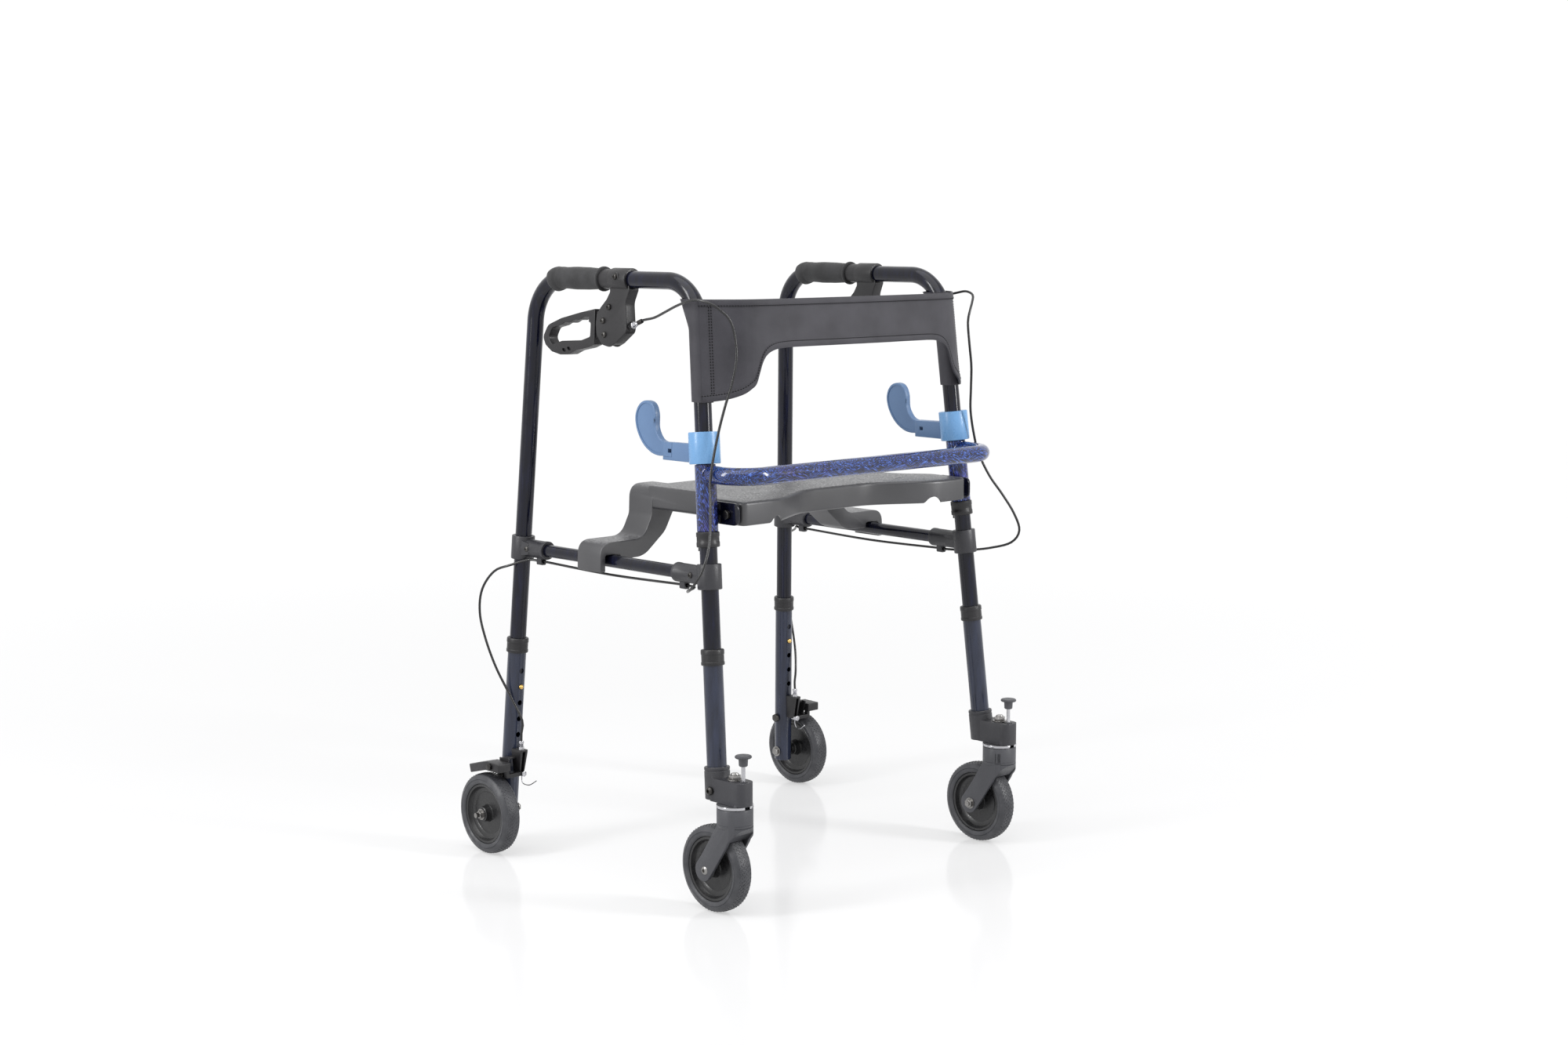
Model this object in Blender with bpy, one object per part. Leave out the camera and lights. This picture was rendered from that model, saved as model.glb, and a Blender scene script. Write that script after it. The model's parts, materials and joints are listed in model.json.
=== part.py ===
"""Four-wheel rollator: folding side frames, flip-up seat, loop brakes and swivel front casters.

Metres, +Z up. The walker travels towards -Y, so the casters are at -Y and the grips point to +Y.
The origin is on the floor, under the middle of the whole rollator.
Each side frame is modelled once, on the left, in its own leaning plane, and mirrored to the right.
"""
from math import acos, asin, atan2, ceil, cos, pi, radians, sin, sqrt, tan

import bmesh
import bpy
from mathutils import Matrix, Vector

# Frame: where the two legs of a side frame run
RAIL_HEIGHT = 0.481          # centre of the side rail above the floor
FRONT_HALF = 0.269           # from the middle to the front leg, at rail height
REAR_HALF = 0.279            # the same for the rear leg: the frames toe out a little
SIDE_DEPTH = 0.425           # front leg to rear leg, at rail height
LEG_SPLAY = 0.043            # outward lean of both legs, per metre of drop
FRONT_RAKE = 0.098           # forward lean of the front leg, per metre of drop
REAR_RAKE = 0.0575           # rearward lean of the rear leg, per metre of drop
TOP_HEIGHT = 0.898           # centre of the handle run above the floor
BEND_RADIUS = 0.070          # centre line of both top bends
BEND_STEPS = 6

# Tubes
TUBE_R = 0.0127              # 1 inch frame tube
TUBE_WALL = 0.0016
LOWER_R = 0.0143             # telescoping lower leg, outside the frame tube
RAIL_R = 0.0095
GAP = 0.0003                 # clearance between faces that touch or slide
TUBE_SIDES = 12
WELD = 2e-6                  # points closer than this are one point

# Leg adjustment
HOLE_PITCH = 0.0254
HOLE_R = 0.0042
HOLES_ABOVE = 1
HOLES_BELOW = 3
FRONT_BUTTON_Z = 0.3035
REAR_BUTTON_Z = 0.261
TUBE_BELOW_BUTTON = 0.018
FRONT_LOWER_TOP = 0.3745
FRONT_LOWER_END = 0.1700
REAR_LOWER_TOP = 0.3345
REAR_LOWER_END = 0.0480
RING_R = 0.0170
RING_HEIGHT = 0.0230
RING_LIP = 0.0040

# Wheels and casters
WHEEL_R = 0.0635
WHEEL_WIDTH = 0.030
WHEEL_SIDES = 22
RIM_R = 0.0476
AXLE_R = 0.0040
BOSS_HALF = 0.0162
REAR_WHEEL_OUT = 0.0355      # wheel centre outboard of the rear leg's axis
SWIVEL_FORWARD = 0.0355      # swivel axis in front of the front leg at the caster head
TRAIL = 0.0395               # swivel axis in front of the caster wheel's axle
HEAD_TOP = 0.212
HEAD_BOTTOM = 0.165
HEAD_ARM_TOP = 0.199
HEAD_R = 0.0185
ARM_HALF = 0.0158            # half width of the arm that carries the swivel
BEARING_THICK = 0.0050
BEARING_R = 0.0268
STEM_R = 0.0060
STEM_TOP = 0.2095
STEM_NUT_R = 0.0090
FORK_BARREL_R = 0.0262
FORK_CROWN_BOTTOM = 0.1310
FORK_SIDE_GAP = 0.0030
FORK_PLATE = 0.0055
LOCK_FORWARD = 0.0178        # lock pin in front of the swivel axis
LOCK_PIN_R = 0.0034
NOSE_R = 0.0152              # rounded front of the caster head
NOSE_FORWARD = 0.0635        # tip of the nose in front of the front leg
LOCK_CAP_TOP = 0.2380
LOCK_TRAVEL = 0.0085
LOCK_ROOM = 0.0014

# Cross frame
SLEEVE_R = 0.0152
SLEEVE_BOTTOM = RAIL_HEIGHT + 0.064
SLEEVE_TOP = SLEEVE_BOTTOM + 0.095
CROSSBAR_Z = SLEEVE_TOP - 0.0135
CROSSBAR_FORWARD = 0.062     # from the row of the front legs at rail height
CROSSBAR_BEND = 0.042
BUSH_HEIGHT = 0.0220
BUSH_R = 0.0168

# Seat
SEAT_TOP = RAIL_HEIGHT + 0.1065
SEAT_SKIRT = 0.0350
SEAT_WALL = 0.0040
SEAT_HALF = 0.197
SEAT_FRONT_HALF = 0.2350
SEAT_FRONT_Y = -0.034
SEAT_MID_Y = 0.018
SEAT_REAR_Y = 0.228
ARM_FRONT_Y = 0.210
ARM_DEPTH = 0.055
ARM_WEB = 0.0040
ARM_WALL = 0.0320
HINGE_Y = -0.012
HINGE_Z = SEAT_TOP - 0.0185
HINGE_R = 0.0040
BRACKET_PLATE = 0.0040
CLIP_ROOM = 0.0040           # side clearance between the seat's clip and the rail
CLIP_WALL = 0.0100
CLIP_BOTTOM = RAIL_HEIGHT - 0.015

# Connectors and rail
COLLAR_R = 0.0178
COLLAR_HEIGHT = 0.0365
SOCKET_R = 0.0142
FRONT_SOCKET = 0.068         # end of the socket behind the front leg
REAR_SOCKET = 0.062          # end of the socket in front of the rear leg
RAIL_INSERT = 0.024
CABLE_R = 0.0025
CLIP_HALF = 0.0055

# Grip, brake housing and lever
GRIP_START = 0.243
GRIP_LENGTH = 0.118
GRIP_R = 0.0168
HOUSING_HALF = 0.0095
HOUSING_SLOT = 0.0066
LEVER_HALF = 0.0090
LEVER_ROOT_HALF = 0.0060
LEVER_PIVOT = (0.235, TOP_HEIGHT - 0.0615)
PIVOT_R = 0.0040
ADJUSTER = (0.179, TOP_HEIGHT - 0.0670)
CABLE_RISE = 0.38            # how steeply the cable leaves the housing, per metre forward

# Release paddle
PADDLE_BOTTOM = SLEEVE_TOP + 0.0005
PADDLE_HEIGHT = 0.0455
PADDLE_COLLAR_R = 0.0225
PADDLE_HALF = 0.0055

# Strap
STRAP_TOP = TOP_HEIGHT - 0.025
STRAP_BOTTOM = STRAP_TOP - 0.145
STRAP_BAND_LOW = STRAP_TOP - 0.069
STRAP_THICK = 0.0026
FLAP_OUT = 0.669             # the flap leaves the sleeve at 42 degrees
FLAP_FORWARD = 0.743

# Rear brake
SHOE_HALF = 0.0120
SHOE_TALL = 0.0135
SHOE_LIFT = 0.0036           # between the tyre and the shoe when the brake is off
SHOE_PIVOT_FORWARD = 0.018   # shoe pivot in front of the rear axle
SHOE_PIVOT_Z = 0.1415
LUG_Z = 0.1260               # where the cable pulls the shoe
BRACKET_WALL = 0.0030
BRACKET_TOP = 0.1640


def clear_scene():
    for thing in list(bpy.data.objects):
        bpy.data.objects.remove(thing, do_unlink=True)


def make_material(name, colour, roughness, metallic):
    material = bpy.data.materials.new(name)
    material.use_nodes = True
    shader = material.node_tree.nodes["Principled BSDF"]
    shader.inputs["Base Color"].default_value = (*colour, 1.0)
    shader.inputs["Roughness"].default_value = roughness
    shader.inputs["Metallic"].default_value = metallic
    material.diffuse_color = (*colour, 1.0)
    return material


def make_materials():
    return {
        "navy_tube": make_material("navy_tube", (0.010, 0.011, 0.028), 0.16, 0.3),
        "flame_blue": make_material("flame_blue", (0.020, 0.030, 0.240), 0.18, 0.4),
        "grey_moulding": make_material("grey_moulding", (0.075, 0.075, 0.085), 0.55, 0.0),
        "black_moulding": make_material("black_moulding", (0.018, 0.018, 0.020), 0.45, 0.0),
        "foam": make_material("foam", (0.025, 0.025, 0.027), 0.90, 0.0),
        "seat_grey": make_material("seat_grey", (0.110, 0.110, 0.118), 0.60, 0.0),
        "fabric": make_material("fabric", (0.030, 0.028, 0.030), 0.85, 0.0),
        "paddle_blue": make_material("paddle_blue", (0.150, 0.300, 0.620), 0.42, 0.0),
        "tyre": make_material("tyre", (0.085, 0.088, 0.100), 0.70, 0.0),
        "hub_black": make_material("hub_black", (0.015, 0.015, 0.016), 0.40, 0.0),
        "chrome": make_material("chrome", (0.700, 0.700, 0.720), 0.15, 1.0),
        "dark_steel": make_material("dark_steel", (0.060, 0.058, 0.056), 0.35, 0.9),
        "brass": make_material("brass", (0.600, 0.400, 0.130), 0.30, 1.0),
        "cable_black": make_material("cable_black", (0.012, 0.012, 0.013), 0.35, 0.0),
    }


# Solids: each function below returns a scratch object whose mesh is one closed body

def to_object(bm):
    bmesh.ops.remove_doubles(bm, verts=bm.verts, dist=1e-6)
    bmesh.ops.recalc_face_normals(bm, faces=bm.faces)
    mesh = bpy.data.meshes.new("solid")
    bm.to_mesh(mesh)
    bm.free()
    solid = bpy.data.objects.new("solid", mesh)
    bpy.context.scene.collection.objects.link(solid)
    return solid


def across(direction):
    """Two unit vectors square to a direction and to each other."""
    up = Vector(direction).normalized()
    helper = Vector((1, 0, 0)) if abs(up.x) < 0.9 else Vector((0, 1, 0))
    side = helper.cross(up).normalized()
    return side, up.cross(side).normalized()


def turned(profile, at, axis, sides=TUBE_SIDES, phase=0.0):
    """Revolve a closed profile of (radius, height) round an axis through a point."""
    at = Vector(at)
    up = Vector(axis).normalized()
    side, other = across(up)
    bm = bmesh.new()
    rings = []
    for radius, height in profile:
        centre = at + up * height
        if radius == 0:
            rings.append([bm.verts.new(centre)])
            continue
        ring = []
        for step in range(sides):
            angle = 2 * pi * (step + phase) / sides
            ring.append(bm.verts.new(centre + side * (radius * cos(angle)) + other * (radius * sin(angle))))
        rings.append(ring)
    for here, there in zip(rings, rings[1:] + rings[:1]):
        if len(here) == 1 and len(there) == 1:
            continue
        for step in range(sides):
            ahead = (step + 1) % sides
            corners = [here[step % len(here)], here[ahead % len(here)],
                       there[ahead % len(there)], there[step % len(there)]]
            bm.faces.new(list(dict.fromkeys(corners)))
    return to_object(bm)


def rod(start, end, radius, sides=12):
    start = Vector(start)
    length = (Vector(end) - start).length
    return turned([(0, 0), (radius, 0), (radius, length), (0, length)], start, Vector(end) - start, sides)


def running(radius, sides=TUBE_SIDES):
    """The bore whose flats stay one gap clear of a round bar that turns in it."""
    return (radius + GAP) / cos(pi / sides)


def pipe(start, end, outer, inner, sides=TUBE_SIDES):
    start = Vector(start)
    length = (Vector(end) - start).length
    profile = [(inner, 0), (outer, 0), (outer, length), (inner, length)]
    return turned(profile, start, Vector(end) - start, sides)


def sweep(points, radii, sides=TUBE_SIDES, bore=None):
    """A round bar along points, with a radius for each, or a tube where a bore is given."""
    points = [Vector(p) for p in points]
    bm = bmesh.new()
    outer, inner = [], []
    side = None
    for index, point in enumerate(points):
        before = points[max(index - 1, 0)]
        after = points[min(index + 1, len(points) - 1)]
        along = (after - before).normalized()
        if side is None:
            side = across(along)[0]
        side = (side - along * side.dot(along)).normalized()
        other = along.cross(side)
        for rings, radius in ((outer, radii[index]), (inner, bore)):
            if radius is None:
                continue
            ring = []
            for step in range(sides):
                angle = 2 * pi * step / sides
                ring.append(bm.verts.new(point + side * (radius * cos(angle)) + other * (radius * sin(angle))))
            rings.append(ring)
    for rings in (outer, inner):
        for here, there in zip(rings, rings[1:]):
            for step in range(sides):
                ahead = (step + 1) % sides
                bm.faces.new([here[step], here[ahead], there[ahead], there[step]])
    if bore is None:
        bm.faces.new(outer[0])
        bm.faces.new(outer[-1])
    else:
        for end in (0, -1):
            for step in range(sides):
                ahead = (step + 1) % sides
                bm.faces.new([outer[end][step], outer[end][ahead], inner[end][ahead], inner[end][step]])
    return to_object(bm)


def prism(outline, low, high, plane):
    """Extrude an outline. plane names what the outline's two numbers and the extrusion are, as "yzx"."""
    axes = ["xyz".index(letter) for letter in plane]
    bm = bmesh.new()
    layers = []
    for level in (low, high):
        layer = []
        for first, second in outline:
            place = [0.0, 0.0, 0.0]
            place[axes[0]] = first
            place[axes[1]] = second
            place[axes[2]] = level
            layer.append(bm.verts.new(place))
        layers.append(layer)
    count = len(outline)
    for step in range(count):
        ahead = (step + 1) % count
        bm.faces.new([layers[0][step], layers[0][ahead], layers[1][ahead], layers[1][step]])
    bm.faces.new(layers[0])
    bm.faces.new(layers[1])
    return to_object(bm)


def block(low, high):
    outline = [(low[0], low[1]), (high[0], low[1]), (high[0], high[1]), (low[0], high[1])]
    return prism(outline, low[2], high[2], "xyz")


def evaluated(solid):
    """Apply a scratch object's modifiers."""
    graph = bpy.context.evaluated_depsgraph_get()
    mesh = bpy.data.meshes.new_from_object(solid.evaluated_get(graph))
    solid.modifiers.clear()
    bm = bmesh.new()
    bm.from_mesh(mesh)
    bmesh.ops.remove_doubles(bm, verts=bm.verts, dist=WELD)
    bmesh.ops.dissolve_degenerate(bm, edges=bm.edges, dist=WELD)
    bm.to_mesh(mesh)
    bm.free()
    solid.data = mesh
    return solid


def combine(base, others, operation):
    for other in others:
        modifier = base.modifiers.new("cut", "BOOLEAN")
        modifier.operation = operation
        modifier.solver = "EXACT"
        modifier.object = other
        evaluated(base)
        bpy.data.objects.remove(other, do_unlink=True)
    return base


def fused(base, *others):
    return combine(base, others, "UNION")


def cut(base, *others):
    return combine(base, others, "DIFFERENCE")


def eased(solid, width, segments=1, angle=40):
    """Round a solid's sharp edges."""
    modifier = solid.modifiers.new("ease", "BEVEL")
    modifier.width = width
    modifier.segments = segments
    modifier.limit_method = "ANGLE"
    modifier.angle_limit = radians(angle)
    modifier.use_clamp_overlap = True
    return evaluated(solid)


def moved(solid, matrix):
    solid.data.transform(matrix)
    return solid


# Outlines and paths

def arc(centre, radius, start, end, steps):
    """Points on an arc, angles in degrees from the first axis."""
    points = []
    for step in range(steps + 1):
        angle = radians(start + (end - start) * step / steps)
        points.append((centre[0] + radius * cos(angle), centre[1] + radius * sin(angle)))
    return points


def rounded(corners, radii, steps=4):
    """A closed outline with each corner rounded by its radius."""
    outline = []
    count = len(corners)
    for index, corner in enumerate(corners):
        here = Vector(corner)
        back = (Vector(corners[index - 1]) - here)
        ahead = (Vector(corners[(index + 1) % count]) - here)
        radius = radii[index] if isinstance(radii, (list, tuple)) else radii
        if radius <= 0:
            outline.append(tuple(here))
            continue
        half = back.angle(ahead) / 2
        reach = min(radius / tan(half), 0.48 * back.length, 0.48 * ahead.length)
        start = here + back.normalized() * reach
        end = here + ahead.normalized() * reach
        for step in range(steps + 1):
            t = step / steps
            point = start * (1 - t) ** 2 + here * (2 * t * (1 - t)) + end * t ** 2
            outline.append(tuple(point))
    return outline


def bent_path(corners, radius, steps=6):
    """A path through corners, each but the first and last turned into an arc."""
    corners = [Vector(c) for c in corners]
    path = [corners[0]]
    for before, corner, after in zip(corners, corners[1:], corners[2:]):
        back = (before - corner).normalized()
        ahead = (after - corner).normalized()
        half = back.angle(ahead) / 2
        reach = radius / tan(half)
        centre = corner + (back + ahead).normalized() * (radius / sin(half))
        start = corner + back * reach
        sweep_angle = pi - 2 * half
        first = (start - centre).normalized()
        normal = back.cross(ahead).normalized()
        for step in range(steps + 1):
            turn = Matrix.Rotation(-sweep_angle * step / steps, 3, normal)
            path.append(centre + (turn @ first) * radius)
    path.append(corners[-1])
    return path


def smooth_path(points, spacing):
    """Points at an even spacing on a smooth curve through the route's points."""
    points = [Vector(p) for p in points]
    ends = [points[0] * 2 - points[1]] + points + [points[-1] * 2 - points[-2]]
    fine = []
    for a, b, c, d in zip(ends, ends[1:], ends[2:], ends[3:]):
        steps = max(2, ceil((c - b).length / spacing))
        for step in range(steps):
            t = step / steps
            fine.append(0.5 * ((b * 2) + (c - a) * t + (a * 2 - b * 5 + c * 4 - d) * t ** 2
                               + (b * 3 - a - c * 3 + d) * t ** 3))
    fine.append(points[-1])
    return fine


# The side frame's own plane: x is inboard, y rearward and z up the plane, with z equal to
# RAIL_HEIGHT at the rail and x and y zero at the front leg there

def frame_matrix():
    rearward = Vector((FRONT_HALF - REAR_HALF, SIDE_DEPTH, 0)).normalized()
    lean = Vector((LEG_SPLAY, 0, 1))
    up = (lean - rearward * lean.dot(rearward)).normalized()
    inboard = rearward.cross(up)
    turn = Matrix((inboard, rearward, up)).transposed().to_4x4()
    return Matrix.Translation((-FRONT_HALF, 0, RAIL_HEIGHT)) @ turn @ Matrix.Translation((0, 0, -RAIL_HEIGHT))


FRAME = frame_matrix()
SIDE_SPAN = sqrt(SIDE_DEPTH ** 2 + (REAR_HALF - FRONT_HALF) ** 2)


def front_leg(z, out=0.0, forward=0.0):
    """A point by the front leg, in the side frame's plane."""
    return Vector((-out, FRONT_RAKE * (z - RAIL_HEIGHT) - forward, z))


def rear_leg(z, out=0.0, forward=0.0):
    return Vector((-out, SIDE_SPAN - REAR_RAKE * (z - RAIL_HEIGHT) - forward, z))


FRONT_UP = Vector((0, FRONT_RAKE, 1)).normalized()
REAR_UP = Vector((0, -REAR_RAKE, 1)).normalized()


def on_world_height(leg, z):
    """The leg axis at a true height above the floor."""
    low = FRAME @ leg(0.0)
    high = FRAME @ leg(1.0)
    return low.lerp(high, (z - low.z) / (high.z - low.z))


class Maker:
    """Turns scratch solids into the rollator's named objects."""

    def __init__(self, materials):
        self.materials = materials

    def finish(self, name, solid, pivot, material, sharp=35):
        mesh = solid.data
        bpy.data.objects.remove(solid, do_unlink=True)
        mesh.name = name
        mesh.transform(Matrix.Translation(-Vector(pivot)))
        mesh.materials.clear()
        mesh.materials.append(self.materials[material])
        mesh.shade_smooth()
        mesh.set_sharp_from_angle(angle=radians(sharp))
        thing = bpy.data.objects.new(name, mesh)
        thing.location = Vector(pivot) + Vector((0, -CENTRE_Y, 0))
        bpy.context.scene.collection.objects.link(thing)
        return thing

    def pair(self, name, solid, pivot, material, in_frame=True):
        """The left piece and its mirror image on the right."""
        pivot = Vector(pivot)
        if in_frame:
            moved(solid, FRAME)
            pivot = FRAME @ pivot
        twin = bpy.data.objects.new("solid", solid.data.copy())
        bpy.context.scene.collection.objects.link(twin)
        bm = bmesh.new()
        bm.from_mesh(twin.data)
        for vert in bm.verts:
            vert.co.x = -vert.co.x
        bmesh.ops.reverse_faces(bm, faces=bm.faces)
        bm.to_mesh(twin.data)
        bm.free()
        self.finish("left_" + name, solid, pivot, material)
        self.finish("right_" + name, twin, (-pivot.x, pivot.y, pivot.z), material)


# Side frame

def button_cutters(leg, up, facing, z, reach, above=0, below=0):
    """Round cutters through one wall, one for each hole along the leg."""
    holes = []
    for index in range(-below, above + 1):
        centre = leg(z) + up * (HOLE_PITCH * index)
        holes.append(rod(centre + facing * 0.004, centre + facing * reach, HOLE_R, 8))
    return holes


def build_side_frame(maker):
    corner = (TOP_HEIGHT - RAIL_HEIGHT)
    path = bent_path([front_leg(FRONT_BUTTON_Z - TUBE_BELOW_BUTTON),
                      Vector((0, FRONT_RAKE * corner, TOP_HEIGHT)),
                      Vector((0, SIDE_SPAN - REAR_RAKE * corner, TOP_HEIGHT)),
                      rear_leg(REAR_BUTTON_Z - TUBE_BELOW_BUTTON)], BEND_RADIUS, BEND_STEPS)
    tube = sweep(path, [TUBE_R] * len(path), bore=TUBE_R - TUBE_WALL)
    cutters = button_cutters(front_leg, FRONT_UP, Vector((0, 1, 0)), FRONT_BUTTON_Z, 0.02)
    cutters += button_cutters(rear_leg, REAR_UP, Vector((0, -1, 0)), REAR_BUTTON_Z, 0.02)
    maker.pair("side_tube", cut(tube, *cutters), front_leg(RAIL_HEIGHT), "navy_tube")

    rail_start = FRONT_SOCKET - RAIL_INSERT
    rail_end = SIDE_SPAN - REAR_SOCKET + RAIL_INSERT
    rail = rod((0, rail_start, RAIL_HEIGHT), (0, rail_end, RAIL_HEIGHT), RAIL_R, TUBE_SIDES)
    maker.pair("side_rail", rail, (0, rail_start, RAIL_HEIGHT), "navy_tube")

    maker.pair("front_connector", connector(front_leg, FRONT_UP, 1, FRONT_SOCKET),
               front_leg(RAIL_HEIGHT), "grey_moulding")
    maker.pair("rear_connector", connector(rear_leg, REAR_UP, -1, REAR_SOCKET),
               rear_leg(RAIL_HEIGHT), "grey_moulding")


def connector(leg, up, way, reach):
    """A collar round the leg, a socket for the rail, its screw head, and the cable clip below."""
    centre = leg(RAIL_HEIGHT)
    start = centre - up * (COLLAR_HEIGHT / 2)
    collar = rod(start, start + up * COLLAR_HEIGHT, COLLAR_R, TUBE_SIDES)
    along = Vector((0, way, 0))
    lip = RAIL_R + GAP
    end = centre + along * reach
    socket = rod(centre, end, SOCKET_R, TUBE_SIDES)
    clip_y = end.y - way * 0.016
    drop = RAIL_HEIGHT - SOCKET_R - CABLE_R - 0.0010
    clip = prism(rounded([(-0.0050, drop - 0.0055), (0.0050, drop - 0.0055),
                          (0.0050, RAIL_HEIGHT - 0.008), (-0.0050, RAIL_HEIGHT - 0.008)],
                         [0.003, 0.003, 0, 0], 3), clip_y - CLIP_HALF, clip_y + CLIP_HALF, "xzy")
    screw_at = Vector((-SOCKET_R + 0.0020, centre.y + way * (COLLAR_R + 0.008), RAIL_HEIGHT))
    screw = turned([(0, 0), (0.0046, 0), (0.0046, 0.0032), (0.0034, 0.0046), (0, 0.0050)],
                   screw_at, (-1, 0, 0), 10)
    body = fused(collar, socket, clip, screw)
    bore = rod(start - up * 0.01, start + up * (COLLAR_HEIGHT + 0.01), TUBE_R + GAP, TUBE_SIDES)
    rail_bore = rod(end - along * (RAIL_INSERT + GAP), end + along * 0.01, lip, TUBE_SIDES)
    cable_bore = rod((0, clip_y - 0.02, drop), (0, clip_y + 0.02, drop), CABLE_R + 3 * GAP, 8)
    return cut(body, bore, rail_bore, cable_bore)


def build_snap_buttons(maker):
    """V springs inside the tube, each with the brass button that stands out through both tubes."""
    for name, leg, way, z in (("front_snap_button", front_leg, 1, FRONT_BUTTON_Z),
                              ("rear_snap_button", rear_leg, -1, REAR_BUTTON_Z)):
        centre = leg(z)
        inside = TUBE_R - TUBE_WALL - 0.0006
        button = turned([(0, inside - 0.002), (HOLE_R - GAP, inside - 0.002), (HOLE_R - GAP, LOWER_R + 0.0012),
                         (0.0024, LOWER_R + 0.0030), (0, LOWER_R + 0.0034)], centre, (0, way, 0), 8)
        tilt = leg(z + 0.034).y - centre.y
        near = centre.y + way * (inside - 0.0012)
        far = centre.y + tilt - way * (inside - 0.0018)
        leaf = prism([(near, z - 0.006), (near, z + 0.006), (far + way * 0.001, z + 0.034),
                      (far, z + 0.034), (far, z + 0.030), (near - way * 0.0012, z - 0.006)],
                     -0.0035, 0.0035, "yzx")
        maker.pair(name, fused(button, leaf), centre, "brass")


# Lower legs

def lower_ring(leg, up, top):
    """The moulded bush on a lower leg: it caps the outer tube and guides the inner one."""
    start = leg(top) - up * (RING_HEIGHT - RING_LIP)
    inner = TUBE_R + GAP
    outer_bore = LOWER_R + GAP
    profile = [(outer_bore, 0), (RING_R, 0), (RING_R, RING_HEIGHT - 0.0015), (RING_R - 0.0015, RING_HEIGHT),
               (inner, RING_HEIGHT), (inner, RING_HEIGHT - RING_LIP + GAP),
               (outer_bore, RING_HEIGHT - RING_LIP + GAP)]
    return turned(profile, start, up)


def build_lower_legs(maker):
    front = pipe(front_leg(FRONT_LOWER_END), front_leg(FRONT_LOWER_TOP), LOWER_R, TUBE_R + GAP)
    holes = button_cutters(front_leg, FRONT_UP, Vector((0, 1, 0)), FRONT_BUTTON_Z, 0.02, HOLES_ABOVE, HOLES_BELOW)
    maker.pair("front_lower_leg", cut(front, *holes), front_leg(FRONT_LOWER_END), "navy_tube")
    maker.pair("front_leg_bush", lower_ring(front_leg, FRONT_UP, FRONT_LOWER_TOP),
               front_leg(FRONT_LOWER_TOP), "grey_moulding")

    rear = pipe(rear_leg(REAR_LOWER_END), rear_leg(REAR_LOWER_TOP), LOWER_R, TUBE_R + GAP)
    holes = button_cutters(rear_leg, REAR_UP, Vector((0, -1, 0)), REAR_BUTTON_Z, 0.02, HOLES_ABOVE, HOLES_BELOW)
    rear = cut(moved(cut(rear, *holes), FRAME), axle_line(REAR_AXLE, AXLE_R + GAP), axle_line(BOLT_AXIS, AXLE_R + GAP))
    maker.pair("rear_lower_leg", rear, FRAME @ rear_leg(REAR_LOWER_END), "navy_tube", in_frame=False)
    maker.pair("rear_leg_bush", lower_ring(rear_leg, REAR_UP, REAR_LOWER_TOP),
               rear_leg(REAR_LOWER_TOP), "grey_moulding")


def axle_line(centre, radius):
    return rod(centre - Vector((0.06, 0, 0)), centre + Vector((0.06, 0, 0)), radius, 10)


REAR_AXLE = on_world_height(rear_leg, WHEEL_R)
BOLT_AXIS = on_world_height(rear_leg, 0.124)
FRONT_LEG_FOOT = on_world_height(front_leg, HEAD_BOTTOM)
SWIVEL = FRONT_LEG_FOOT - Vector((0, SWIVEL_FORWARD, 0))
FRONT_AXLE = Vector((SWIVEL.x, SWIVEL.y + TRAIL, WHEEL_R))
REAR_HUB = REAR_AXLE - Vector((REAR_WHEEL_OUT, 0, 0))
SHOE_PIVOT = Vector((REAR_HUB.x, REAR_AXLE.y - SHOE_PIVOT_FORWARD, SHOE_PIVOT_Z))
EAR_X = SHOE_PIVOT.x + SHOE_HALF + GAP
CABLE_FOOT = Vector((BOLT_AXIS.x, BOLT_AXIS.y - LOWER_R - 0.0153, BRACKET_TOP + 0.0136 + GAP))
LUG = Vector((CABLE_FOOT.x, CABLE_FOOT.y, LUG_Z))
CASTER_NOSE = FRONT_LEG_FOOT.y - NOSE_FORWARD
CENTRE_Y = (min(CASTER_NOSE, FRONT_AXLE.y - WHEEL_R) + REAR_AXLE.y + WHEEL_R) / 2


# Wheels

def build_wheels(maker):
    flat = cos(pi / WHEEL_SIDES)
    half = WHEEL_WIDTH / 2
    seat = RIM_R / flat
    tread = WHEEL_R / flat
    tyre_profile = [(seat, -half + 0.0025), (tread - 0.008, -half), (tread - 0.0022, -half + 0.002),
                    (tread, -half + 0.007), (tread, half - 0.007), (tread - 0.0022, half - 0.002),
                    (tread - 0.008, half), (seat, half - 0.0025)]
    rim = (RIM_R - GAP) / flat
    lip = half - 0.0025
    dish = 0.0030
    hub_profile = [(rim, -lip), (rim, lip), (rim - 0.0030, lip), (rim - 0.0060, dish),
                   (0.0135, dish), (0.0115, BOSS_HALF), (running(AXLE_R, WHEEL_SIDES), BOSS_HALF),
                   (running(AXLE_R, WHEEL_SIDES), -BOSS_HALF), (0.0115, -BOSS_HALF), (0.0135, -dish),
                   (rim - 0.0060, -dish), (rim - 0.0030, -lip)]
    for name, centre in (("front", FRONT_AXLE), ("rear", REAR_HUB)):
        tyre = turned(tyre_profile, centre, (1, 0, 0), WHEEL_SIDES, 0.5)
        hub = turned(hub_profile, centre, (1, 0, 0), WHEEL_SIDES, 0.5)
        maker.pair(name + "_tyre", tyre, centre, "tyre", in_frame=False)
        maker.pair(name + "_hub", hub, centre, "hub_black", in_frame=False)


def axle_bolt(start, end, tail):
    """A hex-headed bolt from start to end with its nut, the tail being the thread past the nut."""
    way = Vector((1 if end.x > start.x else -1, 0, 0))
    head = rod(start - way * 0.0058, start + way * 0.00001, 0.0072, 6)
    shank = rod(start - way * 0.001, end + way * (0.0056 + tail), AXLE_R, 10)
    nut = rod(end, end + way * 0.0056, 0.0072, 6)
    return fused(shank, head, nut)


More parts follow.
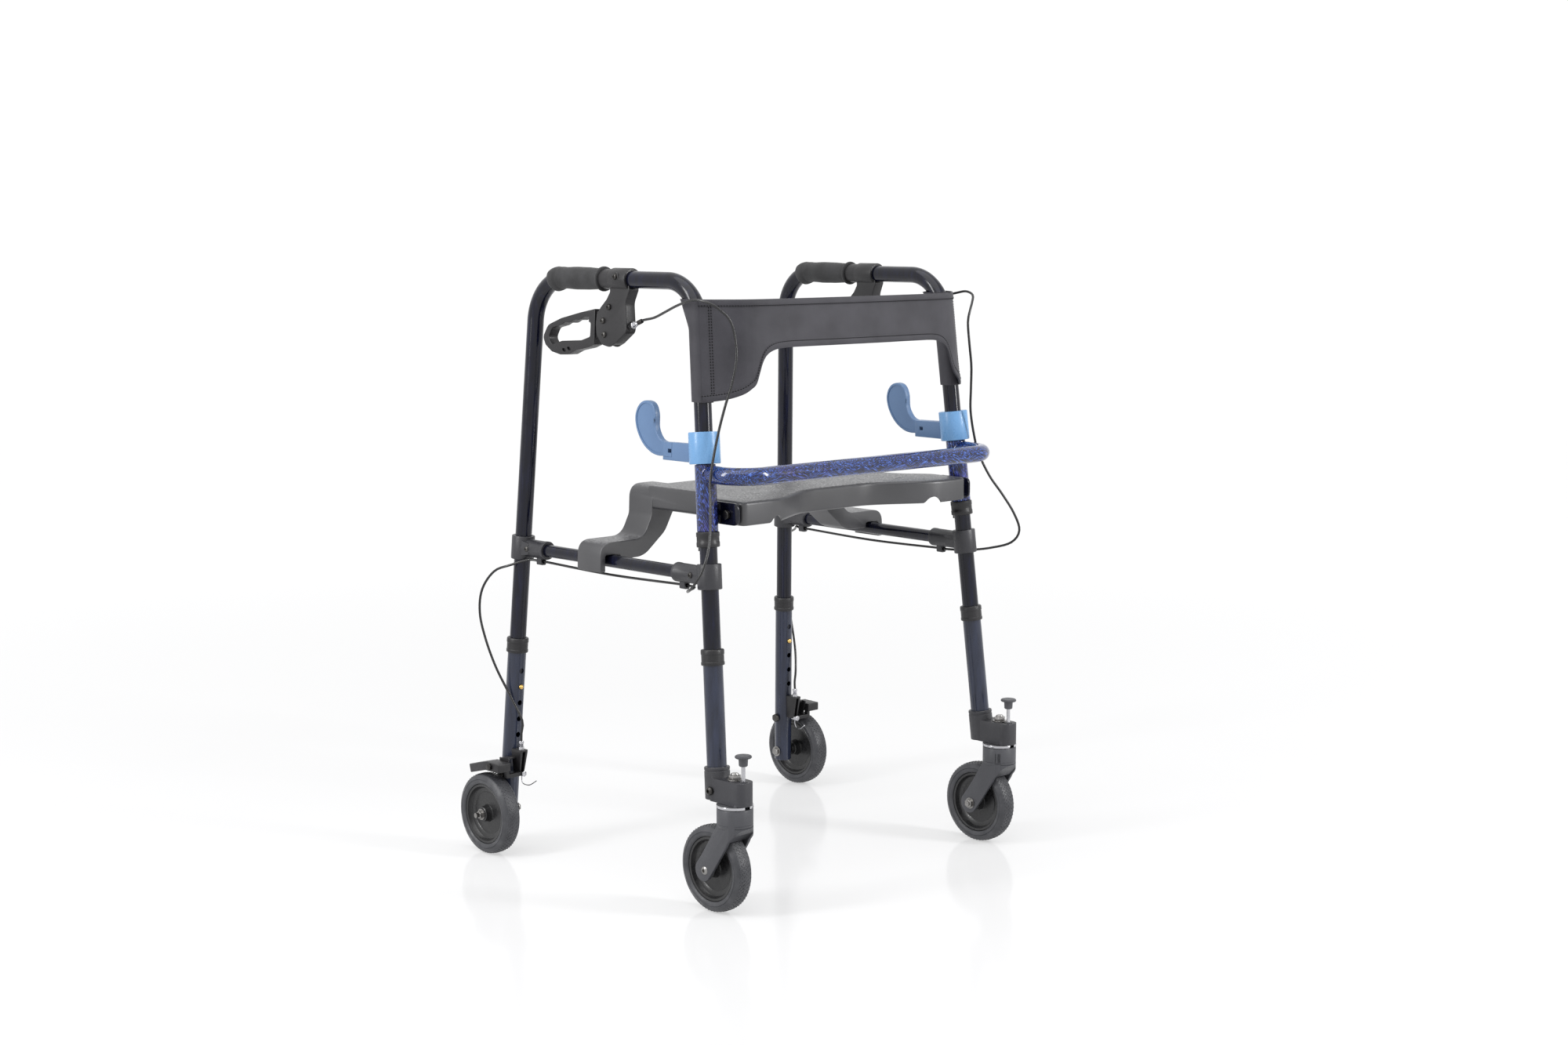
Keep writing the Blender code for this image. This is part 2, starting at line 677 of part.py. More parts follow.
# Front caster

def build_caster(maker):
    up = (FRAME.to_3x3() @ FRONT_UP).normalized()
    top = on_world_height(front_leg, HEAD_TOP)
    foot = on_world_height(front_leg, HEAD_BOTTOM + 0.001)
    socket = rod(foot, top, HEAD_R, TUBE_SIDES)
    nose = SWIVEL.y - LOCK_FORWARD
    arm = prism(rounded([(SWIVEL.x - ARM_HALF, foot.y), (SWIVEL.x - ARM_HALF, CASTER_NOSE),
                         (SWIVEL.x + ARM_HALF, CASTER_NOSE), (SWIVEL.x + ARM_HALF, foot.y)],
                        [0, NOSE_R, NOSE_R, 0], 4), HEAD_BOTTOM, HEAD_ARM_TOP, "xyz")
    arm = eased(arm, 0.002, 1)
    screw = turned([(0, 0), (0.0062, 0), (0.0062, 0.0040), (0, 0.0040)],
                   (SWIVEL.x - HEAD_R + 0.0012, foot.y - 0.0020, 0.180), (-1, 0, 0), 6)
    head = fused(socket, arm, screw)
    leg_end = FRAME @ front_leg(FRONT_LOWER_END - GAP)
    leg_bore = rod(leg_end, leg_end + up * 0.09, LOWER_R + GAP, TUBE_SIDES)
    stem_bore = rod((SWIVEL.x, SWIVEL.y, HEAD_BOTTOM - 0.01), (SWIVEL.x, SWIVEL.y, HEAD_ARM_TOP + 0.01),
                    running(STEM_R, 12), 12)
    pin_bore = rod((SWIVEL.x, nose, HEAD_BOTTOM - 0.01), (SWIVEL.x, nose, HEAD_ARM_TOP + 0.01),
                   LOCK_PIN_R + GAP, 10)
    maker.pair("caster_head", cut(head, leg_bore, stem_bore, pin_bore), FRONT_LEG_FOOT,
               "grey_moulding", in_frame=False)

    bearing_low = HEAD_BOTTOM - GAP - BEARING_THICK
    ring = turned([(0, -0.0020), (0.0200, -0.0020), (0.0200, 0), (BEARING_R - 0.001, 0), (BEARING_R, 0.0012),
                   (BEARING_R, BEARING_THICK - 0.0012), (BEARING_R - 0.001, BEARING_THICK),
                   (0, BEARING_THICK)], (SWIVEL.x, SWIVEL.y, bearing_low), (0, 0, 1), 16)
    notch = LOCK_PIN_R + LOCK_ROOM
    for way in (-1, 1):
        near, far = sorted((way * (LOCK_FORWARD - notch), way * (BEARING_R + 0.01)))
        ring = cut(ring, block((SWIVEL.x - notch, SWIVEL.y + near, bearing_low - 0.01),
                               (SWIVEL.x + notch, SWIVEL.y + far, HEAD_BOTTOM)))
    crown_top = bearing_low
    maker.pair("caster_fork", fused(caster_fork(crown_top), ring), (SWIVEL.x, SWIVEL.y, crown_top),
               "grey_moulding", in_frame=False)
    side = WHEEL_WIDTH / 2 + FORK_SIDE_GAP + FORK_PLATE + GAP
    bolt_start = FRONT_AXLE - Vector((side, 0, 0))
    bolt_end = FRONT_AXLE + Vector((side, 0, 0))
    maker.pair("front_axle", axle_bolt(bolt_start, bolt_end, 0.002), FRONT_AXLE, "chrome", in_frame=False)

    pin_low = bearing_low + LOCK_TRAVEL + LOCK_ROOM
    knob = turned([(0, pin_low), (LOCK_PIN_R, pin_low), (LOCK_PIN_R, 0.2180), (0.0060, 0.2185), (0.0060, 0.2300),
                   (0.0115, 0.2315), (0.0122, 0.2345), (0.0100, LOCK_CAP_TOP - 0.0006), (0, LOCK_CAP_TOP)],
                  (SWIVEL.x, nose, 0), (0, 0, 1), 12)
    maker.pair("swivel_lock_knob", knob, (SWIVEL.x, nose, pin_low), "black_moulding", in_frame=False)


def caster_fork(crown_top):
    """A turned crown whose two plates sweep back to the axle on either side of the wheel."""
    crown = turned([(0, crown_top), (FORK_BARREL_R - 0.0008, crown_top), (FORK_BARREL_R, crown_top - 0.001),
                    (FORK_BARREL_R, FORK_CROWN_BOTTOM + 0.004), (FORK_BARREL_R - 0.003, FORK_CROWN_BOTTOM),
                    (0, FORK_CROWN_BOTTOM)], (SWIVEL.x, SWIVEL.y, 0), (0, 0, 1), 16)
    stem = rod((SWIVEL.x, SWIVEL.y, crown_top - 0.005), (SWIVEL.x, SWIVEL.y, STEM_TOP), STEM_R, 12)
    nut = rod((SWIVEL.x, SWIVEL.y, HEAD_ARM_TOP + GAP), (SWIVEL.x, SWIVEL.y, STEM_TOP - 0.0030), STEM_NUT_R, 6)
    y, z = FRONT_AXLE.y, FRONT_AXLE.z
    front = SWIVEL.y
    outline = [(front - 0.0215, crown_top - 0.004), (front + 0.0215, crown_top - 0.004),
               (front + 0.0240, FORK_CROWN_BOTTOM + 0.002), (y + 0.0080, z + 0.032)]
    outline += arc((y, z), 0.0125, 20, -150, 5)
    outline += [(front + 0.0050, z + 0.034), (front - 0.0150, FORK_CROWN_BOTTOM - 0.010),
                (front - 0.0225, FORK_CROWN_BOTTOM + 0.004)]
    inner = WHEEL_WIDTH / 2 + FORK_SIDE_GAP
    plates = []
    for way in (-1, 1):
        low, high = sorted((SWIVEL.x + way * inner, SWIVEL.x + way * (inner + FORK_PLATE)))
        plate = prism(outline, low, high, "yzx")
        trim = cut(block((SWIVEL.x - 0.05, front - 0.05, FORK_CROWN_BOTTOM - 0.0100), (SWIVEL.x + 0.05, front + 0.05, 0.20)),
                   rod((SWIVEL.x, front, 0.10), (SWIVEL.x, front, 0.22), FORK_BARREL_R, 16))
        plates.append(cut(plate, trim))
    return cut(fused(crown, stem, nut, *plates), axle_line(FRONT_AXLE, AXLE_R + GAP))


# Rear brake and axle

def build_rear_brake(maker):
    hub_face = REAR_HUB.x - BOSS_HALF - GAP
    start = Vector((REAR_AXLE.x + LOWER_R + 3 * GAP, REAR_AXLE.y, WHEEL_R))
    end = Vector((hub_face, REAR_AXLE.y, WHEEL_R))
    axle = axle_bolt(start, end, 0.006)
    spacer_start = REAR_AXLE.x - LOWER_R - 3 * GAP
    spacer_end = REAR_HUB.x + BOSS_HALF + GAP
    if spacer_start - spacer_end > 0.001:
        axle = fused(axle, rod((spacer_start, REAR_AXLE.y, WHEEL_R), (spacer_end, REAR_AXLE.y, WHEEL_R), 0.0075, 10))
    maker.pair("rear_axle", axle, REAR_HUB, "chrome", in_frame=False)

    maker.pair("brake_bracket", brake_bracket(), BOLT_AXIS, "black_moulding", in_frame=False)
    maker.pair("brake_shoe", brake_shoe(), SHOE_PIVOT, "black_moulding", in_frame=False)


def brake_bracket():
    """The hood clamped on the front of the leg: it holds the cable's adjuster and the shoe's pivot pin."""
    back = BOLT_AXIS.y - LOWER_R + 0.0020
    front = CABLE_FOOT.y - 0.0150
    side = BOLT_AXIS.x + 0.0100
    shell = prism([(front + 0.0120, 0.1250), (front, BRACKET_TOP - 0.004), (front, BRACKET_TOP), (back, BRACKET_TOP),
                   (back, 0.1250)], EAR_X, side, "yzx")
    shell = eased(shell, 0.0015, 1)
    room = block((EAR_X + BRACKET_WALL, front - 0.01, 0.1100),
                 (side - BRACKET_WALL, back - 0.0050, BRACKET_TOP - BRACKET_WALL))
    hood = cut(shell, room)
    outline = rounded([(front + 0.0130, 0.1262), (SHOE_PIVOT.y + 0.0080, 0.1300), (SHOE_PIVOT.y + 0.0080, 0.1495),
                       (back - 0.0030, BRACKET_TOP - 0.0050), (front + 0.0030, BRACKET_TOP - 0.0050)],
                      [0.002, 0.006, 0.006, 0.006, 0.002], 3)
    ear = prism(outline, EAR_X + 0.0002, EAR_X + BRACKET_WALL - 0.0002, "yzx")
    outer = BOLT_AXIS.x - LOWER_R - 3 * GAP
    strap = rod((outer, BOLT_AXIS.y, BOLT_AXIS.z), (outer - BRACKET_WALL, BOLT_AXIS.y, BOLT_AXIS.z), 0.0095, 12)
    web = block((outer - BRACKET_WALL, back - 0.006, BOLT_AXIS.z - 0.0060),
                (outer, BOLT_AXIS.y + 0.0040, BOLT_AXIS.z + 0.0250))
    link = block((EAR_X + 0.001, back - 0.0048, 0.1280), (outer - 0.0010, back - 0.0002, 0.1500))
    hood = fused(hood, ear, strap, web, link)
    up = FRAME.to_3x3() @ REAR_UP
    hood = cut(hood, rod(BOLT_AXIS - up * 0.03, BOLT_AXIS + up * 0.06, LOWER_R + GAP, TUBE_SIDES),
               block((EAR_X - 0.002, LUG.y - 0.0060, 0.1100), (EAR_X + BRACKET_WALL + 0.002, LUG.y + 0.0060, LUG.z + 0.0062)))
    far = SHOE_PIVOT.x - SHOE_HALF
    pin = rod((EAR_X + BRACKET_WALL - 0.0005, SHOE_PIVOT.y, SHOE_PIVOT.z), (far - 0.0020, SHOE_PIVOT.y, SHOE_PIVOT.z),
              0.0030, 10)
    pin_head = turned([(0, 0), (0.0052, 0), (0.0052, 0.0026), (0, 0.0034)], (far - GAP, SHOE_PIVOT.y, SHOE_PIVOT.z),
                      (-1, 0, 0), 8)
    barrel = turned([(0, 0), (0.0042, 0), (0.0042, 0.0050), (0.0050, 0.0052), (0.0050, 0.0095), (0.0036, 0.0100),
                     (0.0036, 0.0140), (0, 0.0140)], (CABLE_FOOT.x, CABLE_FOOT.y, BRACKET_TOP - 0.0004), (0, 0, 1), 10)
    way = Vector((-1, 0, 0))
    head_at = BOLT_AXIS - way * (LOWER_R + 3 * GAP)
    nut_at = BOLT_AXIS + way * (LOWER_R + 3 * GAP + BRACKET_WALL)
    bolt_parts = [rod(head_at - way * 0.0010, nut_at + way * 0.0030, AXLE_R, 10),
                  rod(head_at - way * 0.0052, head_at, 0.0072, 6),
                  rod(nut_at - way * 0.0005, nut_at + way * 0.0030, 0.0070, 6)]
    return fused(hood, pin, pin_head, barrel, *bolt_parts)


def brake_shoe():
    """The shoe bar over the tyre, with the lug that the cable pulls up and the wire's bent tail."""
    y, z = REAR_AXLE.y, WHEEL_R
    clear = WHEEL_R + SHOE_LIFT
    slope = radians(75)
    tail = Vector((clear * cos(slope), clear * sin(slope)))
    down = Vector((sin(slope), -cos(slope)))
    knee_y = -0.0052
    knee = tail + down * ((knee_y - tail.x) / down.x)
    foot = tail + down * ((0.0335 - tail.x) / down.x)
    lift = Vector((cos(slope), sin(slope))) * SHOE_TALL
    outline = [(y - 0.0400, z + knee.y), (y + knee.x, z + knee.y), (y + foot.x, z + foot.y),
               (y + foot.x + lift.x, z + foot.y + lift.y), (y + knee.x - 0.0018, z + knee.y + SHOE_TALL + 0.0006),
               (y - 0.0400, z + knee.y + SHOE_TALL)]
    shoe = prism(outline, SHOE_PIVOT.x - SHOE_HALF, SHOE_PIVOT.x + SHOE_HALF, "yzx")
    shoe = eased(shoe, 0.0012, 1, 50)
    hanger = block((SHOE_PIVOT.x + SHOE_HALF - 0.0060, LUG.y - 0.0040, LUG.z - 0.0030),
                   (SHOE_PIVOT.x + SHOE_HALF - 0.0005, LUG.y + 0.0040, z + knee.y + 0.0040))
    lug = block((SHOE_PIVOT.x + SHOE_HALF - 0.0020, LUG.y - 0.0040, LUG.z - 0.0030),
                (LUG.x + 0.0040, LUG.y + 0.0040, LUG.z + 0.0030))
    lug = fused(lug, hanger)
    nut = rod((LUG.x, LUG.y - 0.0070, LUG.z), (LUG.x, LUG.y + 0.0060, LUG.z), 0.0048, 6)
    wire_path = smooth_path([LUG, LUG - Vector((0, 0, 0.0100)), LUG - Vector((0, 0.0040, 0.0160)),
                             LUG - Vector((-0.0060, 0.0300, 0.0080))], 0.006)
    wire = sweep(wire_path, [0.0009] * len(wire_path), 5)
    bore = rod(SHOE_PIVOT - Vector((0.03, 0, 0)), SHOE_PIVOT + Vector((0.03, 0, 0)), 0.0030 + GAP, 10)
    return fused(cut(shoe, bore), lug, nut, wire)


# Cross frame and seat hinge

def build_cross_frame(maker):
    low = FRAME @ front_leg(SLEEVE_BOTTOM)
    high = FRAME @ front_leg(SLEEVE_TOP)
    bar_at = on_world_height(front_leg, CROSSBAR_Z)
    front_y = -CROSSBAR_FORWARD
    corners = [Vector((bar_at.x, bar_at.y, CROSSBAR_Z)), Vector((bar_at.x, front_y, CROSSBAR_Z)),
               Vector((-bar_at.x, front_y, CROSSBAR_Z)), Vector((-bar_at.x, bar_at.y, CROSSBAR_Z))]
    path = bent_path(corners, CROSSBAR_BEND, 5)
    frame = sweep(path, [TUBE_R] * len(path))
    for way in (1, -1):
        mirror = Vector((way, 1, 1))
        frame = fused(frame, rod(low * mirror, high * mirror, SLEEVE_R, TUBE_SIDES),
                      moved(hinge_bracket(), Matrix.Diagonal((way, 1, 1, 1))))
    for way in (1, -1):
        mirror = Vector((way, 1, 1))
        along = (high - low) * 0.2
        frame = cut(frame, rod((low - along) * mirror, (high + along) * mirror, running(TUBE_R), TUBE_SIDES))
    maker.finish("cross_frame", frame, (0, 0, SLEEVE_BOTTOM), "flame_blue")

    bush_top = SLEEVE_BOTTOM - GAP
    start = front_leg(bush_top) - FRONT_UP * BUSH_HEIGHT
    ring = turned([(TUBE_R + GAP, 0), (BUSH_R - 0.001, 0), (BUSH_R, 0.001), (BUSH_R, BUSH_HEIGHT - 0.001),
                   (BUSH_R - 0.001, BUSH_HEIGHT), (TUBE_R + GAP, BUSH_HEIGHT)], start, FRONT_UP)
    tab = block(front_leg(bush_top - BUSH_HEIGHT - 0.007, 0.004, -TUBE_R - 0.0018),
                front_leg(bush_top - BUSH_HEIGHT + 0.003, -0.004, -TUBE_R - 0.0040))
    maker.pair("sleeve_bush", fused(ring, tab), front_leg(bush_top), "grey_moulding")

    plate = -hinge_plate_x()
    pin = fused(rod((plate - 0.0062, HINGE_Y, HINGE_Z), (-SEAT_FRONT_HALF + 0.0180, HINGE_Y, HINGE_Z), HINGE_R, 10),
                rod((plate - 0.0062, HINGE_Y, HINGE_Z), (plate - GAP, HINGE_Y, HINGE_Z), 0.0068, 6))
    maker.pair("hinge_pin", pin, (plate, HINGE_Y, HINGE_Z), "dark_steel", in_frame=False)


def hinge_plate_x():
    """Outer face of the hinge plate: it lies against the inboard side of the sleeve."""
    return SEAT_FRONT_HALF + 0.0012 + 2 * BRACKET_PLATE


def hinge_bracket():
    outer = -hinge_plate_x()
    outline = rounded([(HINGE_Y - 0.0210, HINGE_Z - 0.0150), (0.0260, HINGE_Z - 0.0150),
                       (0.0260, HINGE_Z + 0.0170), (HINGE_Y - 0.0210, HINGE_Z + 0.0170)],
                      [0.010, 0.002, 0.002, 0.010], 4)
    plate = prism(outline, outer, outer + BRACKET_PLATE, "yzx")
    sleeve_x = on_world_height(front_leg, HINGE_Z).x
    weld = block((sleeve_x + 0.75 * SLEEVE_R, 0.0040, HINGE_Z - 0.0130), (outer + 0.0010, 0.0150, HINGE_Z + 0.0150))
    boss = rod((outer + BRACKET_PLATE - 0.001, HINGE_Y, HINGE_Z),
               (outer + 2 * BRACKET_PLATE, HINGE_Y, HINGE_Z), 0.0095, 12)
    hole = rod((outer - 0.02, HINGE_Y, HINGE_Z), (outer + 0.02, HINGE_Y, HINGE_Z), HINGE_R + GAP, 10)
    return cut(fused(plate, weld, boss), hole)


# Seat

def seat_outline(inset=0.0):
    """Plan of the seat: a front edge that is hollow in the middle, ears at the hinges, a square rear."""
    ear = SEAT_FRONT_HALF - inset
    half = SEAT_HALF - inset
    front = SEAT_FRONT_Y + inset
    middle = SEAT_MID_Y + inset
    rear = SEAT_REAR_Y - inset
    hollow = []
    steps = 10
    for step in range(1, steps):
        x = -0.190 + 0.380 * step / steps
        t = min(max((abs(x) - 0.050) / 0.135, 0.0), 1.0)
        ease = t * t * (3 - 2 * t)
        hollow.append((x, middle + (front - middle) * ease))
    left = [(-half, rear), (-half, 0.085), (-ear, 0.040), (-ear, front)]
    right = [(-x, y) for x, y in reversed(left)]
    soft = [0.012, 0.060, 0.030, 0.012]
    return rounded(left + hollow + right, soft + [0] * len(hollow) + soft[::-1], 2)


def build_seat(maker):
    rim = SEAT_TOP - SEAT_SKIRT
    shell = eased(prism(seat_outline(), rim, SEAT_TOP, "xyz"), 0.004, 1, 60)
    room = prism(seat_outline(SEAT_WALL), rim - 0.010, SEAT_TOP - SEAT_WALL, "xyz")
    seat = cut(shell, room)
    ribs = [block((x - 0.0015, SEAT_MID_Y + 0.002, rim + 0.004), (x + 0.0015, SEAT_REAR_Y - 0.002, SEAT_TOP - 0.003))
            for x in (-0.110, 0.0, 0.110)]
    ribs.append(block((-SEAT_HALF + 0.002, 0.1185, rim + 0.004), (SEAT_HALF - 0.002, 0.1215, SEAT_TOP - 0.003)))
    seat = fused(seat, *ribs)
    for way in (-1, 1):
        boss = rod((way * (SEAT_FRONT_HALF - 0.0005), HINGE_Y, HINGE_Z),
                   (way * (SEAT_FRONT_HALF - 0.0200), HINGE_Y, HINGE_Z), 0.0100, 12)
        arm = moved(seat_arm(), Matrix.Diagonal((-way, 1, 1, 1)))
        seat = fused(seat, boss, arm)
    for way in (-1, 1):
        pin_hole = rod((way * (SEAT_FRONT_HALF + 0.01), HINGE_Y, HINGE_Z),
                       (way * (SEAT_FRONT_HALF - 0.0190), HINGE_Y, HINGE_Z), HINGE_R + GAP, 10)
        slot = block((way * 0.150 - 0.006, 0.0300, SEAT_TOP - 0.010), (way * 0.150 + 0.006, 0.0330, SEAT_TOP + 0.01))
        notch = rod((way * 0.165, SEAT_FRONT_Y - 0.02, rim - 0.006), (way * 0.165, 0.030, rim - 0.006), 0.0160, 12)
        seat = cut(seat, pin_hole, slot, notch)
    maker.finish("seat", seat, (0, HINGE_Y, HINGE_Z), "seat_grey")


def seat_arm():
    """The left arm: an S-shaped bracket from the seat's rear corner down to the clip over the rail."""
    rear = ARM_FRONT_Y + ARM_DEPTH
    rail_front = FRAME @ Vector((0, ARM_FRONT_Y, RAIL_HEIGHT))
    rail_rear = FRAME @ Vector((0, rear, RAIL_HEIGHT))
    inner = max(rail_front.x, rail_rear.x) + RAIL_R + CLIP_ROOM
    outer = min(rail_front.x, rail_rear.x) - RAIL_R - CLIP_ROOM
    skin = outer - CLIP_WALL
    roof = RAIL_HEIGHT + RAIL_R + GAP
    shoulder = roof + 0.0190
    side = -SEAT_HALF
    root = side + 0.047
    upper = [(root, SEAT_TOP - 0.0008), (side, SEAT_TOP - 0.0008), (side - 0.0015, SEAT_TOP - 0.045),
             (side - 0.0180, shoulder), (skin + 0.001, shoulder), (skin, CLIP_BOTTOM)]
    lower = [(outer, CLIP_BOTTOM), (outer, roof), (inner, roof), (inner, RAIL_HEIGHT + 0.001),
             (side - 0.0170, RAIL_HEIGHT + 0.0020), (side + 0.0250, RAIL_HEIGHT + 0.0360),
             (side + 0.0400, SEAT_TOP - 0.0430), (root, SEAT_TOP - 0.0350)]
    arm = prism(rounded(upper + lower, [0, 0.012, 0.020, 0.030, 0.024, 0.002, 0.002, 0.004, 0.004, 0.002,
                                        0.040, 0.040, 0.010, 0], 2), ARM_FRONT_Y, rear, "xzy")
    web = ARM_WEB
    pocket = rounded([(root - web, SEAT_TOP - web), (side + web, SEAT_TOP - web), (side - 0.0015 + web, SEAT_TOP - 0.045),
                      (side - 0.0150, shoulder - web), (outer + 0.0040, shoulder - web), (outer + 0.0040, roof + web),
                      (inner + web, roof + web), (side - 0.0170, RAIL_HEIGHT + 0.0120),
                      (side + 0.0200, RAIL_HEIGHT + 0.0440), (root - web, SEAT_TOP - 0.0350)],
                     [0, 0.008, 0.020, 0.030, 0.004, 0.004, 0.010, 0.030, 0.030, 0.006], 2)
    hollow = prism(pocket, ARM_FRONT_Y + ARM_WALL, rear + 0.01, "xzy")
    return cut(arm, hollow)


# Backrest strap

def build_strap(maker):
    """Two sleeves round the front legs, widening round the tube's bend, and the band between them."""
    corner_y = FRONT_RAKE * (TOP_HEIGHT - RAIL_HEIGHT)
    bend_start = TOP_HEIGHT - BEND_RADIUS * tan((pi / 2 - atan2(FRONT_RAKE, 1)) / 2)
    snug = TUBE_R + 0.0008
    rise = STRAP_TOP - bend_start
    back = BEND_RADIUS - sqrt((BEND_RADIUS - TUBE_R) ** 2 - rise ** 2) + 0.0010
    shift = (back - snug) / 2
    wide = (back + snug) / 2 + 0.0006
    knee = front_leg(bend_start - 0.004)
    stretch = rise / (rise + 0.004)
    aside = -0.45 * shift
    over = front_leg(STRAP_TOP + 0.004, aside / stretch, -shift / stretch)
    outer = sweep([front_leg(STRAP_BOTTOM), knee, front_leg(STRAP_TOP, aside, -shift)],
                  [snug + STRAP_THICK, snug + STRAP_THICK, wide + STRAP_THICK], 14)
    inner = sweep([front_leg(STRAP_BOTTOM - 0.004), knee, over], [snug, snug, snug + (wide - snug) / stretch], 14)
    sleeve = moved(cut(outer, inner), FRAME)
    twin_mesh = sleeve.data.copy()
    twin = bpy.data.objects.new("solid", twin_mesh)
    bpy.context.scene.collection.objects.link(twin)
    flip = bmesh.new()
    flip.from_mesh(twin_mesh)
    for vert in flip.verts:
        vert.co.x = -vert.co.x
    bmesh.ops.reverse_faces(flip, faces=flip.faces)
    flip.to_mesh(twin_mesh)
    flip.free()

    band = strap_band(snug)
    strap = fused(sleeve, twin, band)
    maker.finish("backrest_strap", strap, (0, corner_y, STRAP_TOP), "fabric")


def strap_band(snug):
    """The cloth between the sleeves: it leaves each sleeve forwards and inwards, then crosses in a shallow bow."""
    level = (STRAP_TOP + STRAP_BAND_LOW) / 2
    leg = on_world_height(front_leg, level)
    reach = snug + STRAP_THICK / 2
    start = Vector((leg.x - FLAP_OUT * reach, leg.y - FLAP_FORWARD * reach))
    drop = STRAP_TOP - STRAP_BAND_LOW
    full = STRAP_TOP - STRAP_BOTTOM
    flap_y = start.y - 0.9 * (-0.222 - start.x)
    plan = [(start.x, start.y, full), (-0.240, start.y - 0.9 * (-0.240 - start.x), full - 0.004),
            (-0.222, flap_y, full - 0.011), (-0.210, flap_y - 0.0060, full - 0.019), (-0.203, flap_y - 0.0085, full - 0.026),
            (-0.197, flap_y - 0.0100, full - 0.042), (-0.191, flap_y - 0.0112, full - 0.057),
            (-0.183, flap_y - 0.0125, full - 0.067), (-0.170, flap_y - 0.0142, full - 0.073),
            (-0.150, flap_y - 0.0162, drop + 0.0005), (-0.110, flap_y - 0.0188, drop),
            (-0.060, flap_y - 0.0208, drop), (0, flap_y - 0.0216, drop)]
    plan += [(-x, y, down) for x, y, down in reversed(plan[:-1])]
    bm = bmesh.new()
    rings = []
    for index, (x, y, down) in enumerate(plan):
        back = plan[max(index - 1, 0)]
        ahead = plan[min(index + 1, len(plan) - 1)]
        along = Vector((ahead[0] - back[0], ahead[1] - back[1], 0)).normalized()
        normal = Vector((-along.y, along.x, 0)) * (STRAP_THICK / 2)
        ring = []
        for side, z in ((1, STRAP_TOP), (-1, STRAP_TOP), (-1, STRAP_TOP - down), (1, STRAP_TOP - down)):
            spread = on_world_height(front_leg, z).x / leg.x
            ring.append(bm.verts.new(Vector((x * spread, y + FRONT_RAKE * (z - level), z)) + normal * side))
        rings.append(ring)
    for here, there in zip(rings, rings[1:]):
        for step in range(4):
            ahead = (step + 1) % 4
            bm.faces.new([here[step], here[ahead], there[ahead], there[step]])
    bm.faces.new(rings[0])
    bm.faces.new(rings[-1])
    return to_object(bm)


# Handles

def build_grip(maker):
    """The foam grip follows the handle run and the start of the rear bend."""
    corner = TOP_HEIGHT - RAIL_HEIGHT
    path = bent_path([Vector((0, GRIP_START, TOP_HEIGHT)),
                      Vector((0, SIDE_SPAN - REAR_RAKE * corner, TOP_HEIGHT)), rear_leg(0.5)], BEND_RADIUS, BEND_STEPS)
    shape = [(0.0, 0.0185), (0.0040, 0.0185), (0.0048, 0.0156), (0.012, 0.0157), (0.040, 0.0168), (0.064, 0.0170),
             (0.088, 0.0160), (0.108, 0.0184), (GRIP_LENGTH, 0.0176)]
    stations = sorted({round(d, 6) for d, _ in shape} | {round(d, 6) for d in joints_of(path) if 0 < d < GRIP_LENGTH})
    points = [along_path(path, station) for station in stations]
    radii = [between(shape, station) for station in stations]
    grip = sweep(points, radii, bore=TUBE_R + 1.6 * GAP)
    maker.pair("hand_grip", grip, points[0], "foam")


def joints_of(path):
    """The distance along a path at each of its points."""
    total = 0.0
    distances = [total]
    for here, there in zip(path, path[1:]):
        total += (there - here).length
        distances.append(total)
    return distances


def between(shape, at):
    for (d0, r0), (d1, r1) in zip(shape, shape[1:]):
        if at <= d1 + 1e-6:
            return r0 + (r1 - r0) * (at - d0) / (d1 - d0)
    return shape[-1][1]


def along_path(path, distance):
    left = distance
    for here, there in zip(path, path[1:]):
        length = (there - here).length
        if left <= length:
            return here.lerp(there, left / length)
        left -= length
    return path[-1]


def hung(points):
    """Outline points given as y and the height above the handle run's centre."""
    return [(y, TOP_HEIGHT + height) for y, height in points]


def cable_aim():
    return Vector((0, -1, CABLE_RISE)).normalized()


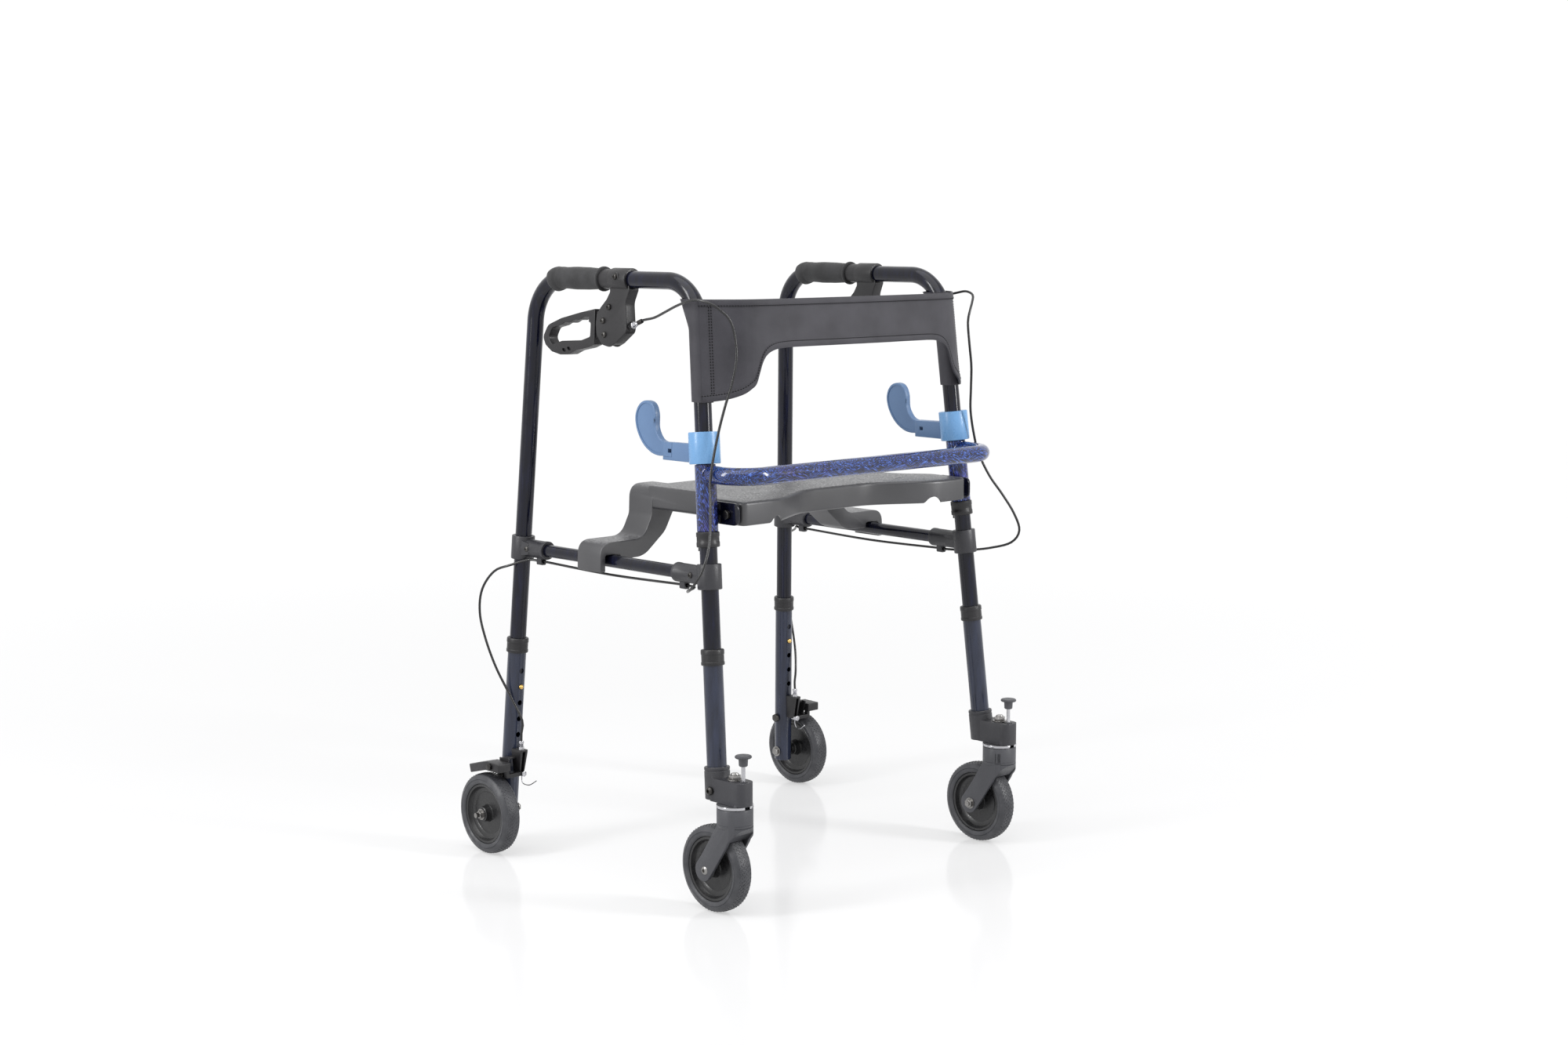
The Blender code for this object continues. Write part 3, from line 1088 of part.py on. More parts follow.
def build_brake_handle(maker):
    neck_low, neck_high = 0.1815, 0.2215
    neck = (neck_low + neck_high) / 2
    clamp = rod((0, neck_low, TOP_HEIGHT), (0, neck_high, TOP_HEIGHT), 0.0168, TUBE_SIDES)
    collar = rod((0, neck_high - 0.002, TOP_HEIGHT), (0, GRIP_START - GAP, TOP_HEIGHT), 0.0150, TUBE_SIDES)
    corners = hung([(neck_high, -0.0040), (neck_low, -0.0040), (neck_low - 0.0040, -0.0150), (0.1860, -0.0340),
                    (0.1835, -0.0560), (0.1815, -0.0760), (0.2060, -0.0935), (0.2200, -0.1000), (0.2370, -0.0970),
                    (0.2500, -0.0830), (0.2520, -0.0660), (0.2500, -0.0510), (0.2410, -0.0410), (0.2290, -0.0300),
                    (neck_high, -0.0190)])
    plate = prism(rounded(corners, [0, 0, 0.004, 0.020, 0.010, 0.010, 0.014, 0.014, 0.014, 0.014, 0.012, 0.010,
                                    0.010, 0.010, 0.006], 2), -HOUSING_HALF, HOUSING_HALF, "yzx")
    adjuster = Vector((0, *ADJUSTER))
    aim = cable_aim()
    boss = rod(adjuster + aim * -0.0100, adjuster, 0.0075, 4)
    barrel = turned([(0, -0.006), (0.0048, -0.006), (0.0048, 0.004), (0.0036, 0.0045), (0.0036, 0.0130), (0, 0.0130)],
                    adjuster, aim, 10)
    screws = []
    for y, height in ((0.2220, -0.0410), (0.2315, -0.0820), (neck, 0.0035)):
        face = 0.0162 if height > 0 else HOUSING_HALF
        screws.append(turned([(0, 0), (0.0046, 0), (0.0046, 0.0024), (0.0030, 0.0038), (0, 0.0040)],
                             (-face + 0.0004, y, TOP_HEIGHT + height), (-1, 0, 0), 8))
    housing = fused(plate, clamp, collar, boss, barrel, *screws)
    tube_bore = rod((0, neck_low - 0.02, TOP_HEIGHT), (0, GRIP_START + 0.02, TOP_HEIGHT), TUBE_R + GAP, TUBE_SIDES)
    pivot_y, pivot_z = LEVER_PIVOT
    slot_outline = [(pivot_y - 0.0230, pivot_z - 0.0540), (0.3000, pivot_z - 0.0540), (0.3000, pivot_z + 0.0320),
                    (pivot_y + 0.0040, pivot_z + 0.0320), (pivot_y - 0.0230, pivot_z + 0.0220)]
    slot = prism(slot_outline, -HOUSING_SLOT, HOUSING_SLOT, "yzx")
    housing = cut(housing, tube_bore, slot)
    pin = turned([(0, -HOUSING_HALF - 0.0034), (0.0046, -HOUSING_HALF - 0.0034), (0.0046, -HOUSING_HALF + 0.001),
                  (PIVOT_R, -HOUSING_HALF + 0.001), (PIVOT_R, HOUSING_HALF - 0.001), (0, HOUSING_HALF - 0.001)],
                 (0, *LEVER_PIVOT), (1, 0, 0), 10)
    maker.pair("brake_housing", fused(housing, pin), (0, neck, TOP_HEIGHT), "black_moulding")
    maker.pair("brake_lever", brake_lever(), (0, *LEVER_PIVOT), "black_moulding")


def brake_lever():
    """The closed loop that the fingers pull, with three finger hollows under its upper arm."""
    outer = rounded(hung([(0.2545, -0.0445), (0.2900, -0.0510), (0.3332, -0.0605), (0.3640, -0.0715),
                          (0.3755, -0.0900), (0.3690, -0.1020), (0.3540, -0.1115), (0.3330, -0.1155),
                          (0.3130, -0.1140), (0.2970, -0.1075), (0.2700, -0.1025), (0.2545, -0.0970)]),
                    [0, 0.03, 0.03, 0.016, 0.010, 0.010, 0.014, 0.02, 0.014, 0.014, 0.02, 0], 2)
    start, end = Vector((0.2680, TOP_HEIGHT - 0.0555)), Vector((0.3360, TOP_HEIGHT - 0.0700))
    scallops = []
    steps = 12
    for step in range(steps + 1):
        t = step / steps
        point = start.lerp(end, t)
        dip = 0.0020 * (1 - cos(2 * pi * 3 * t)) / 2
        scallops.append((point.x, point.y - 0.0015 + dip))
    opening = scallops + rounded(hung([(0.3540, -0.0750), (0.3625, -0.0900), (0.3540, -0.1010), (0.3300, -0.0945),
                                       (0.2850, -0.0920), (0.2650, -0.0860), (0.2640, -0.0640)]),
                                 [0.010, 0.008, 0.008, 0.014, 0.014, 0.004, 0.004], 2)
    loop = cut(prism(outer, -LEVER_HALF, LEVER_HALF, "yzx"), prism(opening, -0.02, 0.02, "yzx"))
    pivot_y, pivot_z = LEVER_PIVOT
    root_outline = arc(LEVER_PIVOT, 0.0145, 60, 300, 8) + [(0.2590, pivot_z - 0.0330), (0.2590, pivot_z + 0.0145)]
    root = prism(root_outline, -LEVER_ROOT_HALF, LEVER_ROOT_HALF, "yzx")
    hole = rod((-0.02, *LEVER_PIVOT), (0.02, *LEVER_PIVOT), running(PIVOT_R, 10), 10)
    return cut(fused(loop, root), hole)


def build_paddle(maker):
    low = front_leg(PADDLE_BOTTOM + GAP)
    high = low + FRONT_UP * PADDLE_HEIGHT
    collar = rod(low, high, PADDLE_COLLAR_R, TUBE_SIDES)
    axis_y = front_leg(PADDLE_BOTTOM).y
    base = PADDLE_BOTTOM
    arm = prism(rounded([(axis_y + 0.010, base + 0.0020), (axis_y + 0.0890, base + 0.0020),
                         (axis_y + 0.0890, base + 0.0290), (axis_y + 0.010, base + 0.0290)],
                        [0, 0.001, 0.004, 0], 2), -0.0075, 0.0075, "yzx")
    head_outline = rounded([(axis_y + 0.0800, base + 0.0270), (axis_y + 0.0835, base + 0.0440),
                            (axis_y + 0.0920, base + 0.0590), (axis_y + 0.0955, base + 0.0740),
                            (axis_y + 0.1070, base + 0.0840), (axis_y + 0.1350, base + 0.0835),
                            (axis_y + 0.1480, base + 0.0700), (axis_y + 0.1475, base + 0.0520),
                            (axis_y + 0.1370, base + 0.0270), (axis_y + 0.1220, base + 0.0110),
                            (axis_y + 0.1000, base + 0.0050), (axis_y + 0.0800, base + 0.0060)],
                           [0, 0.012, 0.014, 0.012, 0.013, 0.013, 0.016, 0.018, 0.018, 0.014, 0.01, 0], 2)
    head = eased(prism(head_outline, -PADDLE_HALF, PADDLE_HALF, "yzx"), 0.0014, 1, 50)
    paddle = fused(collar, arm, head)
    along = FRONT_UP * 0.02
    bore = rod(low - along, high + along, running(TUBE_R), TUBE_SIDES)
    latch = block((-0.02, axis_y + 0.0780, base + 0.0130), (0.02, axis_y + 0.0850, base + 0.0200))
    maker.pair("release_paddle", cut(paddle, bore, latch), low, "paddle_blue")


# Brake cable: it is held at the housing, both clips and the brake, so its route is fixed

def cable_route():
    aim = cable_aim()
    start = Vector((0, *ADJUSTER)) + aim * (0.0130 + GAP)
    clip_z = RAIL_HEIGHT - SOCKET_R - CABLE_R - 0.0010
    front_clip = FRONT_SOCKET - 0.016
    rear_clip = SIDE_SPAN - REAR_SOCKET + 0.016
    brake_foot = FRAME.inverted() @ CABLE_FOOT
    arch = [(-0.0040, 0.1276, -0.0537), (-0.0110, 0.0966, -0.0448), (-0.0200, 0.0637, -0.0356),
            (-0.0270, 0.0333, -0.0288), (-0.0265, 0.0114, -0.0258), (-0.0200, -0.0087, -0.0306),
            (-0.0080, -0.0186, -0.0408), (0.0020, -0.0239, -0.0511), (0.0100, -0.0262, -0.0700)]
    return [start, start + aim * 0.012] + [Vector((x, y, TOP_HEIGHT + height)) for x, y, height in arch] + [
            front_leg(0.7950, -0.0120, 0.0610),
            front_leg(0.7600, -0.0070, 0.0560), front_leg(0.7240, -0.0010, 0.0450), front_leg(0.6880, 0.0040, 0.0350),
            front_leg(0.6490, 0.0120, 0.0300), front_leg(0.6190, 0.0190, 0.0300), front_leg(0.5840, 0.0290, 0.0390),
            front_leg(0.5540, 0.0420, 0.0510), front_leg(0.5230, 0.0560, 0.0590), front_leg(0.4940, 0.0680, 0.0560),
            front_leg(0.4730, 0.0680, 0.0360), front_leg(0.4640, 0.0500, 0.0080), front_leg(0.4610, 0.0250, -0.0180),
            Vector((-0.0060, front_clip - 0.028, clip_z)), Vector((0, front_clip - 0.008, clip_z)),
            Vector((0, front_clip + 0.012, clip_z)), Vector((0, SIDE_SPAN / 2, clip_z - 0.0030)),
            Vector((0, rear_clip - 0.012, clip_z)), Vector((0, rear_clip + 0.008, clip_z)),
            Vector((-0.0070, rear_clip + 0.0240, clip_z)), rear_leg(0.4540, 0.0230, 0.0010),
            rear_leg(0.4420, 0.0340, -0.0250), rear_leg(0.4120, 0.0400, -0.0450), rear_leg(0.3750, 0.0400, -0.0480),
            rear_leg(0.3350, 0.0370, -0.0340), rear_leg(0.2900, 0.0290, -0.0130), rear_leg(0.2450, 0.0160, 0.0120),
            rear_leg(0.2100, 0.0040, 0.0270), brake_foot + Vector((0, 0, 0.0120)), brake_foot]


def build_cable(maker):
    path = smooth_path(cable_route(), 0.050)
    cable = sweep(path, [CABLE_R] * len(path), 5)
    maker.pair("brake_cable", cable, path[0], "cable_black")


def main():
    clear_scene()
    maker = Maker(make_materials())
    build_side_frame(maker)
    build_snap_buttons(maker)
    build_lower_legs(maker)
    build_wheels(maker)
    build_caster(maker)
    build_rear_brake(maker)
    build_cross_frame(maker)
    build_seat(maker)
    build_strap(maker)
    build_grip(maker)
    build_brake_handle(maker)
    build_paddle(maker)
    build_cable(maker)


main()
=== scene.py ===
# %% [markdown]
# # A folding four-wheel walker with a flip-up seat
# This lesson dresses a finished engineering model. The model gives every piece its place and every
# joint its axis, so nothing here is fitted by eye: each cell takes its sizes from the frame, makes one
# piece of the walker as a fine mesh, and hands it to the body that carries it.

# %% Load the frame
import json
from math import atan2, ceil, cos, pi, radians, sin, sqrt, tan

import bmesh
import bpy
from mathutils import Matrix, Vector, noise


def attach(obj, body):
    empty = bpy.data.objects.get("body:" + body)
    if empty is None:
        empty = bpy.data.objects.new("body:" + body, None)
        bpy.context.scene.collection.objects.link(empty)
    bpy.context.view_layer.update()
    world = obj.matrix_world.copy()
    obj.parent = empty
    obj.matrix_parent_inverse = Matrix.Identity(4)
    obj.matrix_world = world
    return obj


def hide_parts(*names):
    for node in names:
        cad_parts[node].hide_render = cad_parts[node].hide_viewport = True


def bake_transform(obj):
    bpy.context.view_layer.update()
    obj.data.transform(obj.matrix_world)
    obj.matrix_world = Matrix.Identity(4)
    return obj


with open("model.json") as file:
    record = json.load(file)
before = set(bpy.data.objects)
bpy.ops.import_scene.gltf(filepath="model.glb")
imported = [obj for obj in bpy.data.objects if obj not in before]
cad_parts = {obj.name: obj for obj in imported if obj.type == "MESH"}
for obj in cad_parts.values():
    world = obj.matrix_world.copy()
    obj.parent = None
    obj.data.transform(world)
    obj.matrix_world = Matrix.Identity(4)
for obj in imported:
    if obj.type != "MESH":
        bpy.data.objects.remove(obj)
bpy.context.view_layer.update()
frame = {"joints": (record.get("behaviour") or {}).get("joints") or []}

joints = {joint["name"]: joint for joint in frame["joints"]}

# %% [markdown]
# ## The leaning side plane
# Each side of the walker is one bent tube with its rail. It leans a little outwards and the two sides
# toe out, so its pieces are easiest to draw flat, in the side's own plane, and to lean over at the end.
# The plane could be typed in as angles. Reading it from the two leg joints is safer, because it then
# stays true when the engineering model changes.

# %% The side plane and the two leg lines
def joint_point(name):
    return Vector(joints[name]["pos_m"])


def joint_axis(name):
    return Vector(joints[name]["axis"])


FRONT_AT = joint_point("left_fold")
FRONT_UP = -joint_axis("left_fold")
REAR_UP = -joint_axis("left_rear_leg_slide")
RAIL = FRONT_AT.z
SPAN = 0.42512

X_WAY, Z_WAY = Vector((1, 0, 0)), Vector((0, 0, 1))
inboard = joint_axis("left_lever_squeeze").normalized()
rearward = Z_WAY.cross(inboard).normalized()
upward = inboard.cross(rearward)
REAR_AT = FRONT_AT + rearward * SPAN
turn = Matrix((inboard, rearward, upward)).transposed().to_4x4()
PLANE = Matrix.Translation(FRONT_AT) @ turn @ Matrix.Translation((0, 0, -RAIL))
MIRROR = Matrix.Diagonal((-1, 1, 1, 1))
FRONT_RAKE = FRONT_UP.dot(rearward) / FRONT_UP.dot(upward)
REAR_RAKE = -REAR_UP.dot(rearward) / REAR_UP.dot(upward)
front_way = Vector((0, FRONT_RAKE, 1)).normalized()
rear_way = Vector((0, -REAR_RAKE, 1)).normalized()


def front_leg(z, out=0.0, forward=0.0):
    """A point by the front leg in the side plane, at height z there."""
    return Vector((-out, FRONT_RAKE * (z - RAIL) - forward, z))


def rear_leg(z, out=0.0, forward=0.0):
    return Vector((-out, SPAN - REAR_RAKE * (z - RAIL) - forward, z))


def on_front_leg(z):
    """The front leg's axis at a true height above the floor."""
    return FRONT_AT + FRONT_UP * ((z - FRONT_AT.z) / FRONT_UP.z)


def on_rear_leg(z):
    return REAR_AT + REAR_UP * ((z - REAR_AT.z) / REAR_UP.z)


print("lean of the side plane, degrees:", round(atan2(upward.x, upward.z) * 180 / pi, 2))

# %% [markdown]
# ## Mesh tools
# Most pieces of a walker are turned, bent or moulded. Three small tools make them: a lathe for turned
# pieces, a slab for moulded outlines, and booleans with a bevel for holes and soft moulded edges.
# Sculpting would give the same shapes, but not the same exact fits. Profiles and outlines are written
# in millimetres, as on a drawing, and mm turns them into metres.

# %% Meshes and scratch objects
GAP = 0.0003


def mm(*points):
    """Points in millimetres as tuples in metres."""
    return [tuple(value / 1000 for value in point) for point in points]


def inside(radius, base, *steps):
    """Points of a profile, in millimetres under a radius and over a base."""
    return [(radius - depth / 1000, base + height / 1000) for depth, height in steps]


def mesh_from(bm, name="solid"):
    mesh = bpy.data.meshes.new(name)
    bm.to_mesh(mesh)
    bm.free()
    return mesh


def linked(data, name="solid"):
    thing = bpy.data.objects.new(name, data)
    bpy.context.scene.collection.objects.link(thing)
    return thing


def taken(solid):
    """The mesh of a scratch object, which goes."""
    mesh = solid.data
    bpy.data.objects.remove(solid, do_unlink=True)
    return mesh


def evaluated(thing):
    return bpy.data.meshes.new_from_object(thing.evaluated_get(bpy.context.evaluated_depsgraph_get()))


def mirrored_mesh(mesh):
    """A mirrored copy with its faces turned outwards again."""
    twin = mesh.copy()
    twin.transform(MIRROR)
    twin.flip_normals()
    return twin


def mirrored(solid):
    return linked(mirrored_mesh(solid.data))


def moved(solid, matrix):
    solid.data.transform(matrix)
    return solid


def joined_meshes(meshes):
    bm = bmesh.new()
    for mesh in meshes:
        bm.from_mesh(mesh)
    return mesh_from(bm, "joined")


# %% Lathe and slab
def solid_from(bm):
    bmesh.ops.remove_doubles(bm, verts=bm.verts, dist=1e-6)
    bmesh.ops.recalc_face_normals(bm, faces=bm.faces)
    return linked(mesh_from(bm))


def square_to(direction):
    """Two unit vectors square to a direction and to each other."""
    up = Vector(direction).normalized()
    helper = X_WAY if abs(up.x) < 0.9 else Vector((0, 1, 0))
    side = helper.cross(up).normalized()
    return side, up.cross(side).normalized()


def circle(centre, side, other, radius, sides):
    angles = [2 * pi * step / sides for step in range(sides)]
    return [centre + side * (radius * cos(a)) + other * (radius * sin(a)) for a in angles]


def lathe(profile, at, axis, sides=48):
    """Turn a closed profile of (radius, height) round an axis through a point."""
    up = Vector(axis).normalized()
    side, other = square_to(up)
    bm = bmesh.new()
    rings = []
    for radius, height in profile:
        centre = Vector(at) + up * height
        spots = circle(centre, side, other, radius, sides) if radius else [centre]
        rings.append([bm.verts.new(spot) for spot in spots])
    for here, there in zip(rings, rings[1:] + rings[:1]):
        if len(here) == 1 and len(there) == 1:
            continue
        for step in range(sides):
            ahead = (step + 1) % sides
            corners = [here[step % len(here)], here[ahead % len(here)],
                       there[ahead % len(there)], there[step % len(there)]]
            bm.faces.new(list(dict.fromkeys(corners)))
    return solid_from(bm)


def rod(start, end, radius, sides=32):
    way = Vector(end) - Vector(start)
    return lathe([(0, 0), (radius, 0), (radius, way.length), (0, way.length)], start, way, sides)


def cross_rod(low_x, high_x, at, radius, sides=32):
    """A rod across the walker through a point's y and z."""
    return rod((low_x, at.y, at.z), (high_x, at.y, at.z), radius, sides)


def drum(radius, height, start, way, edge=0.0012):
    """A short cylinder with eased edges."""
    side = [(radius - edge, 0), (radius - 0.0003, 0.0004), (radius, 0.0012), (radius, height - 0.0012),
            (radius - 0.0003, height - 0.0004), (radius - edge, height)]
    return lathe([(0, 0), *side, (0, height)], start, way, 64)


def slab(outline, low, high, plane="yzx"):
    """Extrude a closed outline. plane names the outline's two axes and the extrusion's."""
    axes = ["xyz".index(letter) for letter in plane]
    bm = bmesh.new()
    layers = []
    for level in (low, high):
        layer = []
        for first, second in outline:
            spot = [0.0, 0.0, 0.0]
            spot[axes[0]], spot[axes[1]], spot[axes[2]] = first, second, level
            layer.append(bm.verts.new(spot))
        layers.append(layer)
    count = len(outline)
    for step in range(count):
        ahead = (step + 1) % count
        bm.faces.new([layers[0][step], layers[0][ahead], layers[1][ahead], layers[1][step]])
    bm.faces.new(layers[0])
    bm.faces.new(layers[1])
    return solid_from(bm)


def block(low, high):
    outline = [(low[0], low[1]), (high[0], low[1]), (high[0], high[1]), (low[0], high[1])]
    return slab(outline, low[2], high[2], "xyz")


# %% Booleans and soft edges
def applied(solid):
    """Replace a scratch object's mesh by what its modifiers make of it."""
    mesh = evaluated(solid)
    solid.modifiers.clear()
    bm = bmesh.new()
    bm.from_mesh(mesh)
    bmesh.ops.remove_doubles(bm, verts=bm.verts, dist=2e-6)
    bmesh.ops.dissolve_degenerate(bm, edges=bm.edges, dist=2e-6)
    bm.to_mesh(mesh)
    bm.free()
    solid.data = mesh
    return solid


def combine(base, others, operation):
    for other in others:
        modifier = base.modifiers.new("combine", "BOOLEAN")
        modifier.operation = operation
        modifier.solver = "EXACT"
        modifier.object = other
        applied(base)
        bpy.data.objects.remove(other, do_unlink=True)
    return base


def fused(base, *others):
    return combine(base, others, "UNION")


def cut(base, *others):
    return combine(base, others, "DIFFERENCE")


def softened(solid, width, segments=3, angle=35):
    """Round the sharp edges, as a mould does."""
    modifier = solid.modifiers.new("soften", "BEVEL")
    modifier.width = width
    modifier.segments = segments
    modifier.limit_method = "ANGLE"
    modifier.angle_limit = radians(angle)
    modifier.use_clamp_overlap = True
    return applied(solid)


def hexagon(low_x, high_x, at, radius):
    """A bolt's head or nut across the walker."""
    return softened(cross_rod(low_x, high_x, at, radius, 6), 0.0005, 2, 40)


# %% Outlines and paths
def arc(centre, radius, start, end, steps):
    """Points on an arc, with its angles in degrees."""
    angles = [radians(start + (end - start) * step / steps) for step in range(steps + 1)]
    return [(centre[0] + radius * cos(a), centre[1] + radius * sin(a)) for a in angles]


def rounded(corners, radii, steps=8):
    """A closed outline with each corner rounded by its radius."""
    outline = []
    count = len(corners)
    for index, corner in enumerate(corners):
        here = Vector(corner)
        back = Vector(corners[index - 1]) - here
        ahead = Vector(corners[(index + 1) % count]) - here
        radius = radii[index] if isinstance(radii, (list, tuple)) else radii
        if radius <= 0:
            outline.append(tuple(here))
            continue
        half = back.angle(ahead) / 2
        reach = min(radius / tan(half), 0.48 * back.length, 0.48 * ahead.length)
        start = here + back.normalized() * reach
        end = here + ahead.normalized() * reach
        for step in range(steps + 1):
            t = step / steps
            outline.append(tuple(start * (1 - t) ** 2 + here * (2 * t * (1 - t)) + end * t ** 2))
    return outline


def bent_path(corners, radius, steps=24):
    """A path through corners, each but the first and last turned into an arc."""
    corners = [Vector(c) for c in corners]
    path = [corners[0]]
    for before, corner, after in zip(corners, corners[1:], corners[2:]):
        back = (before - corner).normalized()
        ahead = (after - corner).normalized()
        half = back.angle(ahead) / 2
        centre = corner + (back + ahead).normalized() * (radius / sin(half))
        first = (corner + back * (radius / tan(half)) - centre).normalized()
        normal = back.cross(ahead).normalized()
        for step in range(steps + 1):
            swing = Matrix.Rotation(-(pi - 2 * half) * step / steps, 3, normal)
            path.append(centre + (swing @ first) * radius)
    path.append(corners[-1])
    return path


def smooth_path(points, spacing):
    """Points at an even spacing on a smooth curve through the route's points."""
    points = [Vector(p) for p in points]
    ends = [points[0] * 2 - points[1]] + points + [points[-1] * 2 - points[-2]]
    fine = []
    for a, b, c, d in zip(ends, ends[1:], ends[2:], ends[3:]):
        steps = max(2, ceil((c - b).length / spacing))
        for step in range(steps):
            t = step / steps
            fine.append(0.5 * ((b * 2) + (c - a) * t + (a * 2 - b * 5 + c * 4 - d) * t ** 2
                               + (b * 3 - a - c * 3 + d) * t ** 3))
    fine.append(points[-1])
    return fine


# %% [markdown]
# ## Node trees as small machines
# Tubes, treads, stitches and screws repeat or follow a line, which is what Geometry Nodes are for. A
# tree here is a small machine with named inputs. It runs on a guide mesh, and its result is turned
# into a plain mesh, so that nothing live is left when the piece is handed to its body.

# %% Run a Geometry Nodes tree on a guide
def node_tree(name, **inputs):
    """A new tree. Each input has a socket type and a first value, and a material comes last."""
    tree = bpy.data.node_groups.new(name, "GeometryNodeTree")
    sockets = {"Geometry": ("Geometry", None), **inputs, "Material": ("Material", None)}
    for label, (kind, value) in sockets.items():
        wide_name = label.replace("_", " ")
        socket = tree.interface.new_socket(wide_name, in_out="INPUT", socket_type="NodeSocket" + kind)
        if value is not None:
            socket.default_value = value
    tree.interface.new_socket("Geometry", in_out="OUTPUT", socket_type="NodeSocketGeometry")
    return tree, tree.nodes.new("NodeGroupInput").outputs


def node(tree, kind, links=None, **settings):
    """Add a node. links maps its inputs, by name or number, to values or to other sockets."""
    made = tree.nodes.new(kind)
    for name, value in settings.items():
        setattr(made, name, value)
    for key, value in (links or {}).items():
        if isinstance(value, bpy.types.NodeSocket):
            tree.links.new(value, made.inputs[key])
        else:
            made.inputs[key].default_value = value
    return made


def finish_tree(tree, geometry, material):
    """Every tree ends the same way: real geometry, smooth, with its material."""
    real = node(tree, "GeometryNodeRealizeInstances", {"Geometry": geometry})
    painted = node(tree, "GeometryNodeSetMaterial", {"Geometry": real.outputs[0], "Material": material})
    node(tree, "NodeGroupOutput", {0: painted.outputs[0]})
    return tree


def run_tree(tree, guide, **values):
    """Run a tree on a guide mesh and return the result as a plain scratch object."""
    holder = linked(guide, "guide")
    modifier = holder.modifiers.new("grow", "NODES")
    modifier.node_group = tree
    for item in tree.interface.items_tree:
        key = item.name.replace(" ", "_").lower()
        if item.item_type == "SOCKET" and item.in_out == "INPUT" and key in values:
            modifier[item.identifier] = values[key]
    mesh = evaluated(holder)
    bpy.data.objects.remove(holder, do_unlink=True)
    return linked(mesh, "grown")


def line_mesh(points, closed=False, edges=True):
    mesh = bpy.data.meshes.new("line")
    count = len(points)
    steps = [(index, index + 1) for index in range(count - 1)] if edges else []
    if closed:
        steps.append((count - 1, 0))
    mesh.from_pydata([tuple(p) for p in points], steps, [])
    return mesh


# %% [markdown]
# ## Finishes
# Every finish is made of nodes that read the piece's own Object coordinates, so a pattern sits at its
# real scale and stays put when the piece moves. A flat colour never looks real: each finish mixes two
# close colours, varies its roughness, and carries a fine bump for the grain of its surface.

# %% A small kit for shaders
finishes = {}


class Finish:
    """One material under construction."""

    def __init__(self, name, roughness, **sockets):
        self.name = name
        self.material = bpy.data.materials.new(name)
        self.material.use_nodes = True
        self.tree = self.material.node_tree
        self.shader = self.tree.nodes["Principled BSDF"]
        for label, value in {"Roughness": roughness, **sockets}.items():
            self.shader.inputs[label.replace("_", " ")].default_value = value
        self.place = self.add("TexCoord").outputs["Object"]

    def add(self, kind, links=None, **settings):
        return node(self.tree, "ShaderNode" + kind, links, **settings)

    def mapped(self, scale, rotation=(0, 0, 0), kind="POINT"):
        """Coordinates drawn out along axes. Kind TEXTURE turns the axes first, so patterns run aslant."""
        links = {"Vector": self.place, "Scale": scale, "Rotation": [radians(a) for a in rotation]}
        return self.add("Mapping", links, vector_type=kind).outputs[0]

    def noise(self, scale, detail=2.0, distortion=0.0, at=None):
        links = {"Vector": at or self.place, "Scale": scale, "Detail": detail, "Distortion": distortion}
        return self.add("TexNoise", links).outputs["Fac"]

    def cells(self, scale):
        return self.add("TexVoronoi", {"Vector": self.place, "Scale": scale}).outputs["Distance"]

    def math(self, operation, *values):
        return self.add("Math", dict(enumerate(values)), operation=operation).outputs[0]

    def times(self, first, second):
        return self.math("MULTIPLY", first, second)

    def blend(self, first, first_share, second, second_share):
        return self.math("ADD", self.times(first, first_share), self.times(second, second_share))

    def between(self, value, low, high, from_low=0.35, from_high=0.65):
        links = {"Value": value, "From Min": from_low, "From Max": from_high, "To Min": low, "To Max": high}
        return self.add("MapRange", links).outputs[0]

    def ramp(self, value, *stops):
        made = self.add("ValToRGB", {0: value})
        elements = made.color_ramp.elements
        for index, (spot, *colour) in enumerate(stops):
            element = elements[index] if index < 2 else elements.new(spot)
            element.position = spot
            element.color = (*colour, 1)
        return made.outputs[0]

    def mix(self, share, low, high):
        made = self.add("Mix", {0: share}, data_type="RGBA")
        for number, value in ((6, low), (7, high)):
            if isinstance(value, bpy.types.NodeSocket):
                self.tree.links.new(value, made.inputs[number])
            else:
                made.inputs[number].default_value = (*value, 1)
        return made.outputs[2]

    def set(self, label, socket):
        self.tree.links.new(socket, self.shader.inputs[label])

    def coloured(self, share, low, high):
        """Mix two colours by a share that is stretched to the full range."""
        self.set("Base Color", self.mix(self.between(share, 0.0, 1.0), low, high))

    def bump(self, height, strength, distance):
        """The last step: the grain. It puts the material into the set."""
        links = {"Height": height, "Strength": strength, "Distance": distance}
        self.set("Normal", self.add("Bump", links).outputs[0])
        finishes[self.name] = self.material


# %% [markdown]
# The tubes are painted a navy so dark that it reads as black until the light catches it. Under the
# clear coat lie faint streaks along the tube, and the coat itself has a slight orange peel. The lower
# legs are a paler slate, which needs a stronger coat.

# %% Painted tubes
def tube_paint(name, roughness, coat, streak_scale, streak_length, stops, patch_scale, rough, **sockets):
    made = Finish(name, roughness, Coat_Weight=coat, **sockets)
    streaks = made.noise(streak_scale, 4, 0.4, made.mapped((1, 1, streak_length)))
    made.set("Base Color", made.ramp(streaks, *stops))
    made.set("Roughness", made.between(made.noise(patch_scale, 3), *rough))
    made.bump(made.noise(420, 2), 0.06, 0.0004)


navy_stops = ((0.3, 0.002, 0.0021, 0.005), (0.55, 0.003, 0.0036, 0.011), (0.72, 0.005, 0.0062, 0.024))
slate_stops = ((0.3, 0.01, 0.013, 0.026), (0.7, 0.02, 0.026, 0.052))


# %% [markdown]
# The cross frame has the showy paint: a dark base with feathered blue strokes and a breath of violet.
# Two noise fields, drawn out along a tube and tilted against each other, give strokes that cross.

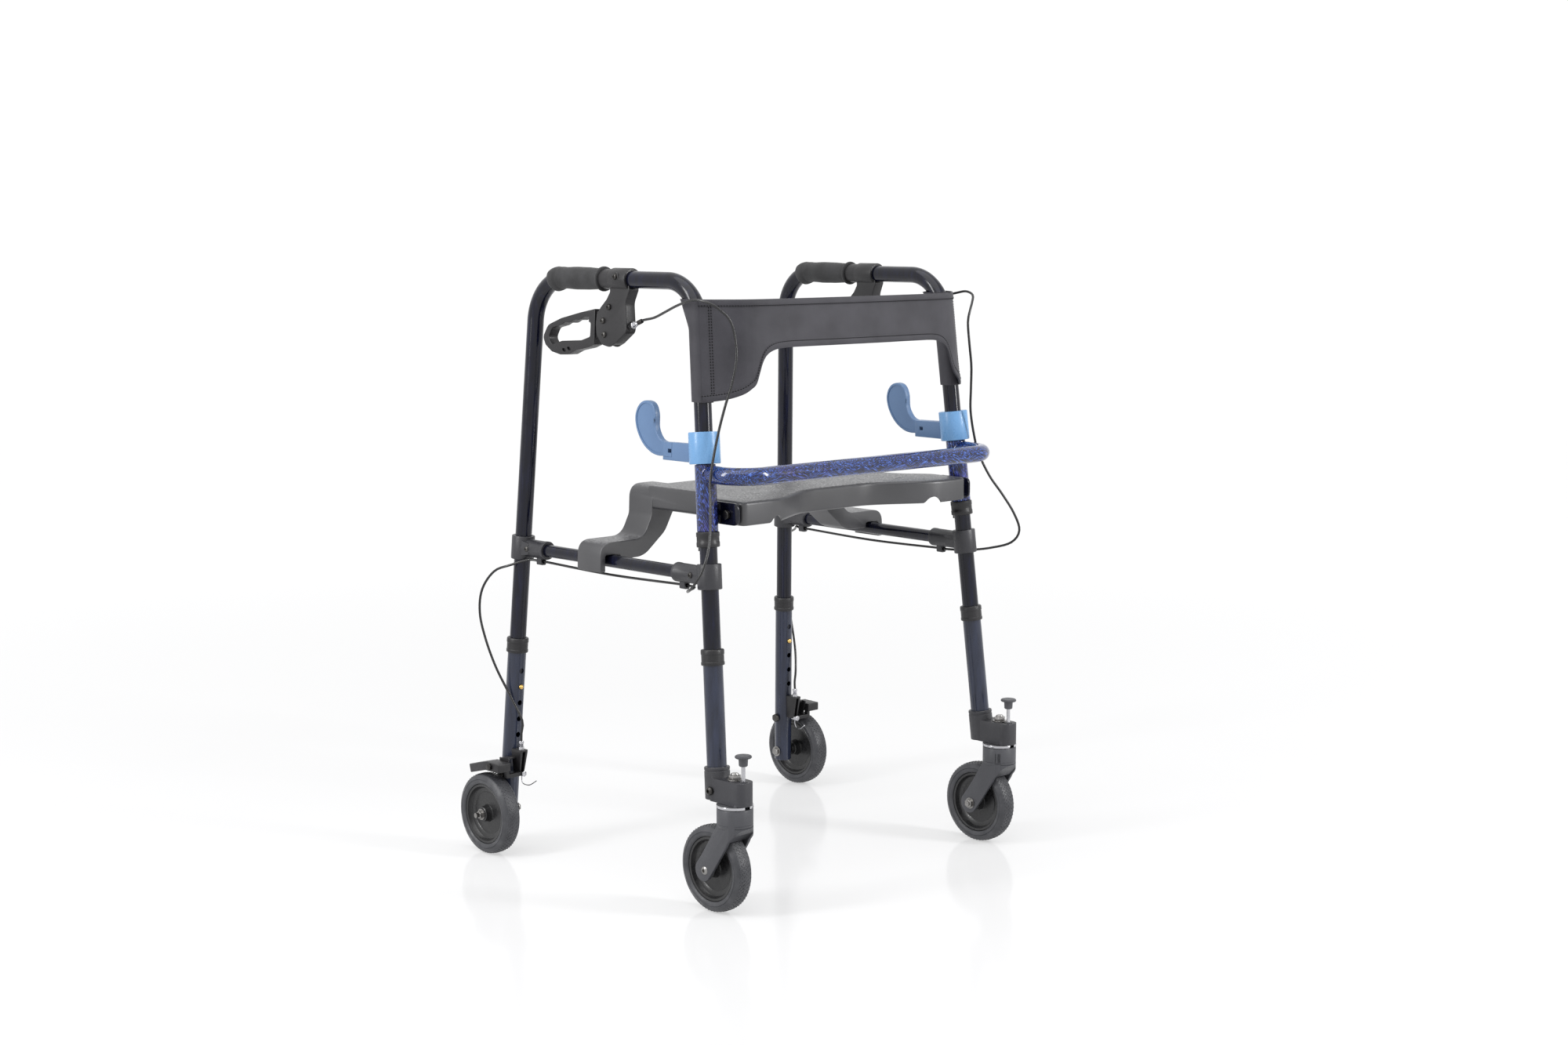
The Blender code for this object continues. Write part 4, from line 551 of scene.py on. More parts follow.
# %% Feathered blue paint
def feather_paint(name, longer, tilt):
    """longer draws the strokes out along one axis, tilt crosses two families of them."""
    made = Finish(name, 0.24, Coat_Weight=0.6, Coat_Roughness=0.03, Specular_IOR_Level=0.3)
    tilted = made.mapped(longer, tilt, "TEXTURE")
    counter = made.mapped(longer, [-a for a in tilt], "TEXTURE")
    patch = made.between(made.noise(38, 2), 0.0, 1.0, 0.44, 0.56)
    field = made.blend(made.noise(820, 4, 0.25, tilted), patch,
                       made.noise(900, 4, 0.3, counter), made.math("SUBTRACT", 1.0, patch))
    blue = made.ramp(field, (0.4, 0.0018, 0.0022, 0.008), (0.48, 0.0045, 0.009, 0.048),
                     (0.55, 0.014, 0.036, 0.19), (0.66, 0.085, 0.19, 0.62))
    violet = made.ramp(field, (0.42, 0.003, 0.002, 0.009), (0.54, 0.012, 0.008, 0.09),
                       (0.7, 0.13, 0.09, 0.5))
    made.set("Base Color", made.mix(made.between(made.noise(16, 2), 0.0, 0.7, 0.48, 0.66), blue, violet))
    made.set("Roughness", made.between(made.noise(60, 2), 0.16, 0.28))
    made.bump(made.noise(380, 2), 0.05, 0.0004)


# %% [markdown]
# Moulded plastics differ in grain. A general function takes the colour pair, the grain's size and its
# depth, and each plastic is one call of it. The seat's top has a pebble pattern that the sides lack,
# so the pebbles fade out where the surface stops facing up. On the top the pebbles are also painted a
# pale grey, a painted sheen that stands for the light glancing off them.

# %% Moulded plastics
def moulding(name, low, high, roughness, grain, depth, **sockets):
    made = Finish(name, roughness, **sockets)
    fine = made.noise(grain, 3)
    made.coloured(made.blend(made.noise(14, 4), 0.6, fine, 0.4), low, high)
    made.set("Roughness", made.between(made.noise(grain * 0.3, 2), roughness - 0.07, roughness + 0.07))
    made.bump(fine, depth, 0.0005)


def pebbled_seat():
    made = Finish("seat_grey", 0.38, Specular_IOR_Level=0.85)
    facing_up = made.add("SeparateXYZ", {0: made.add("TexCoord").outputs["Normal"]}).outputs["Z"]
    top = made.between(facing_up, 0.0, 1.0, 0.8, 0.96)
    pebbles = made.cells(310)
    # painted sheen: the pebbles on the up-facing top are painted pale grey where light would glance off them
    painted_top_sheen = made.times(made.between(pebbles, 1.0, 0.0, 0.1, 0.6), top)
    dark = made.mix(made.between(made.noise(12, 4), 0.0, 1.0), (0.02, 0.02, 0.023), (0.033, 0.033, 0.037))
    made.set("Base Color", made.mix(painted_top_sheen, dark, (0.16, 0.16, 0.171)))
    made.set("Roughness", made.between(painted_top_sheen, 0.4, 0.2, 0.0, 1.0))
    made.bump(made.blend(made.times(pebbles, top), 1.0, made.noise(900, 2), 0.12), 0.42, 0.0009)


# %% [markdown]
# The backrest is black nylon cloth. Its weave is two sine waves on the cloth's own UV map, which is in
# metres, so the threads keep their real size round every curve. A little sheen gives the soft light
# that grazing views of cloth have.

# %% Woven nylon and its thread
THREAD_WAVE = 0.0011


def woven_nylon():
    made = Finish("fabric", 0.58, Sheen_Weight=0.1, Sheen_Roughness=0.35, Specular_IOR_Level=0.35)
    cloth_uv = made.add("SeparateXYZ", {0: made.add("UVMap", uv_map="cloth").outputs[0]}).outputs
    across, down = [made.math("SINE", made.times(cloth_uv[axis], 2 * pi / THREAD_WAVE)) for axis in "XY"]
    slub = made.noise(1400, 2)
    made.coloured(made.blend(made.noise(22, 4), 0.55, slub, 0.45),
                  (0.021, 0.0203, 0.0255), (0.045, 0.0435, 0.0525))
    made.set("Roughness", made.between(slub, 0.5, 0.66))
    made.bump(made.math("ADD", made.times(across, down), made.times(slub, 0.8)), 0.3, 0.00025)


def sewing_thread():
    made = Finish("thread", 0.8, Specular_IOR_Level=0.2)
    ply = made.noise(2600, 2)
    made.coloured(ply, (0.0015, 0.0015, 0.0018), (0.005, 0.0048, 0.0055))
    made.bump(ply, 0.3, 0.0002)


# %% [markdown]
# Rubber, foam and metal finish the set. The tyre is a cool grey rubber with dust in its grain, the
# grip is closed-cell foam, and the bright metal parts carry the fine scratches of handling.

# %% Rubber, foam and metal
def tyre_rubber():
    made = Finish("tyre", 0.5, Specular_IOR_Level=0.5)
    made.coloured(made.noise(60, 5), (0.028, 0.029, 0.034), (0.05, 0.051, 0.057))
    made.set("Roughness", made.between(made.noise(90, 3), 0.38, 0.56))
    made.bump(made.noise(1500, 2), 0.2, 0.0004)


def foam_rubber():
    made = Finish("foam", 0.88, Sheen_Weight=0.08, Sheen_Roughness=0.6)
    pores = made.cells(900)
    made.coloured(made.noise(40, 3), (0.009, 0.009, 0.01), (0.022, 0.022, 0.024))
    made.set("Roughness", made.between(pores, 0.95, 0.78, 0.1, 0.7))
    made.bump(pores, 0.35, 0.0006)


def metal(name, low, high, roughness):
    made = Finish(name, roughness, Metallic=1.0)
    lines = made.noise(520, 3, 0.2, made.mapped((1, 0.06, 1)))
    made.coloured(made.noise(30, 3), low, high)
    made.set("Roughness", made.between(lines, roughness - 0.05, roughness + 0.12))
    made.bump(lines, 0.12, 0.0003)


# %% The whole set
tube_paint("navy_tube", 0.24, 0.3, 160, 0.12, navy_stops, 35, (0.16, 0.3),
           Coat_Roughness=0.04, Specular_IOR_Level=0.2)
tube_paint("slate_tube", 0.32, 0.4, 140, 0.15, slate_stops, 40, (0.24, 0.38),
           Coat_Roughness=0.05, Specular_IOR_Level=0.3)
feather_paint("flame_blue", (16, 1, 1), (0, 20, 10))
feather_paint("flame_upright", (1, 1, 14), (17, 17, 0))
moulding("grey_moulding", (0.012, 0.012, 0.015), (0.025, 0.025, 0.031), 0.42, 1100, 0.18,
         Specular_IOR_Level=0.55)
moulding("fork_grey", (0.036, 0.037, 0.043), (0.06, 0.061, 0.069), 0.46, 1100, 0.16)
moulding("black_moulding", (0.008, 0.008, 0.009), (0.017, 0.016, 0.018), 0.4, 1300, 0.2,
         Specular_IOR_Level=0.4)
moulding("paddle_blue", (0.082, 0.15, 0.28), (0.11, 0.192, 0.342), 0.4, 1000, 0.14)
moulding("collar_blue", (0.125, 0.28, 0.52), (0.16, 0.345, 0.6), 0.32, 900, 0.08)
moulding("hub_black", (0.007, 0.007, 0.008), (0.015, 0.015, 0.016), 0.34, 800, 0.1)
moulding("cable_black", (0.004, 0.004, 0.005), (0.009, 0.009, 0.01), 0.3, 2200, 0.08)
pebbled_seat()
woven_nylon()
sewing_thread()
tyre_rubber()
foam_rubber()
metal("chrome", (0.4, 0.4, 0.42), (0.56, 0.56, 0.58), 0.18)
metal("dark_steel", (0.04, 0.038, 0.037), (0.085, 0.082, 0.079), 0.34)
metal("steel", (0.2, 0.195, 0.19), (0.32, 0.312, 0.304), 0.26)
metal("brass", (0.56, 0.36, 0.11), (0.74, 0.5, 0.19), 0.26)
print("finishes:", ", ".join(sorted(finishes)))

# %% [markdown]
# ## Handing a piece over
# A walker is nearly symmetric, so each piece is made once on the left. The right one is its mirror
# image, with its faces turned so that they still point outwards. Most pieces are drawn in the side
# plane, and the rest in the walker's own directions.

# %% Place a piece on its body
def hand_over(name, mesh, finish, body, nodes=(), sharp=35, bend=None):
    """One piece at the origin, riding on its body, or left on no body when a bend span is given, and standing
    for its nodes.
    """
    if not mesh.materials:
        mesh.materials.append(finishes[finish])
    mesh.shade_smooth()
    mesh.set_sharp_from_angle(angle=radians(sharp))
    thing = linked(mesh, name)
    if bend:
        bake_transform(thing)
    else:
        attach(thing, body)
    if nodes:
        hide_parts(*nodes)
    print(name, len(mesh.polygons), "faces")
    return thing


def pair(name, solid, finish, body, node_name="", slot=None, sharp=35, bend=None):
    """The left piece and its mirror image. bend is (other body, start, end), drawn on the left."""
    mesh = taken(solid)
    for side, half, sign in (("left", mesh, 1), ("right", mirrored_mesh(mesh), -1)):
        span = None
        if bend:
            other, start, end = bend
            span = (f"{side}_{other}", (sign * start[0], *start[1:]), (sign * end[0], *end[1:]))
        nodes = [f"{side}_{node_name}"] if node_name else []
        hand_over(f"{side}_{name}", half, finish, f"{side}_{body}", nodes, sharp, span)


def side_pair(name, solid, *rest, **settings):
    """A pair that is drawn in the side plane."""
    pair(name, moved(solid, PLANE), *rest, **settings)


# %% [markdown]
# ## Bent tubes
# The side of the walker is one tube, up the front leg, over the handle run and down the rear leg. A
# node tree sweeps a circle along the centre line. The same tree later makes the rail, the crossbar,
# the weld beads, the cable and the wire, each with its own radius.

# %% The tube tree
def tube_tree():
    tree, given = node_tree("tube", Radius=("Float", 0.0127), Sides=("Int", 32))
    line = node(tree, "GeometryNodeMeshToCurve", {"Mesh": given["Geometry"]}).outputs[0]
    size = {"Resolution": given["Sides"], "Radius": given["Radius"]}
    ring = node(tree, "GeometryNodeCurvePrimitiveCircle", size).outputs[0]
    swept = node(tree, "GeometryNodeCurveToMesh", {"Curve": line, "Profile Curve": ring, "Fill Caps": True})
    return finish_tree(tree, swept.outputs[0], given["Material"])


TUBE = tube_tree()


def tube(points, radius, finish, sides=32, closed=False):
    return run_tree(TUBE, line_mesh(points, closed), radius=radius, sides=sides, material=finishes[finish])


# %% Side tubes and rails
TUBE_R = 0.0127
RAIL_R = 0.0095
BEND_RADIUS = 0.07
TOP = 0.898
FRONT_TUBE_END, REAR_TUBE_END = 0.2855, 0.243
RAIL_FROM, RAIL_TO = 0.044, SPAN - 0.038

rise = TOP - RAIL
front_top, rear_top = Vector((0, FRONT_RAKE * rise, TOP)), Vector((0, SPAN - REAR_RAKE * rise, TOP))
side_path = bent_path([front_leg(FRONT_TUBE_END), front_top, rear_top, rear_leg(REAR_TUBE_END)], BEND_RADIUS)
side_pair("side_tube_painted", tube(side_path, TUBE_R, "navy_tube", 40), "navy_tube", "side", "side_tube")
side_pair("side_rail_painted", tube([(0, RAIL_FROM, RAIL), (0, RAIL_TO, RAIL)], RAIL_R, "navy_tube"),
          "navy_tube", "side", "side_rail")

# %% [markdown]
# ## Wheels
# The wheel is a two-shot moulding: a glossy black hub with a deep dish, and a grey tyre. The tyre's
# crown carries rows of short slanted bars. They are a rule, not a shape, so a node tree places them.
# Each bar is a small block set to the tyre at its own angle, and the odd rows slant the other way.

# %% Tread tree
def tread_tree():
    tree, given = node_tree("tread", Radius=("Float", 0.063), Rows=("Int", 6), Around=("Int", 64),
                            Row_Pitch=("Float", 0.0034), Bar_Length=("Float", 0.0042),
                            Bar_Width=("Float", 0.0013), Bar_Height=("Float", 0.0009))

    def maths(operation, first, second=0.0):
        return node(tree, "ShaderNodeMath", {0: first, 1: second}, operation=operation).outputs[0]

    def vector(x, y=0.0, z=0.0):
        return node(tree, "ShaderNodeCombineXYZ", {"X": x, "Y": y, "Z": z}).outputs[0]

    index = node(tree, "GeometryNodeInputIndex").outputs[0]
    row = maths("MODULO", index, given["Rows"])
    step = maths("FLOOR", maths("DIVIDE", index, given["Rows"]))
    odd = maths("MODULO", row, 2.0)
    share = maths("DIVIDE", maths("ADD", step, maths("MULTIPLY", odd, 0.5)), given["Around"])
    angle = maths("MULTIPLY", share, 2 * pi)
    middle = maths("DIVIDE", maths("SUBTRACT", given["Rows"], 1.0), 2.0)
    sideways = maths("MULTIPLY", maths("SUBTRACT", row, middle), given["Row Pitch"])
    crown = maths("MULTIPLY", maths("MULTIPLY", sideways, sideways), 14.0)
    reach = maths("SUBTRACT", given["Radius"], crown)
    around = [maths("MULTIPLY", maths(turned, angle), reach) for turned in ("COSINE", "SINE")]
    total = maths("MULTIPLY", given["Rows"], given["Around"])
    spread = {"Count": total, "Position": vector(sideways, *around)}
    points = node(tree, "GeometryNodePoints", spread).outputs[0]
    size = vector(given["Bar Length"], given["Bar Width"], given["Bar Height"])
    bar = node(tree, "GeometryNodeMeshCube", {"Size": size}).outputs["Mesh"]
    spin = vector(maths("SUBTRACT", angle, pi / 2))
    joined = node(tree, "GeometryNodeJoinGeometry")
    for slant, wanted in ((38, 0.0), (-38, 1.0)):
        turned = node(tree, "GeometryNodeTransform", {"Geometry": bar, "Rotation": (0, 0, radians(slant))})
        pick = node(tree, "FunctionNodeCompare", {0: odd, 1: wanted, "Epsilon": 0.1}, data_type="FLOAT",
                    operation="EQUAL")
        links = {"Points": points, "Selection": pick.outputs[0], "Instance": turned.outputs[0],
                 "Rotation": spin}
        tree.links.new(node(tree, "GeometryNodeInstanceOnPoints", links).outputs[0], joined.inputs[0])
    return finish_tree(tree, joined.outputs[0], given["Material"])


TREAD = tread_tree()

# %% [markdown]
# Tyre and hub are turned from their cross-sections, which is how the mould was cut. The section has
# the shoulder, the small groove of the side wall and the lip that grips the hub.

# %% Tyres and hubs
WHEEL_R = 0.0635
WHEEL_HALF = 0.015
RIM_R = 0.0474
BOSS_HALF = 0.016
AXLE_R = 0.004
CROWN_R = WHEEL_R - 0.0005
SHOULDER = 0.82
FRONT_AXLE = joint_point("left_front_wheel_spin")
REAR_HUB = joint_point("left_rear_wheel_spin")


def crown_arc(half, steps=14):
    """The tyre's crown from one shoulder to the other."""
    points = []
    for step in range(steps + 1):
        x = half * (2 * step / steps - 1)
        off = abs(x / half)
        drop = 0.0026 * off ** 2 + 0.005 * max(0.0, off - SHOULDER) / 0.18
        points.append((CROWN_R - drop, x))
    return points


def tyre_solid():
    wall = [(RIM_R, 0.0028), (RIM_R + 0.0012, 0.0012), (RIM_R + 0.003, 0.0004), (0.0535, 0),
            (0.0541, 0.0006), (0.0547, 0)]
    left = [(r, -WHEEL_HALF + depth) for r, depth in wall]
    return left + crown_arc(WHEEL_HALF - 0.0003) + [(r, -x) for r, x in reversed(left)]


def hub_solid():
    rim = RIM_R - GAP
    side = [(0.0046, BOSS_HALF), (0.0108, BOSS_HALF), (0.0118, BOSS_HALF - 0.001)]
    side += mm((12.6, 6), (14, 4), (33, 3.2), (34.5, 4.5), (40, 5.2), (41.2, 6.6), (43, 11.5))
    side += [(rim - 0.0012, 0.0122), (rim, 0.0116)]
    return [(r, -x) for r, x in side] + side[::-1]


for end_name, centre in (("front", FRONT_AXLE), ("rear", REAR_HUB)):
    body = end_name + "_wheel"
    pair(end_name + "_tyre_rubber", lathe(tyre_solid(), centre, X_WAY, 96), "tyre", body, end_name + "_tyre")
    hub = lathe(hub_solid(), centre, X_WAY, 96)
    pair(end_name + "_hub_moulded", hub, "hub_black", body, end_name + "_hub")
    bars = run_tree(TREAD, line_mesh([(0, 0, 0)]), radius=CROWN_R, material=finishes["tyre"])
    pair(end_name + "_tyre_tread", moved(bars, Matrix.Translation(centre)), "tyre", body, sharp=20)

# %% [markdown]
# ## Legs that telescope
# Each lower leg is a wider tube over the end of the side tube, drilled at one-inch steps for a brass
# spring button. Real drilling leaves a crisp edge in the paint, so the holes are cut with booleans
# instead of being drawn as dark spots. The wall gets extra rings, which keep its shading even.

# %% Drilled lower legs
LOWER_R = 0.0143
HOLE_R = 0.0042
HOLE_PITCH = 0.0254
RING_PITCH = 0.0085
FRONT_BUTTON, REAR_BUTTON = 0.3035, 0.261
FRONT_LEG_LOW, FRONT_LEG_HIGH = 0.17, 0.3745
REAR_LEG_LOW, REAR_LEG_HIGH = 0.048, 0.3345
CLAMP_HEIGHT = 0.124
REAR_AXLE = on_rear_leg(REAR_HUB.z)
CLAMP_AXIS = on_rear_leg(CLAMP_HEIGHT)


def ringed_wall(radius, inner, length, edge):
    """A tube's profile with eased ends and even rings on its wall."""
    low, high = edge, length - edge
    count = max(1, round((high - low) / RING_PITCH))
    rings = [(radius, low + (high - low) * step / count) for step in range(1, count)]
    return [(inner, 0), (radius - edge, 0), (radius, low), *rings, (radius, high), (radius - edge, length),
            (inner, length)]


def drilled_leg(leg, way, facing, low, high, button):
    profile = ringed_wall(LOWER_R, TUBE_R + GAP, (leg(high) - leg(low)).length, 0.0006)
    holes = []
    for step in range(-3, 2):
        centre = leg(button) + way * (HOLE_PITCH * step)
        near, far = [centre + Vector((0, facing * reach, 0)) for reach in (0.004, 0.02)]
        holes.append(rod(near, far, HOLE_R, 24))
    return cut(lathe(profile, leg(low), way, 64), *holes)


def cross_hole(centre):
    return rod(centre - X_WAY * 0.06, centre + X_WAY * 0.06, AXLE_R + GAP, 24)


front_solid = drilled_leg(front_leg, front_way, 1, FRONT_LEG_LOW, FRONT_LEG_HIGH, FRONT_BUTTON)
side_pair("front_leg_painted", front_solid, "slate_tube", "front_leg", "front_lower_leg", slot="navy_tube")
rear_solid = moved(drilled_leg(rear_leg, rear_way, -1, REAR_LEG_LOW, REAR_LEG_HIGH, REAR_BUTTON), PLANE)
rear_solid = cut(rear_solid, cross_hole(REAR_AXLE), cross_hole(CLAMP_AXIS))
pair("rear_leg_painted", rear_solid, "slate_tube", "rear_leg", "rear_lower_leg", slot="navy_tube")

# %% [markdown]
# A moulded bush closes the top of each lower leg. It has a flared lip and a waist, and its lower edge
# is eased. The brass button sits in its hole on a leaf spring inside the tube, with its dome worn bright.

# %% Leg bushes and spring buttons
BUSH_RING_R = 0.017
BUSH_RING_HEIGHT = 0.023
BUSH_RING_LIP = 0.004


def leg_bush(leg, way, top):
    start = leg(top) - way * (BUSH_RING_HEIGHT - BUSH_RING_LIP)
    outer, lip = LOWER_R + GAP, BUSH_RING_HEIGHT - BUSH_RING_LIP + GAP
    side = inside(BUSH_RING_R, 0, (0.7, 0), (0.2, 0.4), (0, 1), (0, 4.2), (0.6, 5), (0.6, 15), (0, 15.8),
                  (0, 21), (0.4, 22.1), (1.3, 22.8), (2, 23))
    return lathe([(outer, 0), *side, (TUBE_R + GAP, BUSH_RING_HEIGHT), (TUBE_R + GAP, lip), (outer, lip)],
                 start, way, 64)


def spring_button(leg, facing, z):
    low = TUBE_R + 0.0001
    dome = mm((3.8, 1), (3.6, 1.8), (3.1, 2.6), (2.2, 3.1), (1.1, 3.3), (0, 3.4))
    side = [(radius, LOWER_R + height) for radius, height in dome]
    return lathe([(0, low), (0.0038, low), *side], leg(z), (0, facing, 0), 24)


LEG_ENDS = (("front", front_leg, front_way, 1, FRONT_LEG_HIGH, FRONT_BUTTON),
            ("rear", rear_leg, rear_way, -1, REAR_LEG_HIGH, REAR_BUTTON))
for end_name, leg, way, _, top, _ in LEG_ENDS:
    side_pair(end_name + "_bush_moulded", leg_bush(leg, way, top), "black_moulding", end_name + "_leg",
              end_name + "_leg_bush", slot="grey_moulding")
for end_name, leg, _, facing, _, button in LEG_ENDS:
    side_pair(end_name + "_button_brass", spring_button(leg, facing, button), "brass", "side",
              end_name + "_snap_button")

# %% [markdown]
# ## The rail's connectors
# A nylon connector clamps round each leg and holds the rail's end. Moulded nylon never has a knife
# edge, so the fused solid is softened all round before the bores are cut. A pan-head screw pins it.

# %% One screw tree for every screw
def screw_tree():
    tree, given = node_tree("screws", Head=("Object", None), Radius=("Float", 0.0046))
    head = node(tree, "GeometryNodeObjectInfo", {"Object": given["Head"]}).outputs["Geometry"]
    way = node(tree, "GeometryNodeInputNamedAttribute", {"Name": "way"}, data_type="FLOAT_VECTOR").outputs[0]
    aimed = node(tree, "FunctionNodeAlignRotationToVector", {"Vector": way}, axis="Z").outputs[0]
    points = node(tree, "GeometryNodeMeshToPoints", {"Mesh": given["Geometry"]}).outputs[0]
    links = {"Points": points, "Instance": head, "Rotation": aimed, "Scale": given["Radius"]}
    return finish_tree(tree, node(tree, "GeometryNodeInstanceOnPoints", links).outputs[0], given["Material"])


SCREW = screw_tree()


def unit_head(side):
    """A screw head of radius 1, from the points of its dome."""
    return lathe([(0, -0.3), (0.98, -0.3), *side], (0, 0, 0), Z_WAY, 32)


pan = unit_head([(1.0, 0.1), (0.96, 0.34), (0.84, 0.54), (0.62, 0.68), (0.34, 0.75), (0, 0.77)])
button_head = unit_head([(1.0, 0.06), (0.95, 0.26), (0.8, 0.46), (0.56, 0.58), (0, 0.6)])
recess = [block((-x, -y, 0.3), (x, y, 1.2)) for x, y in ((0.52, 0.11), (0.11, 0.52))]
heads = {"pan": cut(pan, *recess), "socket": cut(button_head, rod((0, 0, 0.2), (0, 0, 1.0), 0.44, 6))}
for head_object in heads.values():
    head_object.hide_render = True


def screws(places, radius, finish="dark_steel", kind="pan"):
    """Heads that look outwards to the left, at the given places."""
    mesh = line_mesh(places, edges=False)
    ways = mesh.attributes.new("way", "FLOAT_VECTOR", "POINT")
    for index in range(len(places)):
        ways.data[index].vector = -X_WAY
    return run_tree(SCREW, mesh, head=heads[kind], radius=radius, material=finishes[finish])


# %% Connectors
COLLAR_R = 0.0178
COLLAR_HEIGHT = 0.0365
SOCKET_R = 0.0142
SOCKET_DEPTH = 0.024
FRONT_REACH, REAR_REACH = 0.068, 0.062
CLIP_BACK, CLIP_HALF = 0.016, 0.0055
CABLE_R = 0.0025
CLIP_Z = RAIL - SOCKET_R - CABLE_R - 0.001


def connector(leg, up, way, reach):
    centre = leg(RAIL)
    start = centre - up * (COLLAR_HEIGHT / 2)
    collar = drum(COLLAR_R, COLLAR_HEIGHT, start, up)
    along = Vector((0, way, 0))
    end = centre + along * reach
    slim = SOCKET_R - 0.0004
    socket = lathe([(0, 0), (slim, 0), (slim, reach - 0.007), (SOCKET_R, reach - 0.0062),
                    (SOCKET_R, reach - 0.0009), (SOCKET_R - 0.0008, reach), (0, reach)], centre, along, 64)
    root, tip = centre.y - 0.004, centre.y + way * 0.03
    neck = rounded([(root, RAIL - 0.0125), (tip, RAIL - 0.0085), (tip, RAIL + 0.0085), (root, RAIL + 0.0125)],
                   [0, 0.004, 0.004, 0])
    web = slab(neck, -SOCKET_R + 0.001, SOCKET_R - 0.001)
    clip_y = end.y - way * CLIP_BACK
    low, high = CLIP_Z - 0.0055, RAIL - 0.008
    clip = slab(rounded([(-0.005, low), (0.005, low), (0.005, high), (-0.005, high)], [0.003, 0.003, 0, 0]),
                clip_y - CLIP_HALF, clip_y + CLIP_HALF, "xzy")
    body = softened(fused(collar, socket, web, clip), 0.0009, 3, 40)
    bore = rod(start - up * 0.01, start + up * (COLLAR_HEIGHT + 0.01), TUBE_R + GAP, 64)
    rail_bore = rod(end - along * (SOCKET_DEPTH + GAP), end + along * 0.01, RAIL_R + GAP, 48)
    cable_bore = rod((0, clip_y - 0.02, CLIP_Z), (0, clip_y + 0.02, CLIP_Z), CABLE_R + 3 * GAP, 24)
    screw_at = (-SOCKET_R + 0.0012, centre.y + way * (COLLAR_R + 0.008), RAIL)
    return cut(body, bore, rail_bore, cable_bore), screws([screw_at], 0.0044)


for end_name, leg, up, way, reach in (("front", front_leg, front_way, 1, FRONT_REACH),
                                      ("rear", rear_leg, rear_way, -1, REAR_REACH)):
    moulded, screw = connector(leg, up, way, reach)
    side_pair(end_name + "_connector_moulded", moulded, "grey_moulding", "side", end_name + "_connector")
    side_pair(end_name + "_connector_screw", screw, "dark_steel", "side", sharp=30)

# %% [markdown]
# ## The cross frame
# The crossbar is bent to a wide U and welded to two sleeves that turn on the front legs. The welds
# show as a soft bead, which is a thin tube run along the line where the two round surfaces meet.

# %% Crossbar, sleeves and welds
SLEEVE_R = 0.0152
SLEEVE_BORE = TUBE_R + 0.0004
SLEEVE_LOW, SLEEVE_HIGH = 0.545, 0.64
CROSSBAR_Z = 0.6265
CROSSBAR_FORWARD = 0.062
CROSSBAR_BEND = 0.042
UPRIGHT_BELOW = 0.606
CENTRE = FRONT_AT.y
HINGE = joint_point("seat_flip")
SEAT_FRONT_HALF = 0.235
PLATE = 0.004
HINGE_FACE = SEAT_FRONT_HALF + 0.0012 + 2 * PLATE


def weld_line(bar_from, bar_way, points=64):
    """Where the bar's surface enters the sleeve's surface."""
    side, other = square_to(bar_way)
    slope = bar_way - FRONT_UP * bar_way.dot(FRONT_UP)
    line = []
    for start in circle(bar_from, side, other, TUBE_R, points):
        offset = start - FRONT_AT
        across = offset - FRONT_UP * offset.dot(FRONT_UP)
        a, b, c = slope.dot(slope), 2 * across.dot(slope), across.dot(across) - SLEEVE_R ** 2
        travel = (-b - sqrt(max(0.0, b * b - 4 * a * c))) / (2 * a)
        line.append(start + bar_way * travel)
    return line


def hinge_plate():
    back, front = HINGE.y - 0.021, CENTRE + 0.026
    low, high = HINGE.z - 0.015, HINGE.z + 0.017
    outline = rounded([(back, low), (front, low), (front, high), (back, high)], [0.01, 0.002, 0.002, 0.01])
    plate = slab(outline, -HINGE_FACE, -HINGE_FACE + PLATE)
    weld = block((on_front_leg(HINGE.z).x + 0.75 * SLEEVE_R, CENTRE + 0.004, HINGE.z - 0.013),
                 (-HINGE_FACE + 0.001, CENTRE + 0.015, HINGE.z + 0.015))
    boss = cross_rod(-HINGE_FACE + PLATE - 0.001, -HINGE_FACE + 2 * PLATE, HINGE, 0.0095, 40)
    return softened(fused(plate, weld, boss), 0.0007, 2, 40)


def both_sides(solid):
    """A left solid and its mirror image."""
    return mirrored(solid), solid


bar_end = on_front_leg(CROSSBAR_Z)
bar_front = CENTRE - CROSSBAR_FORWARD
bar_corners = [(bar_end.x, bar_end.y, CROSSBAR_Z), (bar_end.x, bar_front, CROSSBAR_Z),
               (-bar_end.x, bar_front, CROSSBAR_Z), (-bar_end.x, bar_end.y, CROSSBAR_Z)]
cross_solid = tube(bent_path(bar_corners, CROSSBAR_BEND), TUBE_R, "flame_blue", 48)
low, high = PLANE @ front_leg(SLEEVE_LOW), PLANE @ front_leg(SLEEVE_HIGH)
sleeve_way = high - low
sleeve = lathe(ringed_wall(SLEEVE_R, TUBE_R + 0.0005, sleeve_way.length, 0.0008), low, sleeve_way, 64)
sleeve_bore = rod(low - sleeve_way * 0.2, high + sleeve_way * 0.2, SLEEVE_BORE, 64)
hinge_bore = cross_rod(-0.3, -0.2, HINGE, 0.0043, 24)
cross_solid = fused(cross_solid, *both_sides(sleeve), *both_sides(hinge_plate()))
cross_solid = cut(cross_solid, *both_sides(sleeve_bore), *both_sides(hinge_bore))
cross_solid.data.materials.clear()
for finish_name in ("flame_blue", "flame_upright", "navy_tube"):
    cross_solid.data.materials.append(finishes[finish_name])
for face in cross_solid.data.polygons:
    spot = Vector((-abs(face.center.x), face.center.y, face.center.z))
    off_sleeve = (spot - on_front_leg(spot.z)).length > SLEEVE_R + 0.001
    if not off_sleeve:
        face.material_index = 1
    else:
        face.material_index = 2 if spot.z < UPRIGHT_BELOW else 0
hand_over("cross_frame_painted", taken(cross_solid), "flame_blue", "walker", ["cross_frame"])

